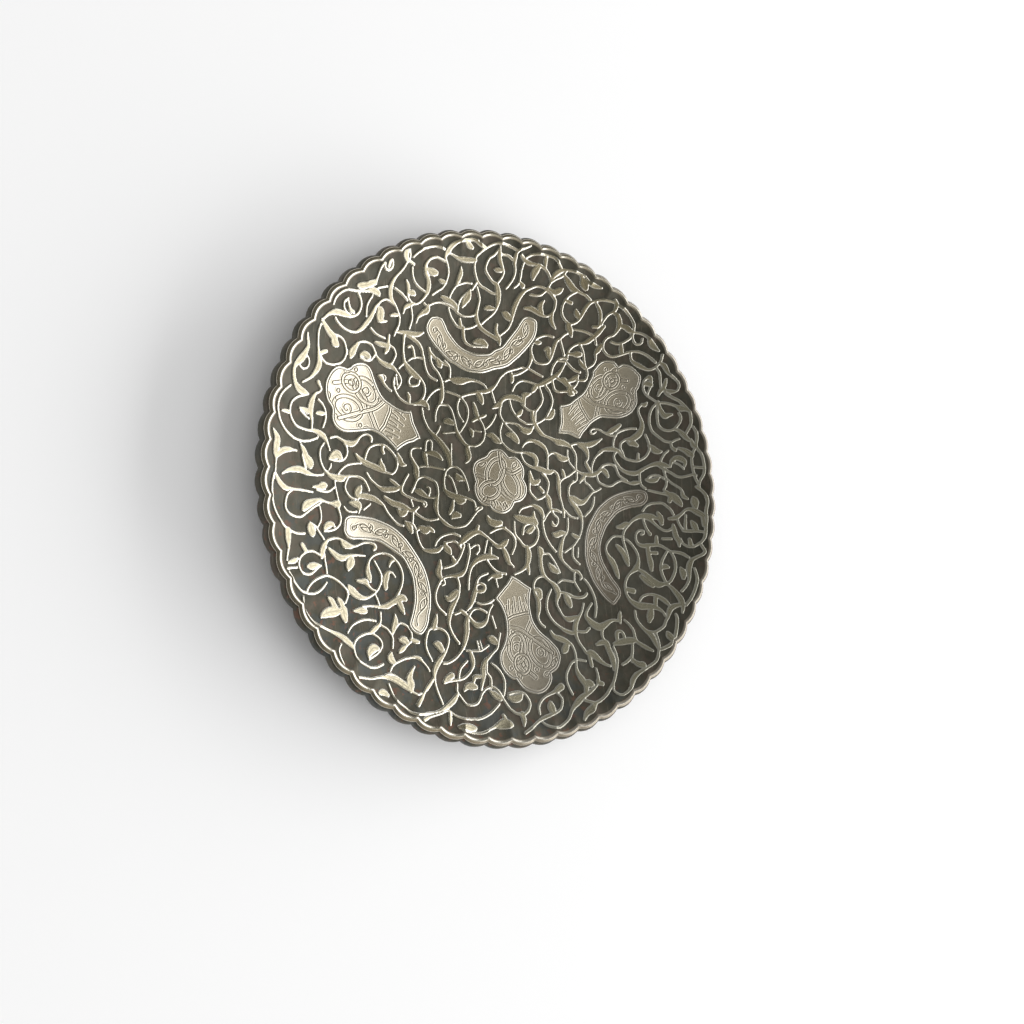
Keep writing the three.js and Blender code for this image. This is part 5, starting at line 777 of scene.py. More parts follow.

# %% [markdown]
# ## The vine's strokes
#
# The vine is hand-cut and never repeats, so no formula gives it. Its strokes stay a list: each is the
# middle line of a stem, a leaf or a petal, drawn as a pen would draw it, with its widths.

# %% Strokes of the vine
# A stroke is a list of its widths, then the x and y of each of its points, all in tenths of a
# millimetre. The last width stands for the points after it.
TENTHS = 10.0
VINE = [
    # The left side.
    [[10], -847, -4, -853, -33, -855, -64, -852, -92, -843, -120, -829, -144, -814, -164, -792, -177, -769,
     -184, -744, -183],
    [[24, 23, 13, 10, 9], -803, -176, -803, -200, -803, -224, -807, -246, -811, -266],
    [[10, 19, 19, 12, 10, 9], -842, -2, -829, -27, -809, -44, -789, -46, -750, -47, -711, -51],
    [[10], -785, -50, -799, -63, -806, -80, -809, -100, -804, -115, -791, -126, -766, -133, -749, -128,
     -731, -115, -709, -99, -684, -84],
    [[16, 29, 24, 14, 12, 10, 14, 30], -746, -107, -734, -93, -714, -83, -689, -74, -677, -76, -660, -80,
     -643, -83, -623, -84],
    [[9], -618, -74, -623, -53, -629, -25, -630, -6],
    [[12, 10], -621, -96, -614, -116, -612, -133, -617, -150, -631, -163, -649, -170, -673, -173],
    [[18, 24, 18, 9], -670, -164, -660, -153, -643, -150, -636, -159],
    [[9, 18, 28, 14], -710, -34, -690, -33, -673, -28, -662, -26],
    [[10], -696, -42, -670, -47, -650, -43, -632, -30],
    [[10], -580, 6, -590, -13, -593, -30, -586, -47, -574, -59, -557, -66],
    [[7, 26, 22, 15], -534, -19, -543, -33, -551, -47, -546, -59],
    [[14, 22, 24, 22, 16, 11, 10], -546, -56, -532, -53, -517, -54, -491, -59, -469, -70, -454, -81, -440,
     -104, -423, -124, -404, -141, -384, -147],
    [[10, 24, 26, 12, 8], -578, -76, -560, -79, -546, -84, -543, -99, -546, -110],
    [[9], -599, -91, -589, -103, -574, -107, -556, -106],
    [[9], -527, -97, -503, -79],
    [[9], -687, -96, -683, -116, -684, -139, -696, -161],
    [[12, 30, 28, 10], -723, -149, -721, -164, -717, -179, -714, -190],
    [[10], -719, -150, -703, -161, -690, -180, -677, -197],
    [[14, 22, 19, 12, 10, 12, 26, 20, 11, 10, 10, 10, 12, 16, 12], -687, -256, -683, -236, -674, -216, -660,
     -201, -634, -194, -614, -199, -602, -213, -584, -219, -571, -219, -557, -216, -534, -207, -511, -206,
     -495, -211, -490, -221, -496, -228],
    [[10], -686, -254, -700, -246, -717, -238, -734, -239, -750, -247, -763, -259, -769, -276, -767, -293,
     -757, -306, -740, -311, -723, -306, -706, -293, -695, -284],
    [[12, 26, 16, 9], -739, -286, -723, -285, -706, -281, -691, -283],
    [[17], -754, -219, -743, -237],
    [[9], -811, -293, -780, -290],
    [[12, 18, 10], -805, -275, -786, -270, -773, -262],
    [[10], -806, -304, -797, -321, -786, -339, -769, -359, -751, -367, -731, -371, -711, -367, -694, -357,
     -681, -344, -674, -336],
    [[10], -746, -360, -734, -344, -717, -330, -697, -320, -674, -314, -654, -319, -634, -330, -617, -344,
     -603, -361, -601, -379, -611, -399],
    [[10], -677, -246, -676, -264, -673, -284, -671, -304],
    [[12, 19, 23, 22, 13, 10, 9], -660, -228, -646, -240, -629, -253, -610, -257, -590, -250, -560, -247,
     -530, -249],
    [[14, 34, 22, 10], -579, -254, -583, -270, -591, -287, -593, -296],
    [[11, 11, 11, 11, 11, 11, 11, 11, 10, 10, 10, 10, 11, 20, 23, 12], -421, -381, -409, -364, -399, -344,
     -394, -321, -396, -299, -406, -276, -421, -259, -435, -247, -451, -241, -471, -239, -491, -244, -506,
     -254, -517, -270, -522, -295, -519, -315, -515, -331],
    [[10, 17, 22, 13, 10], -564, -329, -549, -331, -533, -333, -523, -346, -510, -357, -495, -363],
    [[10, 10, 10, 10, 10, 10, 10, 12, 19, 26, 28, 16], -496, -266, -486, -284, -475, -306, -474, -327, -480,
     -344, -492, -362, -509, -375, -529, -384, -550, -384, -570, -374, -586, -360, -595, -348],
    [[20, 24, 26, 16, 10, 9], -460, -352, -460, -334, -455, -316, -448, -303, -434, -303, -422, -317],
    [[9, 10], -500, -374, -492, -394, -487, -412],
    [[10, 10, 14, 22, 22, 26, 28, 16], -550, -412, -517, -411, -486, -414, -460, -412, -440, -402, -420,
     -393, -402, -386, -388, -392],
    [[24, 22, 10], -416, -396, -405, -420, -397, -438],
    [[10, 15, 10], -442, -282, -434, -266, -422, -262],
    [[10, 10, 10, 12, 20, 22, 20, 16, 12], -513, 24, -500, 5, -486, -7, -469, -20, -450, -27, -430, -27,
     -410, -25, -396, -20, -384, -14],
    [[12, 14, 12], -426, 6, -410, -4, -396, -14],
    [[13, 14, 19, 26, 18, 14, 15, 17, 25, 22, 10], -734, 430, -731, 409, -739, 388, -754, 364, -771, 346,
     -779, 330, -779, 310, -773, 287, -760, 270, -743, 263, -726, 258],
    [[9], -763, 346, -750, 335, -736, 337, -727, 348, -727, 366, -734, 376],
    [[10, 10, 10, 11, 14, 18, 23, 19, 12, 9], -690, 480, -696, 457, -696, 430, -694, 407, -692, 387, -689,
     370, -690, 353, -700, 333, -720, 310, -747, 293],
    [[15, 16, 14], -684, 393, -673, 399, -664, 402],
    [[10], -687, 390, -679, 376, -666, 366, -649, 363, -629, 366, -609, 375, -596, 390, -590, 410, -594,
     430, -603, 447, -620, 457, -640, 459],
    [[16, 28, 22, 14], -574, 399, -569, 413, -559, 430, -548, 444],
    [[14, 24, 24, 12], -537, 410, -523, 415, -510, 410, -504, 402],
    [[10], -537, 401, -516, 395, -498, 399, -487, 412, -480, 425],
    [[11, 11, 16, 20, 18, 10], -486, 432, -476, 413, -460, 399, -437, 390, -415, 385, -400, 374, -389, 361,
     -382, 344, -386, 330, -395, 317],
    [[12, 11, 10], -432, 392, -418, 399, -408, 416, -404, 430, -412, 448, -426, 456, -436, 464],
    [[9, 18, 12, 10, 9], -469, 352, -456, 343, -446, 326, -430, 312, -419, 306],
    [[9], -465, 354, -450, 355, -441, 348, -443, 339],
    [[16, 12, 11, 10, 12, 21, 24, 17, 12, 10], -690, 301, -684, 290, -679, 280, -686, 270, -700, 262, -711,
     240, -717, 215, -715, 195, -711, 175, -712, 154],
    [[10, 16, 20], -756, 210, -740, 208, -724, 203],
    [[8], -754, 203, -738, 190, -723, 181],
    [[10, 10, 10, 10, 10, 10, 10, 10, 10, 11, 15, 20, 20, 13, 10, 9], -726, 258, -746, 251, -766, 242, -783,
     227, -790, 207, -789, 187, -780, 167, -766, 153, -746, 147, -723, 144, -704, 145, -684, 140, -668, 130,
     -658, 116, -652, 102, -647, 90],
    [[9, 10], -790, 276, -809, 259, -823, 241, -831, 219, -833, 196, -829, 173, -817, 150, -800, 130, -777,
     115, -760, 110, -743, 108, -723, 111, -706, 117, -691, 124],
    [[9, 14], -819, 194, -806, 194, -792, 192],
    [[10], -689, 246, -674, 233, -664, 216, -661, 196, -664, 179, -671, 160],
    [[10, 18, 12], -696, 202, -682, 203, -666, 203],
    [[9, 22, 26, 20, 12, 9], -849, 133, -836, 110, -837, 87, -841, 63, -839, 44, -841, 24, -843, 0],
    [[16, 22, 18, 10], -838, 50, -816, 70, -794, 76, -777, 76, -767, 75],
    [[9, 15, 22, 23, 18, 10, 9, 11], -818, -1, -796, 11, -770, 17, -750, 16, -728, 8, -705, 4, -685, 5,
     -672, 8],
    [[9, 20, 24, 34, 18], -752, 96, -741, 80, -733, 60, -721, 42, -717, 29],
    [[10], -746, 64, -740, 39, -734, 16],
    [[10, 10, 10, 10, 10, 13, 22, 26, 14, 11], -669, 107, -680, 90, -683, 70, -679, 47, -669, 27, -654, 12,
     -634, 3, -609, 0, -592, 6, -570, 10, -546, 10, -529, 4, -517, -9, -506, -32],
    [[14, 30, 32, 22], -646, 63, -632, 72, -620, 77, -610, 68],
    [[10], -649, 60, -623, 56, -603, 59, -589, 70, -583, 87, -586, 104, -594, 115],
    [[8, 10, 8], -643, 44, -644, 36, -650, 26],
    [[10, 10, 11, 20, 23, 16, 11, 10, 10, 13, 12], -644, 129, -623, 134, -603, 126, -586, 117, -566, 116,
     -549, 126, -536, 141, -520, 151, -504, 150, -495, 142, -494, 132],
    [[10, 18, 22, 22, 22, 16, 10, 10, 10, 10, 10, 11], -552, 84, -540, 70, -520, 59, -498, 51, -476, 44,
     -456, 35, -436, 29, -418, 27, -404, 41, -399, 61, -404, 81, -418, 99, -429, 109, -443, 119, -460, 122,
     -480, 120, -500, 110, -511, 93, -517, 76, -520, 64],
    [[10], -617, 15, -603, 31, -583, 46, -557, 52, -534, 55],
    [[8, 18, 24, 22], -460, 74, -460, 60, -456, 48, -451, 38],
    [[12, 15, 12], -451, 120, -454, 103, -449, 94],
    [[16, 10, 10, 10, 12, 11, 11, 11, 11, 11, 12], -496, 646, -488, 667, -482, 688, -474, 706, -465, 712,
     -466, 702, -456, 694, -442, 699, -435, 713, -439, 728, -447, 722, -450, 709],
    [[14, 24, 22, 22, 16], -560, 626, -546, 628, -526, 634, -510, 642, -496, 650],
    [[10, 10, 10, 10, 10, 10, 10, 16, 24, 20, 12], -647, 551, -640, 571, -626, 588, -609, 601, -589, 606,
     -560, 609, -531, 614, -514, 620, -498, 621, -482, 616, -479, 610],
    [[9], -484, 633, -452, 644],
    [[10], -504, 602, -515, 585, -522, 565, -522, 538],
    [[11, 11, 11, 11, 11, 12, 19, 22, 19, 13, 11], -560, 607, -548, 588, -543, 568, -548, 548, -560, 534,
     -580, 526, -604, 528, -624, 530, -644, 527, -662, 518, -680, 500, -686, 494],
    [[10], -594, 579, -606, 568, -607, 550, -596, 536, -584, 529],
    [[9, 11, 14], -594, 577, -589, 560, -582, 546, -571, 541],
    [[10, 18, 22, 26, 30, 16], -686, 497, -672, 480, -656, 463, -640, 450, -634, 434, -624, 428],
    [[9, 13], -735, 446, -734, 428],
    [[10, 10, 10, 10, 11, 17, 19, 19, 16, 12, 10], -637, 511, -623, 496, -603, 485, -580, 479, -557, 481,
     -536, 495, -522, 512, -506, 534, -496, 554, -488, 572, -478, 584, -466, 596, -452, 602, -437, 599,
     -417, 591],
    [[14, 32, 30, 16, 9], -478, 572, -469, 560, -470, 540, -465, 531, -444, 533],
    [[10], -503, 502, -486, 489, -469, 482, -449, 478],
    [[10, 19, 20], -484, 460, -464, 456, -444, 454],
    [[12, 14, 20, 12], -432, 489, -434, 468, -436, 446, -444, 430],
    [[10], -564, 428, -551, 446, -531, 454, -514, 454, -497, 448, -486, 434],
    [[9, 9, 9, 10, 10, 10, 10, 13, 18, 22, 20, 12], -761, -380, -763, -401, -761, -417, -750, -436, -736,
     -453, -716, -466, -692, -478, -666, -490, -644, -500, -624, -513, -607, -528, -596, -542],
    [[10], -494, -596, -517, -604, -540, -604, -560, -595, -580, -581, -591, -564, -594, -541, -589, -524,
     -577, -511, -554, -501, -529, -497, -509, -506, -494, -521, -490, -538, -499, -552, -511, -562, -529,
     -571, -543, -579],
    [[10, 26, 30, 20], -544, -572, -538, -556, -524, -544, -510, -546],
    [[12, 19, 15, 10], -530, -497, -512, -485, -498, -475, -489, -464, -486, -450, -485, -433],
    [[10], -489, -472, -468, -484, -456, -499, -449, -511, -449, -529, -452, -546],
    [[9, 9, 9, 10], -611, -492, -597, -475, -580, -464, -557, -456, -534, -454, -506, -459],
    [[9, 18, 26, 16], -584, -425, -569, -425, -552, -425, -539, -428],
    [[10, 26, 34, 34, 20, 28, 32, 20], -704, -443, -690, -434, -672, -428, -652, -426, -634, -424, -621,
     -420, -620, -436, -616, -454],
    [[14, 22], -670, -384, -660, -394, -650, -414],
    [[16, 22], -636, -388, -628, -398, -622, -416],
    [[9, 10, 10, 10, 10, 13, 20, 25, 26, 22, 12, 10], -617, -618, -597, -629, -571, -634, -546, -638, -517,
     -636, -500, -636, -476, -639, -452, -648, -430, -662, -414, -674, -400, -687, -380, -697, -366, -696],
    [[10], -489, -630, -469, -629, -449, -638, -430, -652],
    [[10, 10, 10, 10, 10, 10, 10, 10, 10, 14, 20, 20, 13], -483, -659, -477, -678, -469, -701, -454, -718,
     -435, -734, -418, -748, -392, -758, -360, -759, -320, -757, -292, -750, -266, -738, -244, -723, -230,
     -708],
    [[12, 24, 16], -526, -684, -508, -682, -492, -692],
    [[9], -640, -528, -649, -544, -647, -564, -640, -584, -637, -600],
    [[14, 28, 20], -460, -564, -464, -580, -454, -592],
    [[10, 10, 10, 10, 10, 10, 13, 16, 10], -469, -616, -460, -604, -446, -595, -426, -588, -410, -583, -392,
     -581, -372, -580, -356, -585, -344, -598, -332, -612, -324, -626],
    [[9, 22, 22, 12], -432, -441, -432, -462, -440, -482, -448, -502],
    # Below the middle.
    [[10, 10, 10, 10, 10, 10, 10, 10, 16, 21, 17, 11, 13, 15, 11, 10], -349, -33, -338, -13, -323, 14, -300,
     22, -280, 16, -262, 8, -252, -7, -249, -33, -254, -50, -259, -73, -257, -90, -252, -106, -242, -120,
     -226, -134, -206, -145, -184, -149, -156, -144, -141, -136, -126, -121, -112, -104, -98, -89, -81, -79,
     -96, -76, -107, -86],
    [[12, 24, 20, 12, 10], -334, -27, -318, -30, -304, -38, -290, -46, -275, -49, -260, -48],
    [[9, 10], -290, -12, -282, -16, -280, -28, -286, -42],
    [[12, 14, 10], -384, -16, -386, -32, -370, -44, -350, -51, -330, -58, -312, -61, -299, -65, -295, -74,
     -301, -79, -307, -72],
    [[10], -359, 27, -372, 7, -382, -13],
    [[12, 18, 22, 22, 20, 14, 14, 11], -450, -52, -435, -63, -418, -72, -395, -77, -375, -84, -354, -94,
     -340, -93, -325, -83],
    [[10], -345, -96, -346, -114, -348, -134],
    [[9], -352, -61, -345, -79],
    [[10], -340, -99, -318, -114, -298, -123, -275, -125, -254, -121],
    [[12, 26, 24, 12], -400, -94, -388, -105, -375, -100, -370, -88],
    [[10, 24, 14], -376, -132, -362, -148, -352, -167],
    [[12, 12, 10, 10, 10, 10, 10, 15, 20, 18, 12], -364, -136, -348, -142, -337, -158, -332, -180, -327,
     -197, -319, -214, -309, -225, -294, -229, -275, -230, -255, -227, -241, -216],
    [[10, 18, 30, 20, 12], -335, -164, -320, -152, -302, -160, -286, -155, -270, -164],
    [[9, 10], -266, -210, -258, -196, -241, -181, -218, -173, -195, -170, -172, -178],
    [[10], -229, -202, -214, -199, -198, -196, -184, -201, -169, -220],
    [[12, 24, 24, 12], -230, -202, -226, -218, -216, -227, -209, -238],
    [[14, 11], -158, -211, -169, -241, -184, -264, -198, -276, -218, -283, -236, -287],
    [[10, 20], -204, -248, -196, -266],
    [[12, 24, 25, 22, 17, 12, 11, 14, 18, 22], -175, -208, -156, -191, -134, -175, -112, -165, -94, -164,
     -75, -174, -56, -188, -38, -203, -22, -213, -4, -210],
    [[18, 14], -110, -164, -99, -143],
    [[10, 11, 11, 11, 12, 18, 17, 13, 11], -139, -206, -136, -233, -141, -256, -147, -276, -154, -294, -168,
     -308, -186, -314, -206, -315, -231, -319, -249, -328, -264, -351, -274, -376, -274, -399, -266, -419,
     -252, -434, -241, -444],
    [[11, 22, 25, 16], -250, -262, -254, -286, -258, -304, -250, -322],
    [[10], -242, -323, -236, -340, -246, -345],
    [[11, 11, 11, 11, 14, 22, 22, 18, 12], -189, -318, -182, -339, -182, -359, -186, -381, -196, -397, -210,
     -413, -222, -434, -228, -456, -230, -474, -228, -490, -220, -510, -209, -529, -199, -541],
    [[11, 22, 28, 22], -236, -384, -224, -392, -208, -382, -193, -370],
    [[10, 10, 11, 14, 20, 23, 24, 20, 11], -146, -360, -144, -333, -138, -304, -129, -282, -112, -264, -92,
     -254, -68, -249, -46, -250, -26, -254],
    [[16, 11], -56, -246, -52, -218],
    [[10, 10, 10, 11], -69, -262, -52, -284, -35, -298, -18, -305, 4, -309],
    [[9, 14, 22, 18], -68, -330, -50, -316, -34, -317, -17, -316],
    [[9], -38, -326, -31, -353],
    [[10, 10, 10, 12, 20, 20, 15, 10], -69, -307, -95, -316, -109, -330, -116, -350, -122, -372, -130, -394,
     -140, -414, -156, -432],
    [[10, 12, 14, 16, 14, 12], -115, -346, -96, -342, -82, -352, -88, -366, -108, -369, -120, -366],
    [[10], -116, -407, -98, -412, -72, -409, -51, -399],
    [[9], -67, -195, -78, -235],
    [[9], -129, -219, -116, -210, -101, -210, -99, -228, -109, -239],
    [[10, 24, 29, 20], -62, -106, -52, -124, -30, -132, -9, -130],
    [[9, 11], -54, -166, -35, -156, -15, -149, 8, -146],
    [[10, 14, 22, 22, 17, 12, 10], -226, 0, -223, -20, -208, -33, -188, -40, -164, -42, -142, -46, -124,
     -51, -112, -59, -107, -74],
    [[18, 26, 16], -184, -50, -166, -58, -150, -56],
    [[10, 18, 12], -192, -54, -198, -82, -208, -102],
    [[12, 28, 20], -200, -116, -188, -106, -171, -107],
    [[10, 9], -184, -14, -179, -29],
    [[10, 10, 10, 10, 10, 10, 12, 20, 12], -435, -485, -418, -469, -398, -474, -381, -489, -376, -509, -381,
     -528, -398, -540, -416, -552, -428, -561],
    [[14, 28, 18], -422, -522, -407, -523, -395, -534],
    [[16, 18, 14], -380, -523, -364, -529, -353, -532],
    [[10, 16, 26, 32, 18], -379, -610, -392, -626, -403, -646, -401, -664, -404, -684],
    [[12, 16, 11, 16], -314, -654, -338, -678, -352, -692, -368, -712, -385, -730],
    [[12, 15, 11, 11, 11, 10], -379, -781, -362, -774, -344, -769, -306, -762, -276, -756, -252, -772, -224,
     -784, -198, -789, -161, -791, -132, -784, -106, -772, -75, -749],
    [[12, 16, 10], -269, -764, -272, -782, -276, -800],
    [[9, 11, 11, 11, 11, 11, 11, 11, 11, 11, 11, 13, 20, 22, 17, 11], -309, -595, -321, -569, -326, -549,
     -324, -526, -313, -499, -300, -489, -269, -490, -252, -498, -239, -515, -238, -532, -245, -552, -258,
     -572, -278, -592, -296, -614, -307, -638, -308, -664, -304, -692, -292, -732],
    [[22, 20, 9], -289, -486, -281, -464, -275, -444],
    [[14, 28, 24], -292, -540, -279, -544, -268, -560],
    [[11, 11, 16, 15, 11, 10], -206, -444, -188, -439, -180, -434, -166, -443, -153, -452, -134, -432, -115,
     -428, -98, -432, -82, -441],
    [[14, 22, 22, 20, 14, 11], -156, -452, -162, -478, -164, -504, -172, -530, -182, -554, -198, -574, -220,
     -592, -248, -604, -268, -605],
    [[12, 18, 23, 20, 14, 11, 10], -150, -456, -134, -476, -118, -484, -99, -481, -84, -470, -76, -450, -68,
     -432, -56, -416],
    [[10], -62, -455, -51, -495],
    [[10], -174, -567, -149, -570, -120, -570, -104, -564, -86, -554],
    [[8], -129, -538, -124, -568],
    [[8], -118, -537, -112, -565],
    [[14, 20, 16, 11], -160, -570, -154, -594, -154, -616, -162, -632, -178, -647, -198, -658, -224, -662,
     -250, -663, -274, -668],
    [[12, 22, 23], -273, -664, -258, -654, -241, -646],
    [[10], -216, -656, -206, -629, -192, -615, -175, -602],
    [[14, 30, 18], -80, -528, -68, -534, -51, -546],
    [[10, 10, 10, 10, 12, 18, 22, 22, 16, 12, 10], -35, -515, -44, -541, -52, -564, -69, -578, -86, -592,
     -106, -608, -116, -628, -119, -650, -124, -668, -130, -684, -136, -698],
    [[10, 10, 10, 12], -98, -604, -102, -624, -104, -644, -93, -664, -96, -692],
    [[14, 17, 12], -128, -656, -152, -656, -162, -674],
    [[10, 22, 29, 18], -202, -698, -188, -686, -169, -685, -155, -689],
    [[10, 11], -81, -615, -64, -629, -49, -649, -41, -672, -44, -698, -52, -721],
    [[10, 10, 10, 10, 10, 10, 10, 10, 10, 10, 12, 12, 12, 11], -225, -675, -229, -699, -218, -718, -209,
     -732, -195, -744, -164, -744, -146, -729, -135, -712, -118, -698, -98, -692, -84, -695, -69, -709, -61,
     -726, -49, -749, -38, -766, -21, -781, -2, -789],
    [[12, 26, 20], -102, -706, -86, -719, -68, -732],
    [[14, 22, 26, 16], -244, -810, -224, -810, -200, -816, -184, -819],
    [[9, 10, 10, 10, 14, 26, 36, 30, 14], -234, -820, -195, -833, -161, -836, -126, -826, -106, -820, -90,
     -818, -72, -814, -54, -816, -41, -820],
    [[14, 20], -67, -788, -62, -804],
    # The lower right.
    [[11], 117, 54, 116, 20, 115, -13, 131, -33, 144, -41, 162, -37, 179, -26, 188, -13, 194, 6, 195, 22,
     186, 39, 170, 53],
    [[14, 16], 156, 2, 170, -12],
    [[12, 24, 24, 14, 10, 10, 10, 10, 14, 10], 183, -22, 193, -40, 196, -60, 201, -78, 214, -96, 228, -108,
     229, -122, 220, -135, 207, -132, 204, -122],
    [[12, 14, 9], 202, -77, 226, -80, 243, -86],
    [[20, 18, 12, 10], 238, 20, 240, -10, 242, -30, 249, -53, 254, -73, 265, -84, 277, -96, 294, -104, 314,
     -107],
    [[13, 12], 254, -76, 256, -102],
    [[10, 10, 10, 12, 16, 20, 24, 16, 10], 302, 30, 287, 12, 280, -7, 282, -27, 290, -48, 306, -64, 320,
     -84, 331, -104, 333, -128, 328, -153, 317, -176, 302, -196, 288, -210, 270, -221, 252, -232],
    [[16, 26, 28, 23, 17, 12, 10], 288, -30, 302, -36, 318, -45, 336, -48, 354, -39, 370, -23, 386, -9, 402,
     -3, 420, 6],
    [[9, 11], 391, -27, 385, -53, 374, -73, 359, -87, 347, -98],
    [[10, 10, 10, 12, 18, 22, 17, 11], 68, -89, 79, -77, 99, -70, 122, -64, 140, -69, 156, -80, 165, -96,
     166, -110, 164, -128, 167, -150, 173, -173, 184, -194, 196, -211, 213, -229],
    [[10], 196, -84, 182, -99, 170, -118],
    [[12, 24, 30, 28, 30, 22], 49, -105, 66, -110, 86, -116, 106, -118, 124, -116, 136, -128],
    [[10, 22], 128, -88, 126, -110],
    [[10, 11, 11, 11, 12], 46, -125, 45, -150, 49, -172, 65, -190, 82, -209, 105, -213, 128, -201, 141,
     -179, 142, -156, 134, -139, 114, -130, 96, -133, 84, -144, 79, -167],
    [[12, 24, 22], 96, -159, 108, -156, 121, -146],
    [[15, 25, 24, 18, 13, 10], 94, -213, 100, -234, 98, -258, 90, -280, 72, -296, 52, -306, 39, -310],
    [[14, 17, 11], 95, -276, 96, -294, 98, -309],
    [[11], -15, -149, 2, -148, 25, -161, 42, -179, 47, -199, 42, -219, 32, -238],
    [[24, 24, 11], -6, -208, 4, -202, 17, -190],
    [[12, 18, 24, 18, 10], -6, -218, 2, -228, 10, -248, 18, -268, 28, -276, 36, -284],
    [[16, 27, 18, 19, 19, 14, 12, 18, 24, 22, 14, 10, 10, 10, 22, 18, 12], 144, -217, 151, -230, 149, -252,
     149, -280, 154, -304, 164, -320, 180, -334, 198, -348, 210, -366, 214, -384, 206, -404, 205, -420, 214,
     -441, 227, -463, 247, -474, 270, -470, 287, -466],
    [[10], 158, -238, 182, -238, 196, -253, 208, -270, 219, -290, 226, -305],
    [[12, 26, 18], 184, -274, 196, -290, 216, -303],
    [[12], 219, -376, 240, -380, 260, -386, 276, -394, 300, -398, 320, -394, 332, -384],
    [[14, 29, 18], 240, -386, 252, -406, 260, -426],
    [[11, 11, 11, 11, 11, 13, 18, 20, 17, 11], 164, -319, 145, -319, 128, -327, 116, -344, 114, -361, 119,
     -381, 128, -399, 130, -420, 128, -440, 123, -463, 130, -484, 146, -498],
    [[16, 26, 22], 121, -366, 135, -372, 138, -392],
    [[9, 11, 11, 11, 11, 11, 11, 15, 16], 185, -367, 171, -390, 165, -407, 162, -436, 171, -461, 185, -481,
     205, -498, 225, -512, 250, -522, 269, -523],
    [[12, 24, 24, 16], 206, -165, 220, -169, 238, -163, 254, -162],
    [[10, 11, 11, 12, 18, 22, 20, 12, 11, 11, 14, 11, 10], 271, -109, 271, -133, 265, -159, 250, -179, 240,
     -202, 234, -224, 232, -244, 242, -264, 260, -282, 280, -298, 302, -304, 316, -322, 310, -331],
    [[10], 288, -302, 286, -316, 282, -338, 259, -336, 234, -333, 217, -342],
    [[10, 11, 9], 283, -336, 292, -354, 305, -373],
    [[10, 11], 288, -210, 285, -244, 294, -261, 311, -276],
    [[9], 310, -216, 306, -248],
    [[12, 18, 14], 288, -166, 302, -174, 316, -178],
    [[10, 11], 326, -330, 342, -350, 354, -373, 362, -396, 365, -419, 364, -440, 356, -468],
    [[10, 11, 14, 22, 28, 29, 25, 17, 12, 11], 348, -420, 328, -444, 319, -464, 330, -480, 346, -496, 368,
     -506, 388, -500, 410, -488, 430, -483, 450, -486],
    [[14, 12, 12, 24, 22, 24, 20, 12], 380, -512, 374, -530, 378, -552, 386, -566, 392, -590, 399, -615,
     400, -640, 398, -660],
    [[12, 20], 346, -568, 366, -562, 380, -562],
    [[10, 10, 14, 20, 20, 14, 11, 11, 14, 28, 27, 20, 13, 10], 314, -420, 304, -448, 289, -468, 274, -490,
     268, -514, 270, -536, 278, -558, 291, -579, 301, -595, 318, -598, 332, -608, 348, -624, 366, -638, 384,
     -646],
    [[11, 12], 276, -519, 308, -521, 326, -509],
    [[16, 15, 14], 310, -606, 312, -622, 313, -642],
    [[10], 262, -618, 292, -624],
    [[10, 18, 23, 20, 12, 10, 10, 10, 11, 18, 24, 22, 16], 168, -513, 180, -532, 204, -542, 226, -552, 246,
     -566, 254, -586, 256, -606, 254, -626, 251, -644, 254, -666, 266, -688, 276, -710, 270, -734],
    [[16, 29, 20], 209, -588, 218, -578, 228, -562],
    [[10], 250, -621, 236, -628, 222, -644, 208, -666, 204, -689, 208, -712, 216, -735],
    [[20, 30, 18], 276, -699, 289, -702, 301, -706],
    [[10, 12, 16, 20, 23, 16, 12, 10], 319, -709, 299, -724, 276, -736, 254, -746, 232, -762, 212, -778,
     196, -795, 185, -812, 168, -826, 139, -840, 116, -839, 94, -832, 79, -822],
    [[9, 11, 18], 328, -652, 330, -682, 326, -700, 340, -706],
    [[10, 10, 10, 10, 13, 22, 26], 74, -792, 76, -769, 91, -749, 114, -735, 145, -724, 162, -716, 178,
     -707],
    [[10, 10, 10, 10, 10, 13, 14, 11], 152, -723, 171, -744, 169, -764, 159, -781, 139, -792, 114, -799, 88,
     -806, 64, -816, 40, -830, 16, -843, 2, -850],
    [[18, 32, 18], 124, -760, 124, -776, 129, -792],
    [[10, 11, 11, 11, 11, 11, 11, 11, 11, 12], 411, -579, 416, -601, 418, -624, 411, -649, 399, -678, 385,
     -704, 365, -726, 345, -746, 322, -761, 299, -769, 276, -764, 259, -758],
    [[10], 382, -712, 380, -732, 396, -746, 412, -748],
    [[12, 21, 26, 18], 240, -822, 256, -802, 276, -790, 296, -772],
    [[16, 28, 28, 16], -34, -730, -16, -736, 4, -734, 16, -726],
    [[10, 11, 11, 11, 11, 11, 13, 14], -32, -719, -8, -715, 14, -716, 32, -726, 44, -752, 36, -774, 18,
     -787, 0, -790],
    [[10, 20, 22], 4, -826, 8, -808, 6, -789],
    [[10, 11, 11, 13, 26, 32, 23, 10], 622, 3, 649, -3, 677, -9, 695, -12, 714, -16, 730, -28, 746, -46,
     752, -58],
    [[10, 18, 22, 18], 686, 4, 697, -6, 712, -20, 706, -38],
    [[12, 17, 11], 756, -6, 762, -20, 777, -30],
    [[12, 32, 20], 799, -25, 804, -42, 806, -62],
    [[12, 13, 13, 13, 13, 13, 13, 13, 13, 11], 814, 16, 836, -2, 849, -27, 852, -47, 846, -70, 842, -92,
     842, -116, 838, -141, 834, -164, 820, -193, 800, -207, 780, -216, 760, -213, 743, -201, 736, -184],
    [[12, 14, 13, 11], 751, -153, 774, -155, 803, -155, 826, -159, 836, -156],
    [[14, 18, 12, 12, 16, 24, 22], 700, -106, 726, -103, 749, -89, 766, -74, 786, -71, 810, -82, 830, -96],
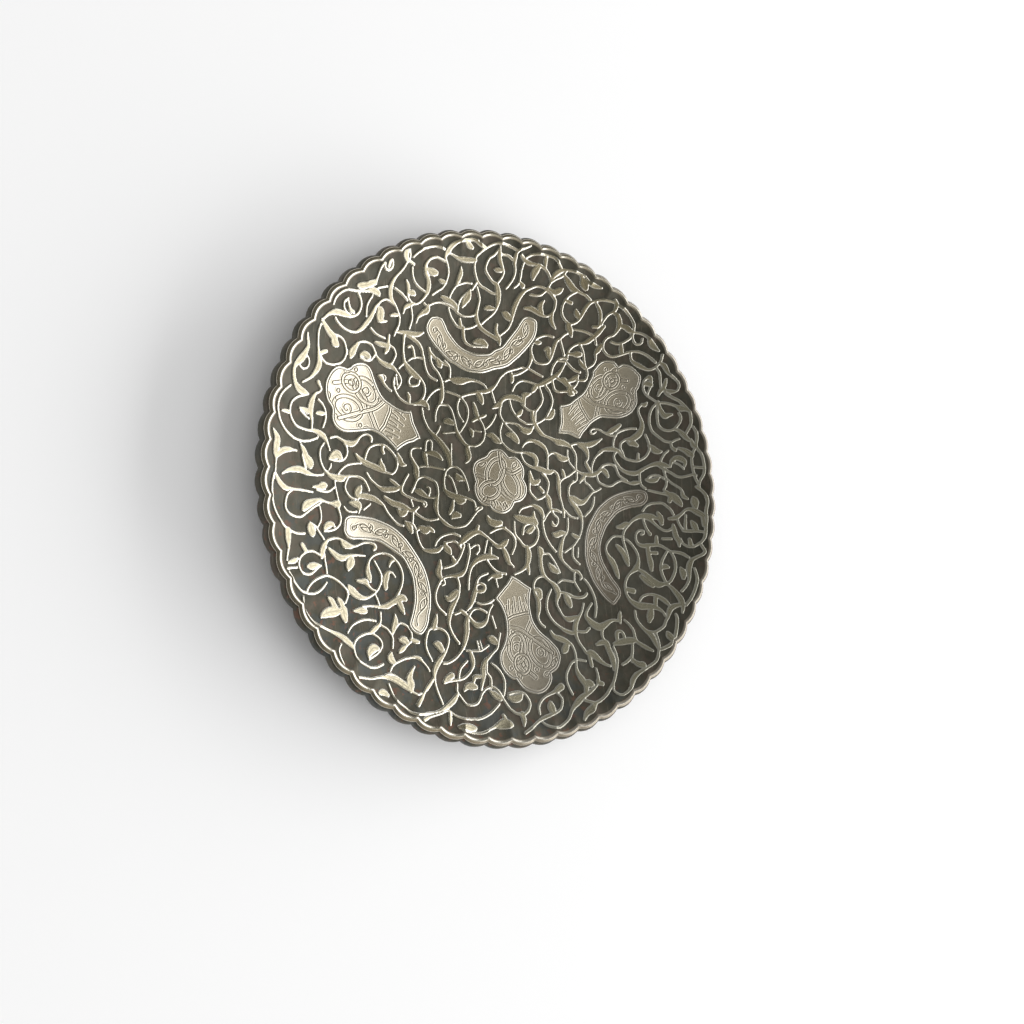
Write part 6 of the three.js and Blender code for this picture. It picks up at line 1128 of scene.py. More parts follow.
    [[10], 732, -106, 736, -124, 749, -150],
    [[10, 13, 12], 766, -94, 760, -138, 760, -152],
    [[12, 26, 20], 786, -118, 795, -134, 800, -152],
    [[16], 829, -104, 833, -134],
    [[11, 20, 22, 19, 11], 714, -130, 716, -150, 720, -174, 729, -194, 729, -212],
    [[16, 20], 772, -188, 774, -208],
    [[10, 10, 11], 594, -76, 609, -59, 629, -49, 657, -46, 677, -47, 694, -59, 709, -73, 717, -89],
    [[11, 11, 11, 11, 13, 16, 22, 26, 16, 12, 11], 503, -187, 506, -164, 517, -144, 534, -127, 549, -113,
     569, -102, 592, -96, 614, -100, 626, -112, 640, -126, 656, -140, 674, -151, 692, -152, 708, -143, 714,
     -130],
    [[22, 22, 14, 26, 18], 612, -96, 630, -98, 648, -104, 664, -106, 668, -124],
    [[14, 24], 656, -84, 664, -100],
    [[10, 12, 15], 592, -104, 604, -144, 617, -165],
    [[10, 10, 10, 10, 10, 10, 13, 17, 18, 15, 13, 11, 11, 12], 580, -166, 591, -162, 589, -152, 572, -152,
     560, -164, 557, -184, 565, -202, 584, -209, 602, -208, 624, -207, 648, -207, 672, -219, 692, -234, 703,
     -256, 706, -281, 702, -304, 690, -328, 676, -346, 656, -354],
    [[12, 19], 642, -174, 640, -199],
    [[12], 666, -183, 700, -184],
    [[18, 20, 24, 15], 603, -216, 604, -246, 608, -274, 608, -300],
    [[14, 16], 608, -235, 636, -237],
    [[10, 12], 679, -232, 658, -262, 647, -290, 649, -318, 659, -349],
    [[12, 22, 12], 650, -296, 664, -289, 677, -292],
    [[10, 14, 11], 698, -232, 734, -240, 760, -256],
    [[12, 13, 12, 12, 16, 23, 21, 14, 11], 812, -208, 824, -232, 814, -246, 794, -254, 772, -266, 760, -284,
     754, -304, 752, -326, 746, -348, 730, -370, 714, -384],
    [[10, 12], 777, -299, 780, -327, 774, -359, 760, -390, 740, -416, 722, -436],
    [[12, 27, 16], 724, -296, 731, -314, 729, -334],
    [[10, 10, 10, 10, 10, 10, 16, 24, 23, 20, 10], 504, -173, 491, -173, 466, -173, 446, -187, 431, -207,
     429, -227, 437, -248, 450, -266, 460, -288, 466, -312, 470, -328],
    [[12, 22, 22, 21, 11], 474, -206, 488, -220, 502, -240, 512, -266, 516, -282],
    [[11], 503, -187, 509, -212, 515, -238, 518, -260],
    [[12, 22, 19, 12], 482, -138, 502, -136, 518, -126, 534, -126],
    [[10, 11, 11, 11, 11, 16, 23, 15, 11, 11, 11, 11, 14, 22, 28, 26, 22, 15, 11], 514, -184, 524, -190,
     540, -207, 554, -229, 560, -250, 558, -272, 548, -292, 532, -304, 517, -315, 502, -334, 494, -358, 494,
     -382, 504, -406, 522, -424, 544, -434, 570, -436, 596, -439, 616, -448, 630, -460, 636, -473],
    [[13, 17, 24, 30, 26, 15, 12, 19, 23, 23, 16, 9], 548, -294, 576, -310, 592, -328, 610, -346, 630, -356,
     652, -355, 668, -360, 686, -380, 701, -404, 708, -426, 708, -448, 702, -464],
    [[18, 26, 22], 564, -324, 584, -342, 604, -358],
    [[20, 23], 500, -372, 524, -378],
    [[10, 11, 11, 16, 19, 13], 546, -413, 562, -398, 592, -392, 622, -402, 644, -418, 657, -432],
    [[15, 21, 21, 14, 11, 11, 11, 12], 704, -433, 672, -440, 656, -454, 646, -476, 634, -494, 624, -511,
     604, -524, 584, -532, 560, -529, 548, -522],
    [[16, 18, 14], 604, -434, 609, -410, 614, -400],
    [[18, 29, 15], 586, -446, 578, -470, 570, -492],
    [[10, 11, 12, 16, 22, 18, 10], 520, -452, 521, -481, 534, -506, 552, -528, 570, -546, 578, -570, 583,
     -592],
    [[10, 11, 11, 11, 11, 11, 11, 13, 18, 19, 13, 10], 587, -536, 591, -564, 589, -586, 580, -609, 569,
     -632, 551, -646, 526, -658, 500, -670, 476, -684, 458, -704, 446, -724, 430, -739, 412, -748],
    [[10, 11, 11, 11, 14, 16, 17, 11], 472, -484, 489, -501, 501, -521, 503, -541, 505, -560, 520, -574,
     538, -586, 560, -599],
    [[14, 24, 27, 26, 16], 418, -568, 440, -564, 464, -560, 486, -559, 505, -560],
    [[14, 16, 12], 432, -556, 434, -530, 450, -524, 460, -536, 462, -556],
    [[10, 18, 9], 454, -494, 455, -472, 460, -454],
    [[11], 490, -564, 483, -598, 477, -615, 474, -635],
    [[10, 12, 10], 477, -616, 454, -634, 433, -644],
    [[16, 22, 26], 478, -630, 494, -644, 512, -648],
    [[10, 13], 677, -469, 677, -492, 671, -518, 663, -538, 649, -564, 631, -581, 614, -589, 593, -596],
    [[14, 28, 14], 632, -536, 637, -550, 649, -564],
    # Above the middle.
    [[11, 14, 22, 27, 22, 12, 11], -374, 434, -370, 410, -358, 393, -340, 376, -323, 366, -306, 356, -294,
     339, -291, 319, -295, 300, -306, 284],
    [[10, 12, 11, 10], -312, 354, -318, 337, -344, 331, -353, 342, -348, 358, -336, 366],
    [[10], -390, 386, -372, 404],
    [[10], -354, 416, -336, 427, -313, 430, -294, 426],
    [[10, 9], -395, 317, -402, 361],
    [[10, 10, 10, 10, 10, 10, 10, 16, 25, 18, 10], -408, 350, -411, 336, -408, 316, -395, 293, -378, 279,
     -358, 271, -336, 269, -319, 272, -300, 277, -284, 270, -277, 256],
    [[9, 17, 12], -357, 306, -352, 293, -351, 274],
    [[10], -296, 436, -291, 407, -281, 381, -266, 367, -244, 359],
    [[13, 14, 11, 11, 11, 11, 14, 19, 18, 11], -276, 466, -272, 452, -268, 424, -258, 404, -241, 387, -229,
     367, -224, 345, -224, 320, -226, 298, -234, 276],
    [[10, 10, 10, 10, 10, 10, 10, 10, 10, 14, 18, 15, 11, 10], -252, 219, -251, 239, -245, 259, -235, 274,
     -215, 277, -201, 274, -189, 259, -181, 236, -176, 216, -172, 190, -162, 169, -146, 150, -132, 139,
     -115, 139, -98, 139, -81, 147, -66, 164, -61, 184, -62, 201, -69, 219, -78, 233],
    [[14, 24, 22, 14, 9], -132, 139, -130, 118, -126, 100, -130, 86, -140, 77],
    [[10], -206, 324, -184, 319, -161, 313, -144, 301, -129, 281, -124, 259, -128, 233, -138, 213, -156,
     187],
    [[10], -158, 300, -165, 281, -165, 259, -159, 241, -146, 224],
    [[10], -215, 430, -198, 416, -192, 399, -194, 373],
    [[12, 27, 14], -244, 435, -236, 420, -229, 408],
    [[9, 12, 26, 30, 20, 12, 11, 10], -212, 359, -192, 368, -172, 366, -150, 366, -124, 371, -100, 372, -76,
     368, -57, 359, -46, 344],
    [[10, 11, 12, 14, 18, 18, 12, 10], -150, 310, -121, 321, -98, 327, -75, 333, -52, 337, -30, 347, -12,
     361, -1, 376, 10, 393, 22, 404, 36, 415, 59, 424, 79, 430, 98, 437, 114, 434],
    [[20, 27, 15], -84, 330, -73, 312, -66, 295],
    [[10], -29, 342, -16, 302],
    [[10, 18, 20, 12], -102, 293, -96, 275, -91, 254, -83, 236],
    [[12, 14, 12, 14, 10], -107, 227, -92, 236, -80, 241, -65, 247, -54, 251],
    [[10], -54, 204, -35, 221, -21, 241, -14, 256],
    [[16, 26, 18], -216, 219, -202, 220, -184, 214],
    [[9], -222, 178, -205, 179, -172, 184],
    [[10, 18, 12], -120, 198, -112, 189, -110, 174],
    [[9], -100, 194, -76, 191],
    [[10, 10, 10, 12, 17, 22, 24, 25, 23, 17], -302, 256, -298, 230, -289, 207, -278, 187, -260, 168, -240,
     149, -222, 128, -209, 108, -202, 86, -200, 64],
    [[10], -194, 140, -195, 120, -196, 92],
    [[10], -235, 199, -242, 184, -254, 168],
    [[9], -287, 282, -266, 310, -244, 327, -226, 332],
    [[10], -293, 114, -289, 142, -278, 150, -268, 140, -270, 116],
    [[16, 20, 11], -298, 102, -294, 88, -287, 58],
    [[12, 22, 20, 10], -290, 104, -265, 105, -246, 98, -230, 84],
    [[10], -314, 56, -286, 59, -258, 56, -224, 51],
    [[10, 10, 10, 11, 14, 20, 24, 16], -311, 119, -329, 120, -345, 113, -349, 93, -339, 72, -330, 53, -328,
     36, -327, 16],
    [[12, 22, 20, 9], -398, 96, -390, 76, -382, 62, -367, 58],
    [[10], -226, 0, -224, 24, -215, 47, -198, 60, -178, 61, -161, 50, -149, 33, -138, 7, -132, -17],
    [[12, 26, 14], -178, 36, -170, 24, -154, 19, -144, 18],
    [[10], -209, 30, -195, 16, -184, -14],
    [[12, 24, 26, 13], -49, 182, -32, 180, -16, 166, 0, 157],
    [[9, 10, 10, 10, 11, 14, 18, 20, 18, 11, 10], -375, 773, -371, 752, -376, 740, -395, 708, -414, 686,
     -426, 669, -435, 646, -436, 624, -430, 604, -415, 591, -404, 574, -395, 554, -396, 528, -406, 508,
     -412, 491],
    [[12, 22, 14], -380, 770, -390, 756, -380, 736],
    [[12], -376, 739, -354, 731],
    [[10], -359, 719, -355, 696, -344, 676, -326, 662, -299, 650],
    [[10], -358, 754, -344, 768, -326, 782, -309, 791, -292, 798, -269, 802, -242, 798],
    [[10, 10, 10, 10, 10, 10, 10, 13, 21, 19, 13], -272, 647, -252, 662, -235, 674, -224, 692, -217, 715,
     -218, 738, -226, 758, -234, 774, -227, 794, -210, 817, -188, 831, -162, 840, -140, 846, -115, 844],
    [[10, 10, 11, 11, 12, 15, 16, 18, 21, 19, 13, 10], -228, 760, -254, 766, -272, 768, -289, 761, -301,
     748, -308, 731, -304, 711, -294, 694, -290, 676, -292, 656, -299, 639, -312, 622, -328, 609, -344, 606,
     -360, 615, -369, 632, -368, 652],
    [[9, 16], -378, 676, -370, 662, -366, 642],
    [[12, 24, 13], -368, 636, -352, 640, -342, 636],
    [[12, 29, 20], -304, 726, -280, 719, -264, 718],
    [[9, 19, 14], -250, 700, -238, 695, -224, 693],
    [[12, 18, 14, 9], -342, 606, -366, 596, -377, 586, -381, 570],
    [[10], -354, 600, -346, 562, -349, 542, -354, 525],
    [[9, 11, 10], -370, 614, -392, 631, -420, 644],
    [[12, 16, 10], -428, 555, -414, 559, -396, 560],
    [[10], -304, 614, -289, 607, -272, 616, -252, 624, -229, 625, -206, 621, -184, 612, -166, 599, -146,
     593, -124, 594, -106, 599, -94, 606],
    [[12, 20, 22, 18, 11], -236, 646, -218, 641, -196, 633, -178, 622, -170, 606],
    [[9, 13, 20, 24, 12], -329, 546, -322, 566, -304, 582, -290, 592, -286, 610],
    [[12, 28, 30, 14], -150, 624, -142, 644, -132, 660, -126, 680],
    [[9], -169, 606, -165, 637, -154, 656, -139, 671, -126, 682],
    [[10], -208, 640, -192, 674, -178, 691, -161, 699, -144, 705, -121, 705],
    [[8, 19, 20, 14], -169, 753, -167, 734, -171, 718, -179, 696],
    [[10, 10, 14, 21, 21, 16], -224, 789, -205, 786, -186, 780, -162, 778, -136, 780, -114, 782],
    [[11], 10, 849, -21, 851, -41, 848, -61, 839, -81, 825, -98, 811, -112, 796, -116, 776, -115, 756, -108,
     736, -98, 716, -81, 702, -58, 694, -35, 685, -16, 684],
    [[11], -100, 714, -116, 686],
    [[12, 22, 14], -162, 838, -146, 826, -132, 820],
    [[10, 14], -120, 843, -100, 834, -83, 828],
    [[9, 11, 11, 11, 11, 11, 11, 17, 23, 25, 21, 12, 10], -24, 836, -41, 812, -58, 799, -68, 779, -70, 759,
     -58, 742, -38, 724, -22, 716, -14, 700, -10, 680, -9, 660, -15, 631, -29, 611, -49, 594, -69, 576],
    [[9, 18, 18, 13, 11], -24, 838, -22, 816, -16, 796, -4, 776, 3, 758, -3, 740, -16, 722],
    [[11, 20, 13], -32, 766, -20, 764, -3, 764],
    [[14, 22, 12], -58, 630, -45, 633, -22, 632],
    [[10, 11, 11, 11, 15, 19, 18, 16, 15, 16, 20], -98, 696, -88, 671, -84, 654, -88, 631, -93, 606, -91,
     588, -82, 570, -66, 556, -44, 545, -22, 536, -4, 530],
    [[10], -206, 609, -195, 585, -184, 571, -169, 556, -149, 550, -126, 552, -104, 560, -86, 572],
    [[14, 18], -159, 579, -154, 556],
    [[16, 17, 15, 12, 10], -144, 552, -143, 532, -139, 514, -130, 502, -111, 494, -90, 493, -66, 495, -46,
     496],
    [[12, 24, 26, 18], -98, 508, -82, 512, -64, 511, -48, 503],
    [[9, 17, 20, 21, 19, 10], -410, 504, -380, 506, -360, 506, -340, 506, -320, 508, -300, 516],
    [[12, 14, 14, 12, 11], -360, 498, -335, 488, -316, 476, -303, 456, -299, 436, -294, 422],
    [[14, 11], -374, 500, -375, 476, -376, 450, -374, 426],
    [[13, 12], -356, 462, -346, 465, -338, 456, -334, 440, -332, 427],
    [[10, 14, 13, 12], -276, 464, -272, 454, -254, 438, -236, 429, -220, 420, -200, 416],
    # The upper right.
    [[11, 11, 11, 11, 13, 15, 13, 11], 56, 404, 79, 410, 99, 420, 117, 432, 130, 450, 136, 472, 136, 492,
     136, 512, 144, 532, 157, 546, 179, 557, 202, 562, 226, 558],
    [[13, 18, 12], 54, 410, 58, 390, 56, 380],
    [[10, 10, 10, 10, 10, 10, 15, 21, 22, 19, 15, 10], 58, 349, 68, 367, 82, 381, 102, 389, 128, 387, 145,
     383, 164, 377, 186, 385, 213, 400, 238, 416, 257, 432, 278, 465],
    [[11], 168, 374, 179, 347, 183, 327, 176, 307, 162, 290, 152, 276, 150, 250],
    [[10, 22, 20], 140, 350, 148, 362, 158, 376],
    [[10], 96, 302, 108, 293, 122, 284, 139, 281, 154, 282],
    [[9, 18, 25, 20, 12], 133, 343, 120, 340, 106, 334, 104, 318, 106, 300],
    [[10, 12, 16, 18, 22, 23, 21, 14], 4, 264, 5, 280, 8, 300, 22, 317, 44, 325, 65, 325, 86, 320, 98, 312],
    [[8, 20, 26], -26, 278, -10, 288, 3, 294],
    [[10, 10, 10, 10, 10, 10, 12], 4, 280, 3, 264, 8, 247, 22, 227, 36, 213, 51, 201, 65, 186, 76, 169],
    [[14, 24, 25, 13], 30, 188, 46, 187, 60, 177, 75, 162],
    [[10], 46, 309, 48, 299, 54, 281, 65, 264, 79, 250, 96, 240, 111, 233, 128, 233, 146, 234],
    [[10, 20, 11], 71, 258, 86, 268, 96, 280],
    [[10, 10, 11, 16, 24, 26, 16, 10], 22, 231, 51, 231, 73, 227, 88, 216, 100, 208, 118, 205, 132, 213,
     140, 224],
    [[10, 10, 10, 10, 10, 10, 10, 10, 10, 14, 20, 21, 19, 12], 11, 226, 2, 201, 2, 181, 6, 161, 19, 147, 36,
     134, 59, 127, 80, 126, 96, 127, 114, 124, 134, 118, 147, 104, 146, 87, 142, 74],
    [[10, 10, 10, 12, 16, 22, 23, 21, 12, 13, 18, 20], 85, 115, 94, 96, 108, 84, 128, 75, 144, 73, 164, 69,
     184, 61, 204, 60, 220, 64, 234, 53, 238, 34, 238, 16],
    [[11], 170, 54, 186, 39, 195, 20],
    [[10, 10, 13, 16, 18, 17, 13, 11], 92, 147, 102, 159, 119, 169, 139, 171, 162, 164, 182, 151, 193, 136,
     196, 119, 195, 99, 193, 72],
    [[11, 11, 12, 22, 26, 20, 11], 200, 121, 214, 130, 230, 130, 244, 120, 260, 112, 276, 112, 286, 114],
    [[15, 20, 20, 20, 17, 12, 12, 16, 26, 25, 18, 12, 11], 138, 278, 140, 256, 148, 232, 160, 214, 174, 200,
     188, 193, 208, 187, 226, 180, 244, 173, 266, 170, 286, 164, 302, 154, 316, 133, 319, 113, 317, 90, 318,
     72],
    [[10, 10, 10, 10, 10, 12, 17, 19, 18, 15, 24, 16], 283, 144, 282, 121, 288, 101, 302, 84, 319, 70, 339,
     61, 356, 57, 385, 56, 408, 64, 426, 76, 442, 71, 454, 54],
    [[9, 16], 331, 26, 342, 40, 356, 56],
    [[10], 208, 366, 219, 347, 225, 327, 222, 307, 214, 290, 206, 276, 196, 261, 182, 250, 166, 241, 152,
     236],
    [[12, 24, 21, 12], 230, 290, 224, 278, 214, 263, 196, 256],
    [[12], 190, 390, 200, 374, 212, 360],
    [[12, 11, 11, 11, 14], 226, 396, 234, 369, 251, 360, 274, 362, 294, 364],
    [[12, 16, 26, 22, 20, 28, 24, 10], 238, 414, 262, 404, 274, 404, 286, 392, 298, 382, 300, 372, 302, 358,
     316, 354],
    [[12, 18, 22, 12], 284, 399, 306, 406, 320, 414, 334, 425],
    [[10, 10, 10, 16], 333, 426, 332, 402, 323, 386, 310, 380],
    [[16, 14], 304, 376, 326, 364],
    [[10, 12, 12, 11], 326, 408, 348, 408, 362, 410, 370, 418, 373, 432, 371, 445, 362, 465, 357, 488, 354,
     508, 345, 528, 332, 544],
    [[11, 12, 18, 24, 21, 14, 9], 294, 163, 328, 172, 354, 169, 376, 169, 398, 176, 416, 184, 432, 194],
    [[16, 20, 24, 18, 10, 12, 17, 14], 334, 166, 350, 158, 363, 149, 369, 134, 371, 116, 361, 104, 367, 88,
     380, 66],
    [[10], 434, 146, 408, 127, 394, 107, 386, 83, 387, 62],
    [[10], 319, 69, 318, 36, 299, 24, 285, 10, 281, -8],
    [[10], 316, 72, 304, 63, 285, 50, 265, 41, 250, 30, 242, 16],
    [[11, 17, 12], 257, 70, 261, 58, 266, 42],
    [[10], 354, 54, 353, 30, 368, 19, 384, 2, 392, -6],
    [[10, 10, 10, 10, 10, 10, 10, 12, 12, 18, 12], 404, 64, 412, 34, 430, 22, 451, 16, 471, 19, 489, 30,
     511, 38, 530, 35, 549, 29, 564, 30, 588, 33],
    [[11, 20, 24, 24, 15], 118, 58, 122, 36, 128, 20, 144, 20, 156, 26],
    [[9, 9, 9, 9, 9, 9, 9, 12, 22, 21, 16], 408, 219, 396, 212, 386, 214, 388, 225, 403, 231, 424, 228, 440,
     220, 458, 217, 474, 225, 494, 237, 511, 249],
    [[10], 450, 215, 476, 208, 494, 208],
    [[10], 578, 238, 560, 238, 540, 235, 520, 229, 502, 220, 492, 208, 485, 192, 481, 172, 482, 154],
    [[10, 10, 10, 12, 16, 21, 26, 26, 21, 14, 11], 603, 332, 589, 316, 589, 299, 596, 282, 603, 262, 603,
     242, 592, 220, 574, 205, 558, 197, 544, 196, 528, 191, 514, 179, 512, 162, 520, 146, 526, 127],
    [[12, 16, 24, 16], 542, 190, 552, 180, 566, 182, 582, 174],
    [[11, 18, 10], 602, 330, 614, 329, 621, 338],
    [[12, 14, 19, 20, 16, 12, 11], 420, 140, 438, 152, 462, 156, 484, 156, 504, 149, 517, 134, 534, 122,
     557, 116, 580, 114, 597, 120, 614, 130, 626, 144, 632, 159, 632, 179, 626, 196, 617, 215],
    [[11, 15], 586, 142, 584, 118],
    [[11, 16, 27, 21, 10], 630, 176, 644, 170, 652, 159, 668, 152, 682, 153],
    [[10], 708, 156, 692, 141, 680, 121, 676, 104],
    [[10, 10, 12, 12, 13, 16, 19, 19, 16, 14, 14, 17, 21, 20, 13], 494, 148, 484, 133, 487, 114, 500, 96,
     514, 81, 534, 71, 557, 67, 577, 68, 592, 76, 608, 85, 626, 94, 648, 102, 670, 105, 690, 101, 708, 95],
    [[12, 12, 11], 664, 101, 688, 86, 717, 71, 734, 60, 754, 54, 777, 57, 804, 64, 814, 60],
    [[11], 589, 70, 589, 44, 594, 23, 610, 9],
    [[11], 420, 79, 434, 92, 457, 99, 477, 97, 489, 87, 496, 70, 502, 58, 517, 47, 534, 38],
    [[10], 688, 48, 669, 59, 649, 61, 631, 56, 619, 43],
    [[12, 19, 20, 12], 616, 43, 634, 40, 654, 43, 668, 54],
    [[10], 684, 94, 694, 61, 697, 44, 696, 21, 686, 6],
    [[10], 692, 54, 706, 41, 720, 30, 737, 19, 754, 7, 762, -10],
    [[10], 606, 412, 606, 390, 617, 370, 637, 356, 654, 346, 671, 337],
    [[12, 22, 19], 606, 406, 620, 410, 636, 405],
    [[10], 637, 430, 637, 407, 624, 372],
    [[11], 667, 344, 664, 324, 664, 301, 666, 276, 671, 253, 686, 239, 706, 233, 726, 236, 740, 247, 754,
     264, 758, 284, 750, 300],
    [[12, 19, 24, 18, 10], 668, 336, 678, 310, 694, 290, 710, 293, 724, 295],
    [[11], 666, 340, 647, 321, 637, 301, 633, 281, 634, 259, 643, 233, 657, 219, 677, 204, 694, 193, 719,
     188],
    [[11, 11, 11, 11, 16, 25, 18, 12], 670, 337, 683, 339, 706, 337, 731, 330, 746, 324, 756, 319, 772, 316,
     789, 306, 797, 281, 797, 259, 784, 232, 774, 217],
    [[10, 18, 14, 12], 667, 366, 676, 384, 690, 392, 696, 376, 720, 361, 749, 347, 771, 328, 784, 312],
    [[10, 18, 11], 680, 388, 690, 406, 694, 428],
    [[10, 10, 10, 10, 18, 12], 729, 430, 743, 416, 746, 399, 736, 384, 716, 382, 698, 386],
    [[10], 672, 434, 674, 408, 678, 390],
    [[11, 15, 20, 20, 13], 732, 239, 750, 234, 764, 222, 778, 208, 792, 196],
    [[10, 13, 13, 13, 11], 806, 249, 817, 224, 820, 201, 817, 173, 829, 153, 840, 133, 846, 107, 846, 81,
     840, 59, 829, 39, 824, 16, 830, 4],
    [[10, 19, 12], 798, 200, 806, 178, 816, 169],
    [[10, 11], 815, 170, 802, 141, 800, 116, 803, 87, 809, 59, 817, 39, 824, 24],
    [[10, 12, 16], 719, 190, 723, 170, 737, 159],
    [[10], 719, 186, 736, 196, 753, 202],
    [[12, 20, 24, 16], 750, 166, 774, 157, 790, 146, 802, 136],
    [[10, 16, 21, 24, 18, 10], 716, 94, 722, 116, 740, 128, 760, 124, 773, 112, 772, 96],
    [[9], 726, 114, 754, 100, 768, 86],
    [[11, 12], 804, 94, 826, 91, 845, 90],
    # The far right.
    [[10, 10, 12, 14, 18, 14, 11], 98, 859, 76, 848, 56, 839, 46, 828, 43, 812, 43, 794, 48, 779, 49, 759,
     42, 739, 31, 722, 20, 708],
    [[10, 11], -18, 817, 14, 816, 40, 802],
    [[10], 2, 850, 28, 844, 50, 836],
    [[10], 79, 798, 74, 774, 73, 752, 70, 734, 62, 722, 51, 713],
    [[11, 20], 74, 734, 86, 724],
    [[12, 16, 18, 13, 13, 11], 67, 824, 84, 809, 104, 802, 122, 801, 145, 799, 168, 791, 185, 776, 199,
     752],
    [[11], 312, 729, 288, 716, 271, 702, 259, 682, 254, 662, 256, 642, 268, 625, 285, 611],
    [[10, 11, 11, 11, 18, 21, 15, 11], 334, 780, 310, 787, 282, 794, 260, 795, 236, 792, 216, 780, 202, 762,
     196, 742, 184, 722, 174, 710, 162, 701, 145, 697, 120, 698],
    [[10, 11], 256, 794, 242, 774, 219, 762, 201, 750],
    [[16, 28, 28, 15], 146, 799, 134, 785, 126, 770, 124, 752],
    [[11, 11, 11, 11, 14, 18, 20, 22, 19, 12, 11, 10], 188, 722, 162, 729, 139, 728, 119, 719, 99, 709, 82,
     692, 69, 670, 59, 646, 54, 624, 52, 604, 46, 585, 34, 565, 8, 544],
    [[10, 27, 25, 13], 12, 624, 26, 618, 38, 609, 52, 601],
    [[14, 16, 18, 20, 10], -9, 578, -12, 562, -7, 544, 3, 526, 6, 510],
    [[10, 11], 84, 816, 102, 828, 128, 835, 156, 836, 179, 835, 199, 831, 216, 819, 234, 798],
    [[11, 19, 12], 166, 832, 166, 819, 169, 796],
    [[12, 20, 34, 20], 316, 783, 324, 768, 332, 756, 342, 740],
    [[10, 15, 18, 9], 338, 776, 352, 760, 375, 751, 405, 746],
    [[11, 22, 25, 24, 13, 11], 248, 778, 264, 760, 278, 746, 294, 733, 312, 728, 328, 722, 345, 716, 365,
     702],
    [[11, 14, 15], 262, 692, 276, 689, 290, 685],
    [[11, 26, 23, 11], 248, 730, 234, 722, 216, 716, 190, 726],
    [[10, 12, 12, 12, 12, 11, 11, 11, 15, 19, 20, 13], 180, 718, 196, 714, 211, 702, 224, 688, 225, 668,
     221, 651, 208, 636, 191, 629, 168, 633, 150, 642, 126, 650, 102, 649],
    [[9, 19, 25, 20], 178, 682, 168, 670, 164, 656, 172, 636],
    [[11, 20, 18, 9], 218, 646, 212, 624, 218, 606, 232, 590],
    [[15, 27, 22, 10], 282, 613, 288, 598, 296, 582, 301, 566],
    [[11, 11, 11, 14, 18, 16, 12, 11, 11, 11, 16, 13, 11], 285, 611, 302, 612, 322, 622, 334, 640, 346, 666,
     360, 686, 376, 696, 408, 704, 430, 704, 464, 699, 472, 684, 464, 667, 444, 655, 429, 636, 419, 616],
    [[9, 24, 14], 310, 664, 316, 649, 330, 634],
    [[10, 15, 16, 13, 13, 14], 388, 696, 406, 670, 413, 650, 414, 628, 408, 610, 388, 608],
    [[10, 11], 312, 592, 345, 590, 369, 584, 394, 574],
    [[14, 20, 20, 20, 14, 11], 432, 612, 412, 590, 392, 571, 370, 554, 352, 545, 334, 542, 314, 534, 296,
     519, 288, 502, 287, 484],
    [[11, 18, 15], 338, 484, 346, 470, 362, 456],
    [[12, 16, 26, 20], 289, 502, 312, 502, 326, 504, 340, 504],
    [[10, 11], 398, 568, 404, 546],
    [[10, 10, 10, 10, 13, 24, 18], 368, 452, 378, 458, 396, 470, 406, 490, 404, 510, 414, 526, 425, 543],
    [[10, 11, 11, 14, 18, 19, 14, 11], 282, 575, 272, 571, 256, 556, 242, 546, 233, 530, 226, 510, 223, 492,
     216, 474, 205, 462, 185, 457, 162, 459, 148, 468, 140, 486],
    [[14, 24, 22, 12], 194, 510, 206, 512, 207, 494, 214, 476],
    [[10, 11], 254, 552, 265, 522, 273, 498],
    [[10, 18, 11], 148, 533, 164, 532, 174, 533],
    [[10, 11], 220, 422, 226, 445, 237, 465, 251, 479, 268, 485, 288, 485],
    [[10, 11], 249, 474, 280, 473, 291, 465, 308, 451, 325, 442, 342, 439],
    [[10], 120, 436, 134, 432, 156, 422, 184, 411],
    [[10, 15], 464, 710, 474, 694],
    [[10, 18, 22, 22, 14, 11], 462, 664, 480, 654, 490, 636, 492, 618, 483, 596, 471, 582, 451, 574, 437,
     559, 433, 542, 437, 525, 451, 511, 471, 504, 494, 508, 517, 516, 543, 525, 566, 528, 589, 525, 611,
     516, 629, 505, 648, 490],
    [[10, 11], 472, 694, 490, 685, 509, 674, 526, 659, 540, 642, 549, 625, 552, 600],
    [[14, 22, 22, 12, 11, 11, 12, 25, 22, 10], 490, 619, 518, 614, 534, 604, 550, 597, 569, 596, 591, 591,
     611, 579, 623, 560, 638, 546, 657, 533],
    [[10], 549, 594, 551, 574, 560, 559, 571, 554, 586, 559, 589, 575],
    [[11], 549, 596, 540, 576, 526, 565, 509, 556, 489, 552, 466, 558],
    [[12, 20, 16], 506, 552, 508, 532, 512, 518],
    [[10, 12, 16, 19, 17, 12, 11], 546, 523, 551, 498, 563, 486, 580, 478, 598, 470, 620, 462, 640, 466,
     657, 479, 669, 496, 671, 518],
    [[11, 19, 20, 13, 11], 664, 489, 682, 480, 692, 466, 702, 450, 729, 430],
    [[10, 11], 654, 469, 668, 450, 671, 430],
    [[10, 12, 19, 12], 606, 418, 616, 429, 630, 433, 638, 418],
]
print("strokes in the vine:", len(VINE))

# %% [markdown]
# ## The vine's silver
#
# Hundreds of strokes cross and join. Meshes for each would cut through one another, so all strokes share
# one field: a point's distance inside a stroke is half the stroke's width there less the distance to its
# middle line, and inside the whole vine it is the largest of these. The field also keeps how far along the
# winning stroke the point lies and how wide the stroke is, for the veins of the leaves.

# %% Drawing the strokes
VINE_STEP = 0.2
STROKE_STEPS = 4


def stroke_points(places):
    """Points of a stroke in mm: rows of x and y, over ten."""
    return np.reshape(places, (-1, 2)) / TENTHS


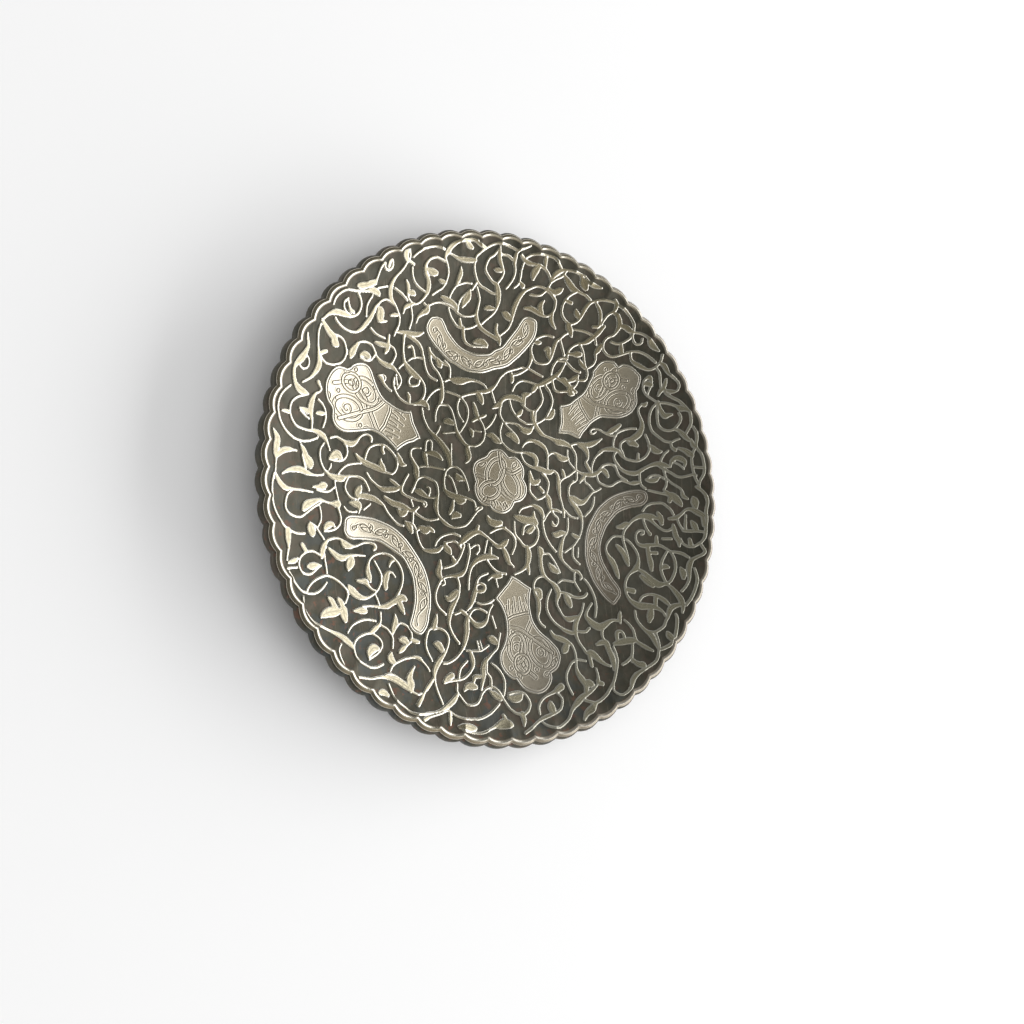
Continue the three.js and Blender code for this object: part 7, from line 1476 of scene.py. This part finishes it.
def stroke_curve(widths, places):
    """Rounded curve of a stroke: rows of x, y and width in mm."""
    points = stroke_points(places)
    spread = np.array(widths + [widths[-1]] * (len(points) - len(widths))) / TENTHS
    return rounded(np.column_stack([points, spread]), STROKE_STEPS)


def draw_span(field, kept, start, end, travelled, owned_by):
    """One span of a stroke: the field takes it where it lies deeper than the strokes before it."""
    (ax, ay, aw), (bx, by, bw) = start, end
    length = math.hypot(bx - ax, by - ay)
    if length < 1e-6:
        return 0.0
    reach = max(aw, bw) / 2 + 2.5 * field.step
    box = min(ax, bx) - reach, min(ay, by) - reach, max(ax, bx) + reach, max(ay, by) + reach
    place = field.window(*box)
    x, y = field.x[place] - ax, field.y[place] - ay
    dx, dy = (bx - ax) / length, (by - ay) / length
    t = np.clip((x * dx + y * dy) / length, 0, 1)
    local = aw + (bw - aw) * t
    depth = local / 2 - np.hypot(x - t * length * dx, y - t * length * dy)
    wins = depth > field.inside[place]
    field.inside[place] = np.where(wins, depth, field.inside[place])
    for key, value in {"along": travelled + t * length, "width": local, "owner": owned_by}.items():
        kept[key][place] = np.where(wins, value, kept[key][place])
    return length


def draw_strokes(field, strokes, owners):
    """Draws every stroke span by span, and returns along, width and owner for each point of the field."""
    shape = field.x.shape
    kept = {"along": np.zeros(shape), "width": np.ones(shape), "owner": np.zeros(shape, int)}
    for (widths, *places), owned_by in zip(strokes, owners):
        curve = stroke_curve(widths, places)
        travelled = 0.0
        for start, end in zip(curve, curve[1:]):
            travelled += draw_span(field, kept, start, end, travelled, owned_by)
    return kept


print("points in the longest stroke:", max(len(stroke_points(places)) for _, *places in VINE))


# %% [markdown]
# ## Which length each stroke belongs to
#
# The solids show where one length of silver ends and the next begins. A stroke goes to the solid that it
# lies nearest to, so that every piece here stands for one solid.

# %% Owners of the strokes
FAR = 6.0
vine_nodes = sorted(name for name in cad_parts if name.startswith("vine_"))


def solid_points(name):
    """Corners of a solid and three points on each of its edges, in mm of the plan."""
    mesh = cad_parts[name].data
    corners = np.array([v.co[:2] for v in mesh.vertices]) / MM
    start, end = np.array([edge.vertices[:] for edge in mesh.edges]).T
    spread = [corners[start] * (1 - t) + corners[end] * t for t in (0.25, 0.5, 0.75)]
    return np.vstack([corners] + spread)


def nearest_solid(places, solids):
    """Number of the nearest solid: the least sum, over a stroke's points, of the distance up to a limit."""
    points = stroke_points(places)
    sums = []
    for solid in solids:
        away = np.hypot(*(points[:, None] - solid[None]).transpose(2, 0, 1))
        sums.append(np.minimum(away.min(1), FAR).sum())
    return int(np.argmin(sums))


solids = [solid_points(name) for name in vine_nodes]
stroke_owners = [nearest_solid(places, solids) for _, *places in VINE]
print("strokes in the richest length:", max(np.bincount(stroke_owners)))

# %% Cutting the vine
PLATE_REACH = 2.0
BAND_CLEAR = 0.12
VINE_BEVEL = 0.26

vine_field = Field(-RIM_RADIUS, -RIM_RADIUS, RIM_RADIUS, RIM_RADIUS, VINE_STEP)
drawn = draw_strokes(vine_field, VINE, stroke_owners)
for loop in cartouche_loops.values():
    place = vine_field.window(*(loop.min(0) - PLATE_REACH), *(loop.max(0) + PLATE_REACH))
    clear = -VINE_GAP - edge_distance(vine_field.x[place], vine_field.y[place], loop)
    vine_field.inside[place] = np.minimum(vine_field.inside[place], clear)
plain = plain_radius_at(vine_field.x, vine_field.y)
vine_field.inside = np.minimum(vine_field.inside, BAND_INNER - BAND_CLEAR - plain)

depth = np.clip(vine_field.inside, 0, None)
vine_pieces = cut_sheet(
    vine_field,
    VINE_PROUD * (0.35 + 0.65 * smooth_step(0.0, VINE_BEVEL, depth)),
    {"inside": vine_field.inside, "along": drawn["along"], "width": drawn["width"]},
    drawn["owner"],
    ["silver_" + name for name in vine_nodes],
)

# %% [markdown]
# ## Writing shader maths
#
# A material is a net of nodes. Drawn by hand it is quick to make and slow to read, so here `Value` wraps
# one socket and lets the maths of a material read as a formula, and `Shader` makes every other node.


# %% Values of a shader
class Value:
    """One number of a shader, with the arithmetic that the materials need."""

    def __init__(self, shader, socket):
        self.shader = shader
        self.socket = socket

    def __add__(self, other):
        return self.shader.math("ADD", self, other)

    def __radd__(self, other):
        return self.shader.math("ADD", other, self)

    def __sub__(self, other):
        return self.shader.math("SUBTRACT", self, other)

    def __rsub__(self, other):
        return self.shader.math("SUBTRACT", other, self)

    def __mul__(self, other):
        return self.shader.math("MULTIPLY", self, other)

    def __rmul__(self, other):
        return self.shader.math("MULTIPLY", other, self)

    def __truediv__(self, other):
        return self.shader.math("DIVIDE", self, other)


# %% Nodes of a shader
class Shader:
    """The node tree of a material or of the world."""

    def __init__(self, owner):
        self.owner = owner
        owner.use_nodes = True
        self.tree = owner.node_tree
        self.surface = self.tree.nodes.get("Principled BSDF")

    def node(self, kind, inputs=(), **settings):
        """A node of a kind, its settings, and values or sockets for its inputs by name or number."""
        made = self.tree.nodes.new(kind)
        for key, value in settings.items():
            setattr(made, key, value)
        for key, value in dict(inputs).items():
            self.put(made.inputs[key], value)
        return made

    def put(self, socket, value):
        """Links a value or a socket to an input, or sets a constant on it."""
        if isinstance(value, Value):
            self.tree.links.new(value.socket, socket)
        elif isinstance(value, bpy.types.NodeSocket):
            self.tree.links.new(value, socket)
        else:
            socket.default_value = value

    def finish(self, inputs):
        """Sets inputs of the surface by name and gives the material back."""
        for key, value in inputs.items():
            self.put(self.surface.inputs[key], value)
        print(f"{self.owner.name}: {len(self.tree.nodes)} nodes")
        return self.owner

    def math(self, operation, *values):
        made = self.node("ShaderNodeMath", dict(enumerate(values)), operation=operation)
        return Value(self, made.outputs[0])

    def clamp(self, value):
        """The value, kept between 0 and 1."""
        return Value(self, self.node("ShaderNodeClamp", {0: value}).outputs[0])

    def step(self, value, low, high):
        """0 at low, 1 at high, and 3t^2 - 2t^3 between them."""
        inputs = {"Value": value, "From Min": low, "From Max": high}
        made = self.node("ShaderNodeMapRange", inputs, interpolation_type="SMOOTHSTEP")
        return Value(self, made.outputs["Result"])

    def attribute(self, name):
        made = self.node("ShaderNodeAttribute", attribute_name=name)
        return Value(self, made.outputs["Fac"])

    def parts(self, vector):
        """The three numbers of a vector."""
        made = self.node("ShaderNodeSeparateXYZ", {0: vector})
        return [Value(self, output) for output in made.outputs]

    def place(self):
        """Object coordinates in mm, as a socket."""
        made = self.node("ShaderNodeTexCoord")
        inputs = {0: made.outputs["Object"], "Scale": 1 / MM}
        return self.node("ShaderNodeVectorMath", inputs, operation="SCALE").outputs[0]

    def noise(self, vector, scale, detail=3.0, rough=0.5):
        """Noise from 0 to 1: scale is in waves per mm."""
        inputs = {"Vector": vector, "Scale": scale, "Detail": detail, "Roughness": rough}
        return Value(self, self.node("ShaderNodeTexNoise", inputs).outputs[0])

    def mix(self, share, low, high):
        """Colour between two colours: low * (1 - share) + high * share."""
        made = self.node("ShaderNodeMix", {0: share, 6: low, 7: high}, data_type="RGBA")
        return made.outputs[2]

    def relief(self, height, depth, normal=None):
        """Normal bent by a height: depth is in metres for a height of 1."""
        made = self.node("ShaderNodeBump", {"Height": height, "Distance": depth, "Strength": 1.0})
        if normal is not None:
            self.put(made.inputs["Normal"], normal)
        return made.outputs[0]


def colour(red, green, blue):
    """Linear colour from one read off a screen, 0 to 255: ((c / 255 + 0.055) / 1.055)^2.4."""
    return tuple(((c / 255 + 0.055) / 1.055) ** 2.4 for c in (red, green, blue)) + (1.0,)


print("middle grey is", round(colour(128, 128, 128)[0], 3))

# %% [markdown]
# ## Patinated copper
#
# The ground is copper that has gone dark: olive to black clouds, brown and blue-grey patches, russet spots
# low on the left, and fine scratches that run three ways. A painted picture would show its pixels close
# by, so the tones come from noise of several sizes, on coordinates in millimetres.

# %% Copper
OLIVE_DARK = colour(70, 69, 58)
OLIVE_PALE = colour(92, 89, 78)
BROWN = colour(92, 83, 73)
BLUE_GREY = colour(72, 80, 83)
RUSSET = colour(118, 82, 66)
RUBBED = colour(132, 124, 108)
SCRATCH_STRETCH = (1.6, 0.045, 0.3)
# Turn in degrees and seed of each run of scratches.
SCRATCH_RUNS = [(24.0, 3.0), (-52.0, 11.0), (78.0, 23.0)]
HAMMER_RELIEF = 0.0007
FINE_RELIEF = 0.00006


def scratches(shader, where, turn, seed):
    """Fine lines that run one way: noise stretched along them, kept where it crests."""
    inputs = {"Vector": where, "Scale": SCRATCH_STRETCH, "Rotation": (0, 0, math.radians(turn))}
    run = shader.node("ShaderNodeMapping", inputs, vector_type="POINT").outputs[0]
    shift = {0: run, 1: (seed, seed * 1.7, 0.0)}
    moved = shader.node("ShaderNodeVectorMath", shift, operation="ADD").outputs[0]
    return shader.step(shader.noise(moved, 1.0, 2.0, 0.6), 0.66, 0.72)


def copper_tone(shader, where):
    """Colour of the patina: each tone laid over the last by the share of a noise that crests."""
    clouds = shader.noise(where, 0.045, 5.0, 0.62)
    patches = shader.noise(where, 0.13, 3.0, 0.55)
    spots = shader.noise(where, 0.38, 3.0, 0.55)
    x, y, _ = shader.parts(where)
    low_left = shader.step(y * -1.0 - x * 0.6, 25.0, 80.0)
    olive = shader.mix(shader.step(clouds, 0.36, 0.66), OLIVE_DARK, OLIVE_PALE)
    brown = shader.mix(shader.step(patches, 0.5, 0.68) * 0.8, olive, BROWN)
    blue = shader.mix(shader.step(patches, 0.52, 0.4) * (0.1 + low_left * 0.4), brown, BLUE_GREY)
    russet = shader.step(spots, 0.58, 0.68) * (0.15 + low_left * 0.7)
    return shader.mix(shader.clamp(russet * 0.75), blue, RUSSET)


def copper_material():
    """Patina over copper: half a metal, rough, rubbed bright in scratches and grains, with hammer marks."""
    shader = Shader(bpy.data.materials.new("patinated_copper"))
    where = shader.place()
    mottle = shader.noise(where, 0.35, 4.0, 0.65)
    grain = shader.noise(where, 1.9, 3.0, 0.6)
    runs = [scratches(shader, where, turn, seed) for turn, seed in SCRATCH_RUNS]
    lines = runs[0] + runs[1] + runs[2]
    wear_and_seam_shade = shader.clamp(lines * 0.3 + shader.step(grain, 0.6, 0.8) * 0.3)
    hammered = shader.relief(shader.noise(where, 0.12, 2.0, 0.5), HAMMER_RELIEF)
    inputs = {
        "Base Color": shader.mix(wear_and_seam_shade, copper_tone(shader, where), RUBBED),
        "Metallic": 0.35,
        "Specular IOR Level": 0.35,
        "Roughness": shader.clamp(0.4 + mottle * 0.2 - wear_and_seam_shade * 0.08),
        "Normal": shader.relief(mottle + grain * 0.3 - lines * 0.3, FINE_RELIEF, hammered),
    }
    return shader.finish(inputs)


copper_look = copper_material()

# %% [markdown]
# ## Silver
#
# Bright edges, ridges and burrs are painted highlights in the base colour, and the silver is duller
# elsewhere. The band, the plates and the vine share one material function, because they are one metal,
# and differ in where they are dull, where they are cut, and the tone to which they tarnish. Besides
# random tarnish, painted shade darkens the silver towards the low right and round a spot left of the
# middle.

# %% Silver
# BRIGHT is the silver's own bright tone and also the colour of its painted highlights.
BRIGHT = colour(244, 242, 234)
# The dark of the cuts, and of the painted shade along the inner edge of the rim band.
GROOVE_AND_SHADE_DARK = colour(72, 66, 54)
# A spot of painted shade left of the middle: its place and the radii of its full depth and of its end, in
# mm, then its depth.
SPOT_X = -15.0
SPOT_Y = 7.0
SPOT_CORE = 10.0
SPOT_EDGE = 30.0
SPOT_SHADE = 0.4


def tarnish_and_shade_share(shader, where, mottle, shaded_low_right, depth):
    """Tarnish, 0.2 in the mottle, plus painted shade: 0.4 left of the middle, depth at the far low right.
    """
    x, y, _ = shader.parts(where)
    beside, above = x - SPOT_X, y - SPOT_Y
    away = shader.math("SQRT", beside * beside + above * above)
    spot = shader.step(away, SPOT_EDGE, SPOT_CORE) * SPOT_SHADE
    return shader.clamp(shader.step(mottle, 0.5, 0.75) * 0.2 + spot + shaded_low_right * depth)


def silver_material(name, outside_highlight_of, dull, tarnish, depth, grooves_and_shade_of, burr_of):
    """Silver: painted highlight to dull, tarnish and painted shade, a painted burr highlight, dark grooves.
    """
    shader = Shader(bpy.data.materials.new(name))
    where = shader.place()
    mottle = shader.noise(where, 0.7, 4.0, 0.65)
    fine = shader.noise(where, 2.4, 3.0, 0.6)
    outside_highlight = shader.clamp(outside_highlight_of(shader) * (0.7 + shader.noise(where, 0.05, 4.0, 0.6) * 0.6))
    x, y, _ = shader.parts(where)
    # Painted shade: the silver darkens towards the low right, by depth.
    shaded_low_right = shader.step(x * 0.9 - y * 0.45, 5.0, 60.0)
    share = tarnish_and_shade_share(shader, where, mottle, shaded_low_right, depth)
    tone = shader.mix(share, shader.mix(outside_highlight, BRIGHT, dull), tarnish)
    # A painted highlight on the burr beside each groove.
    if burr_of:
        tone = shader.mix(shader.clamp(burr_of(shader) * 0.4), tone, BRIGHT)
    groove = grooves_and_shade_of(shader)
    # At the low right, with the painted shade, the grooves are painted less dark and the silver is less
    # metallic.
    inputs = {
        "Base Color": shader.mix(shader.clamp(groove * (0.65 - shaded_low_right * 0.3)), tone, GROOVE_AND_SHADE_DARK),
        "Metallic": 1.0 - shaded_low_right * 0.5,
        "Roughness": shader.clamp(0.12 + mottle * 0.12 + outside_highlight * 0.05 + groove * 0.15),
        "Normal": shader.relief(fine * 0.05 + mottle * 0.1 - groove * 0.4, FINE_RELIEF),
    }
    return shader.finish(inputs)


# %% Silver of the plates
def plate_outside_highlight(shader):
    """A plate carries a painted highlight out to its engraved edge line and is a little dull inside it."""
    return shader.step(shader.attribute("inside"), EDGE_LINE - 0.1, EDGE_LINE + EDGE_CLEAR)


plate_look = silver_material(
    "inlaid_silver",
    plate_outside_highlight,
    colour(234, 227, 211),
    colour(112, 104, 90),
    0.9,
    lambda shader: shader.attribute("cut"),
    lambda shader: shader.attribute("burr"),
)


# %% Silver of the vine
def vine_outside_highlight(shader):
    """A leaf has a painted highlight along its edge and is dull within; a thin stem has it all across."""
    return shader.step(shader.attribute("inside"), 0.34, 0.5)


def vine_grooves(shader):
    """Cuts in the broad leaves: a line inside the edge, a vein along the middle, and slanting hatches.

    A hatch is where sin(3.4 along + 5 inside) crests.
    """
    inside, width = shader.attribute("inside"), shader.attribute("width")
    edge = shader.step(inside, 0.26, 0.36) * (1.0 - shader.step(inside, 0.42, 0.56))
    to_middle = inside / shader.math("MAXIMUM", width, 0.4) * 2.0
    vein = shader.step(to_middle, 0.78, 0.92)
    wave = shader.math("SINE", shader.attribute("along") * 3.4 + inside * 5.0)
    hatch = shader.step(wave, 0.3, 0.9) * shader.step(inside, 0.5, 0.65) * (1.0 - vein)
    within = (hatch * 0.3 + vein * 0.45) * shader.step(width, 1.7, 2.1)
    return shader.clamp(edge * 0.6 + within) * shader.step(width, 1.25, 1.7)


vine_look = silver_material(
    "vine_silver", vine_outside_highlight, colour(198, 191, 168), colour(132, 131, 112), 0.6, vine_grooves, None
)


# %% Silver of the band
def band_outside_highlight(shader):
    """The band carries a painted highlight along its ridge and is dull across the rest."""
    across = shader.attribute("across")
    return 1.0 - shader.step(across, 0.14, 0.22) * (1.0 - shader.step(across, 0.52, 0.62))


def band_seam_shade_and_cusps(shader):
    """Painted shade darkens the silver at its seam inside the ridge, and a faint cut marks each cusp."""
    wear_and_seam_shade = 1.0 - shader.step(shader.attribute("across"), 0.1, 0.2)
    cusp = 1.0 - shader.step(shader.attribute("phase"), 0.0, 0.12)
    return shader.clamp(wear_and_seam_shade * 0.8 + cusp * 0.2)


band_look = silver_material(
    "rim_silver", band_outside_highlight, colour(206, 198, 184), colour(118, 106, 88), 0.6, band_seam_shade_and_cusps, None
)

# %% [markdown]
# ## Pieces and the solids that they stand for
#
# Inlay is held by its seat, so nothing moves, and every piece rides on the dish's one body.


# %% Dressing the pieces
def dress(piece, node, look):
    """Puts a material on a piece, ties it to the body and hides the solid that it stands for."""
    piece.data.materials.append(look)
    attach(piece, "root")
    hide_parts(node)


dress(copper, "copper_dish", copper_look)
dress(band, "silver_rim_band", band_look)
for name, plate in plates.items():
    dress(plate, name, plate_look)
for name, piece in zip(vine_nodes, vine_pieces):
    dress(piece, name, vine_look)
print("pieces dressed:", 2 + len(plates) + len(vine_pieces))

# %% [markdown]
# ## Camera
#
# The photograph looks down on the dish from the left. A camera could be aimed by a constraint, but its
# place was fitted to the scallops and the cartouches, so it is set by numbers: TILT is the angle between
# the line of sight and the dish's axis, LEAN the direction on the plan in which the camera stands, and the
# dish's middle, in the plane of the crest, falls on the pixel AIM of a picture PICTURE pixels wide.

# %% Camera
PICTURE = 1024.0
FOCAL = 1035.0
FILM = 36.0
TILT = math.radians(31.31)
LEAN = math.radians(195.73)
DISTANCE = 356.18
AIM = (516.2, 482.11)


def turn_onto(start, end):
    """Rotation from one direction onto another: 1 + K + K^2 / (1 + cosine), K their cross product."""
    axis = np.cross(start, end)
    cosine = float(np.dot(start, end))
    skew = np.array([[0, -axis[2], axis[1]], [axis[2], 0, -axis[0]], [-axis[1], axis[0], 0]])
    return np.eye(3) + skew + skew @ skew / (1 + cosine)


def camera_axes(towards):
    """The camera's axes: the dish's own, turned on to its line of sight, then so that AIM holds."""
    upright = turn_onto(np.array([0.0, 0.0, 1.0]), towards)
    axes = np.stack([upright @ [1, 0, 0], upright @ [0, 1, 0], towards])
    half = PICTURE / 2
    sight = unit(np.array([(AIM[0] - half) / FOCAL, (half - AIM[1]) / FOCAL, -1.0]))
    return turn_onto(np.array([0.0, 0.0, -1.0]), sight) @ axes


def place_camera():
    """The camera stands DISTANCE from the middle of the crest's plane, as TILT and LEAN say."""
    towards = np.array([math.sin(TILT) * math.cos(LEAN), math.sin(TILT) * math.sin(LEAN), math.cos(TILT)])
    axes = camera_axes(towards)
    place = (towards * DISTANCE + [0, 0, CREST_HEIGHT]) * MM
    lens = bpy.data.cameras.new("camera")
    lens.sensor_width = FILM
    lens.lens = FILM * FOCAL / PICTURE
    lens.clip_start = 0.01
    camera = bpy.data.objects.new("camera", lens)
    bpy.context.scene.collection.objects.link(camera)
    rows = [list(axes[:, i]) + [place[i]] for i in range(3)] + [[0, 0, 0, 1]]
    camera.matrix_world = Matrix(rows)
    bpy.context.scene.camera = camera
    print("the camera stands at", [round(float(value), 3) for value in place])


place_camera()

# %% [markdown]
# ## Windows
#
# Metal shows what it mirrors, so the light is made of wide windows on the right and not of point lamps.
# The upper one ends 53 degrees above the floor: the left wall mirrors it and turns white, while the middle
# and the right wall mirror the dim room. The lower one grazes the floor, draws the soft shadow out to the
# left and picks out raised edges. A fill in the same place lights matt surfaces alone.

# %% Windows
AWAY = 3.0
PURE = (1.0, 1.0, 1.0)
WARM = (1.0, 0.995, 0.985)


def pane(name, azimuth, low, high, half_width, brightness, tint, glossy=True):
    """Area light that fills a span of azimuth and elevation, in degrees, as seen from the dish.

    Its width and height are twice its distance times the tangents of its half angles, and its power is
    its brightness times pi times its area, so that brightness is what a mirror would show.
    """
    middle, half = math.radians((low + high) / 2), math.radians((high - low) / 2)
    light = bpy.data.lights.new(name, "AREA")
    light.shape = "RECTANGLE"
    light.size = 2 * AWAY * math.tan(math.radians(half_width))
    light.size_y = 2 * AWAY * math.tan(half)
    light.energy = brightness * math.pi * light.size * light.size_y
    light.color = tint
    a = math.radians(azimuth)
    direction = Vector((math.cos(middle) * math.cos(a), math.cos(middle) * math.sin(a), math.sin(middle)))
    made = bpy.data.objects.new(name, light)
    made.location = direction * AWAY
    made.rotation_euler = direction.to_track_quat("Z", "Y").to_euler()
    made.visible_camera = False
    made.visible_glossy = glossy
    bpy.context.scene.collection.objects.link(made)
    print(f"{name}: {light.size:.2f} by {light.size_y:.2f} m")


pane("upper_window", -6, 22, 53, 35, 1.65, PURE)
pane("lower_window", -8, 5, 21, 38, 2.2, WARM)
pane("low_fill", -8, 5, 21, 38, 13.0, PURE, glossy=False)

# %% [markdown]
# ## Floor
#
# The dish lies on pale paper that runs to white. A plane is enough, since the shadow is all it shows.

# %% Floor
FLOOR_TONE = 0.98
FLOOR_REACH = 3.0


def build_floor():
    """A square of matt paper round the dish."""
    corners = [(-1, -1, 0), (1, -1, 0), (1, 1, 0), (-1, 1, 0)]
    mesh = bpy.data.meshes.new("floor")
    mesh.from_pydata((np.array(corners) * FLOOR_REACH).tolist(), [], [(0, 1, 2, 3)])
    paper = Shader(bpy.data.materials.new("pale_paper"))
    tone = (FLOOR_TONE, FLOOR_TONE, FLOOR_TONE, 1.0)
    mesh.materials.append(paper.finish({"Base Color": tone, "Roughness": 0.9, "Specular IOR Level": 0.1}))
    floor = bpy.data.objects.new("floor", mesh)
    bpy.context.scene.collection.objects.link(floor)


build_floor()

# %% [markdown]
# ## Surroundings
#
# The background is white, but a white room would wash the silver out. Light Path tells who looks: the
# camera sees white, matt surfaces are lit by a pale sky, and metal mirrors a room that is white at the
# horizon and dims overhead, away from the windows.

# %% Surroundings
WHITE = (1.0, 1.0, 1.0, 1.0)
PALE = 0.48
ROOM_TINT = (1.0, 0.885, 0.69, 1.0)
ROOM_SHADE = (0.07, 0.074, 0.058, 1.0)
ROOM_MOST = 0.36
ROOM_LEAST = 0.07


def build_surround():
    """World: white to the camera, pale to matt surfaces, and a room to metal.

    The room's tone is 0.27 + 0.8 (x - 0.5) - 0.5 (y - 0.14) for a direction (x, y, z), kept between its
    least and its most, and it turns white near z = 0.
    """
    sky = Shader(bpy.data.worlds.new("surround"))
    bpy.context.scene.world = sky.owner
    x, y, z = sky.parts(sky.node("ShaderNodeTexCoord").outputs["Generated"])
    slope = 0.27 + 0.8 * (x - 0.5) - 0.5 * (y - 0.14)
    tone = sky.math("MAXIMUM", sky.math("MINIMUM", slope, ROOM_MOST), ROOM_LEAST)
    room = sky.mix(sky.step(z, 0.24, 0.1), sky.mix(tone, ROOM_SHADE, ROOM_TINT), WHITE)
    path = sky.node("ShaderNodeLightPath").outputs
    mirrored = sky.clamp(Value(sky, path["Is Glossy Ray"]) + Value(sky, path["Is Transmission Ray"]))
    pale = sky.node("ShaderNodeBackground", {"Color": WHITE, "Strength": PALE})
    seen_in_metal = sky.node("ShaderNodeBackground", {"Color": room, "Strength": 1.0})
    white = sky.node("ShaderNodeBackground", {"Color": WHITE, "Strength": 1.0})
    lit = sky.node("ShaderNodeMixShader", {0: mirrored, 1: pale.outputs[0], 2: seen_in_metal.outputs[0]})
    to_camera = {0: path["Is Camera Ray"], 1: lit.outputs[0], 2: white.outputs[0]}
    shown = sky.node("ShaderNodeMixShader", to_camera)
    sky.put(sky.tree.nodes["World Output"].inputs["Surface"], shown.outputs[0])
    print("nodes in the surroundings:", len(sky.tree.nodes))


build_surround()
bpy.context.scene.view_settings.view_transform = "Standard"
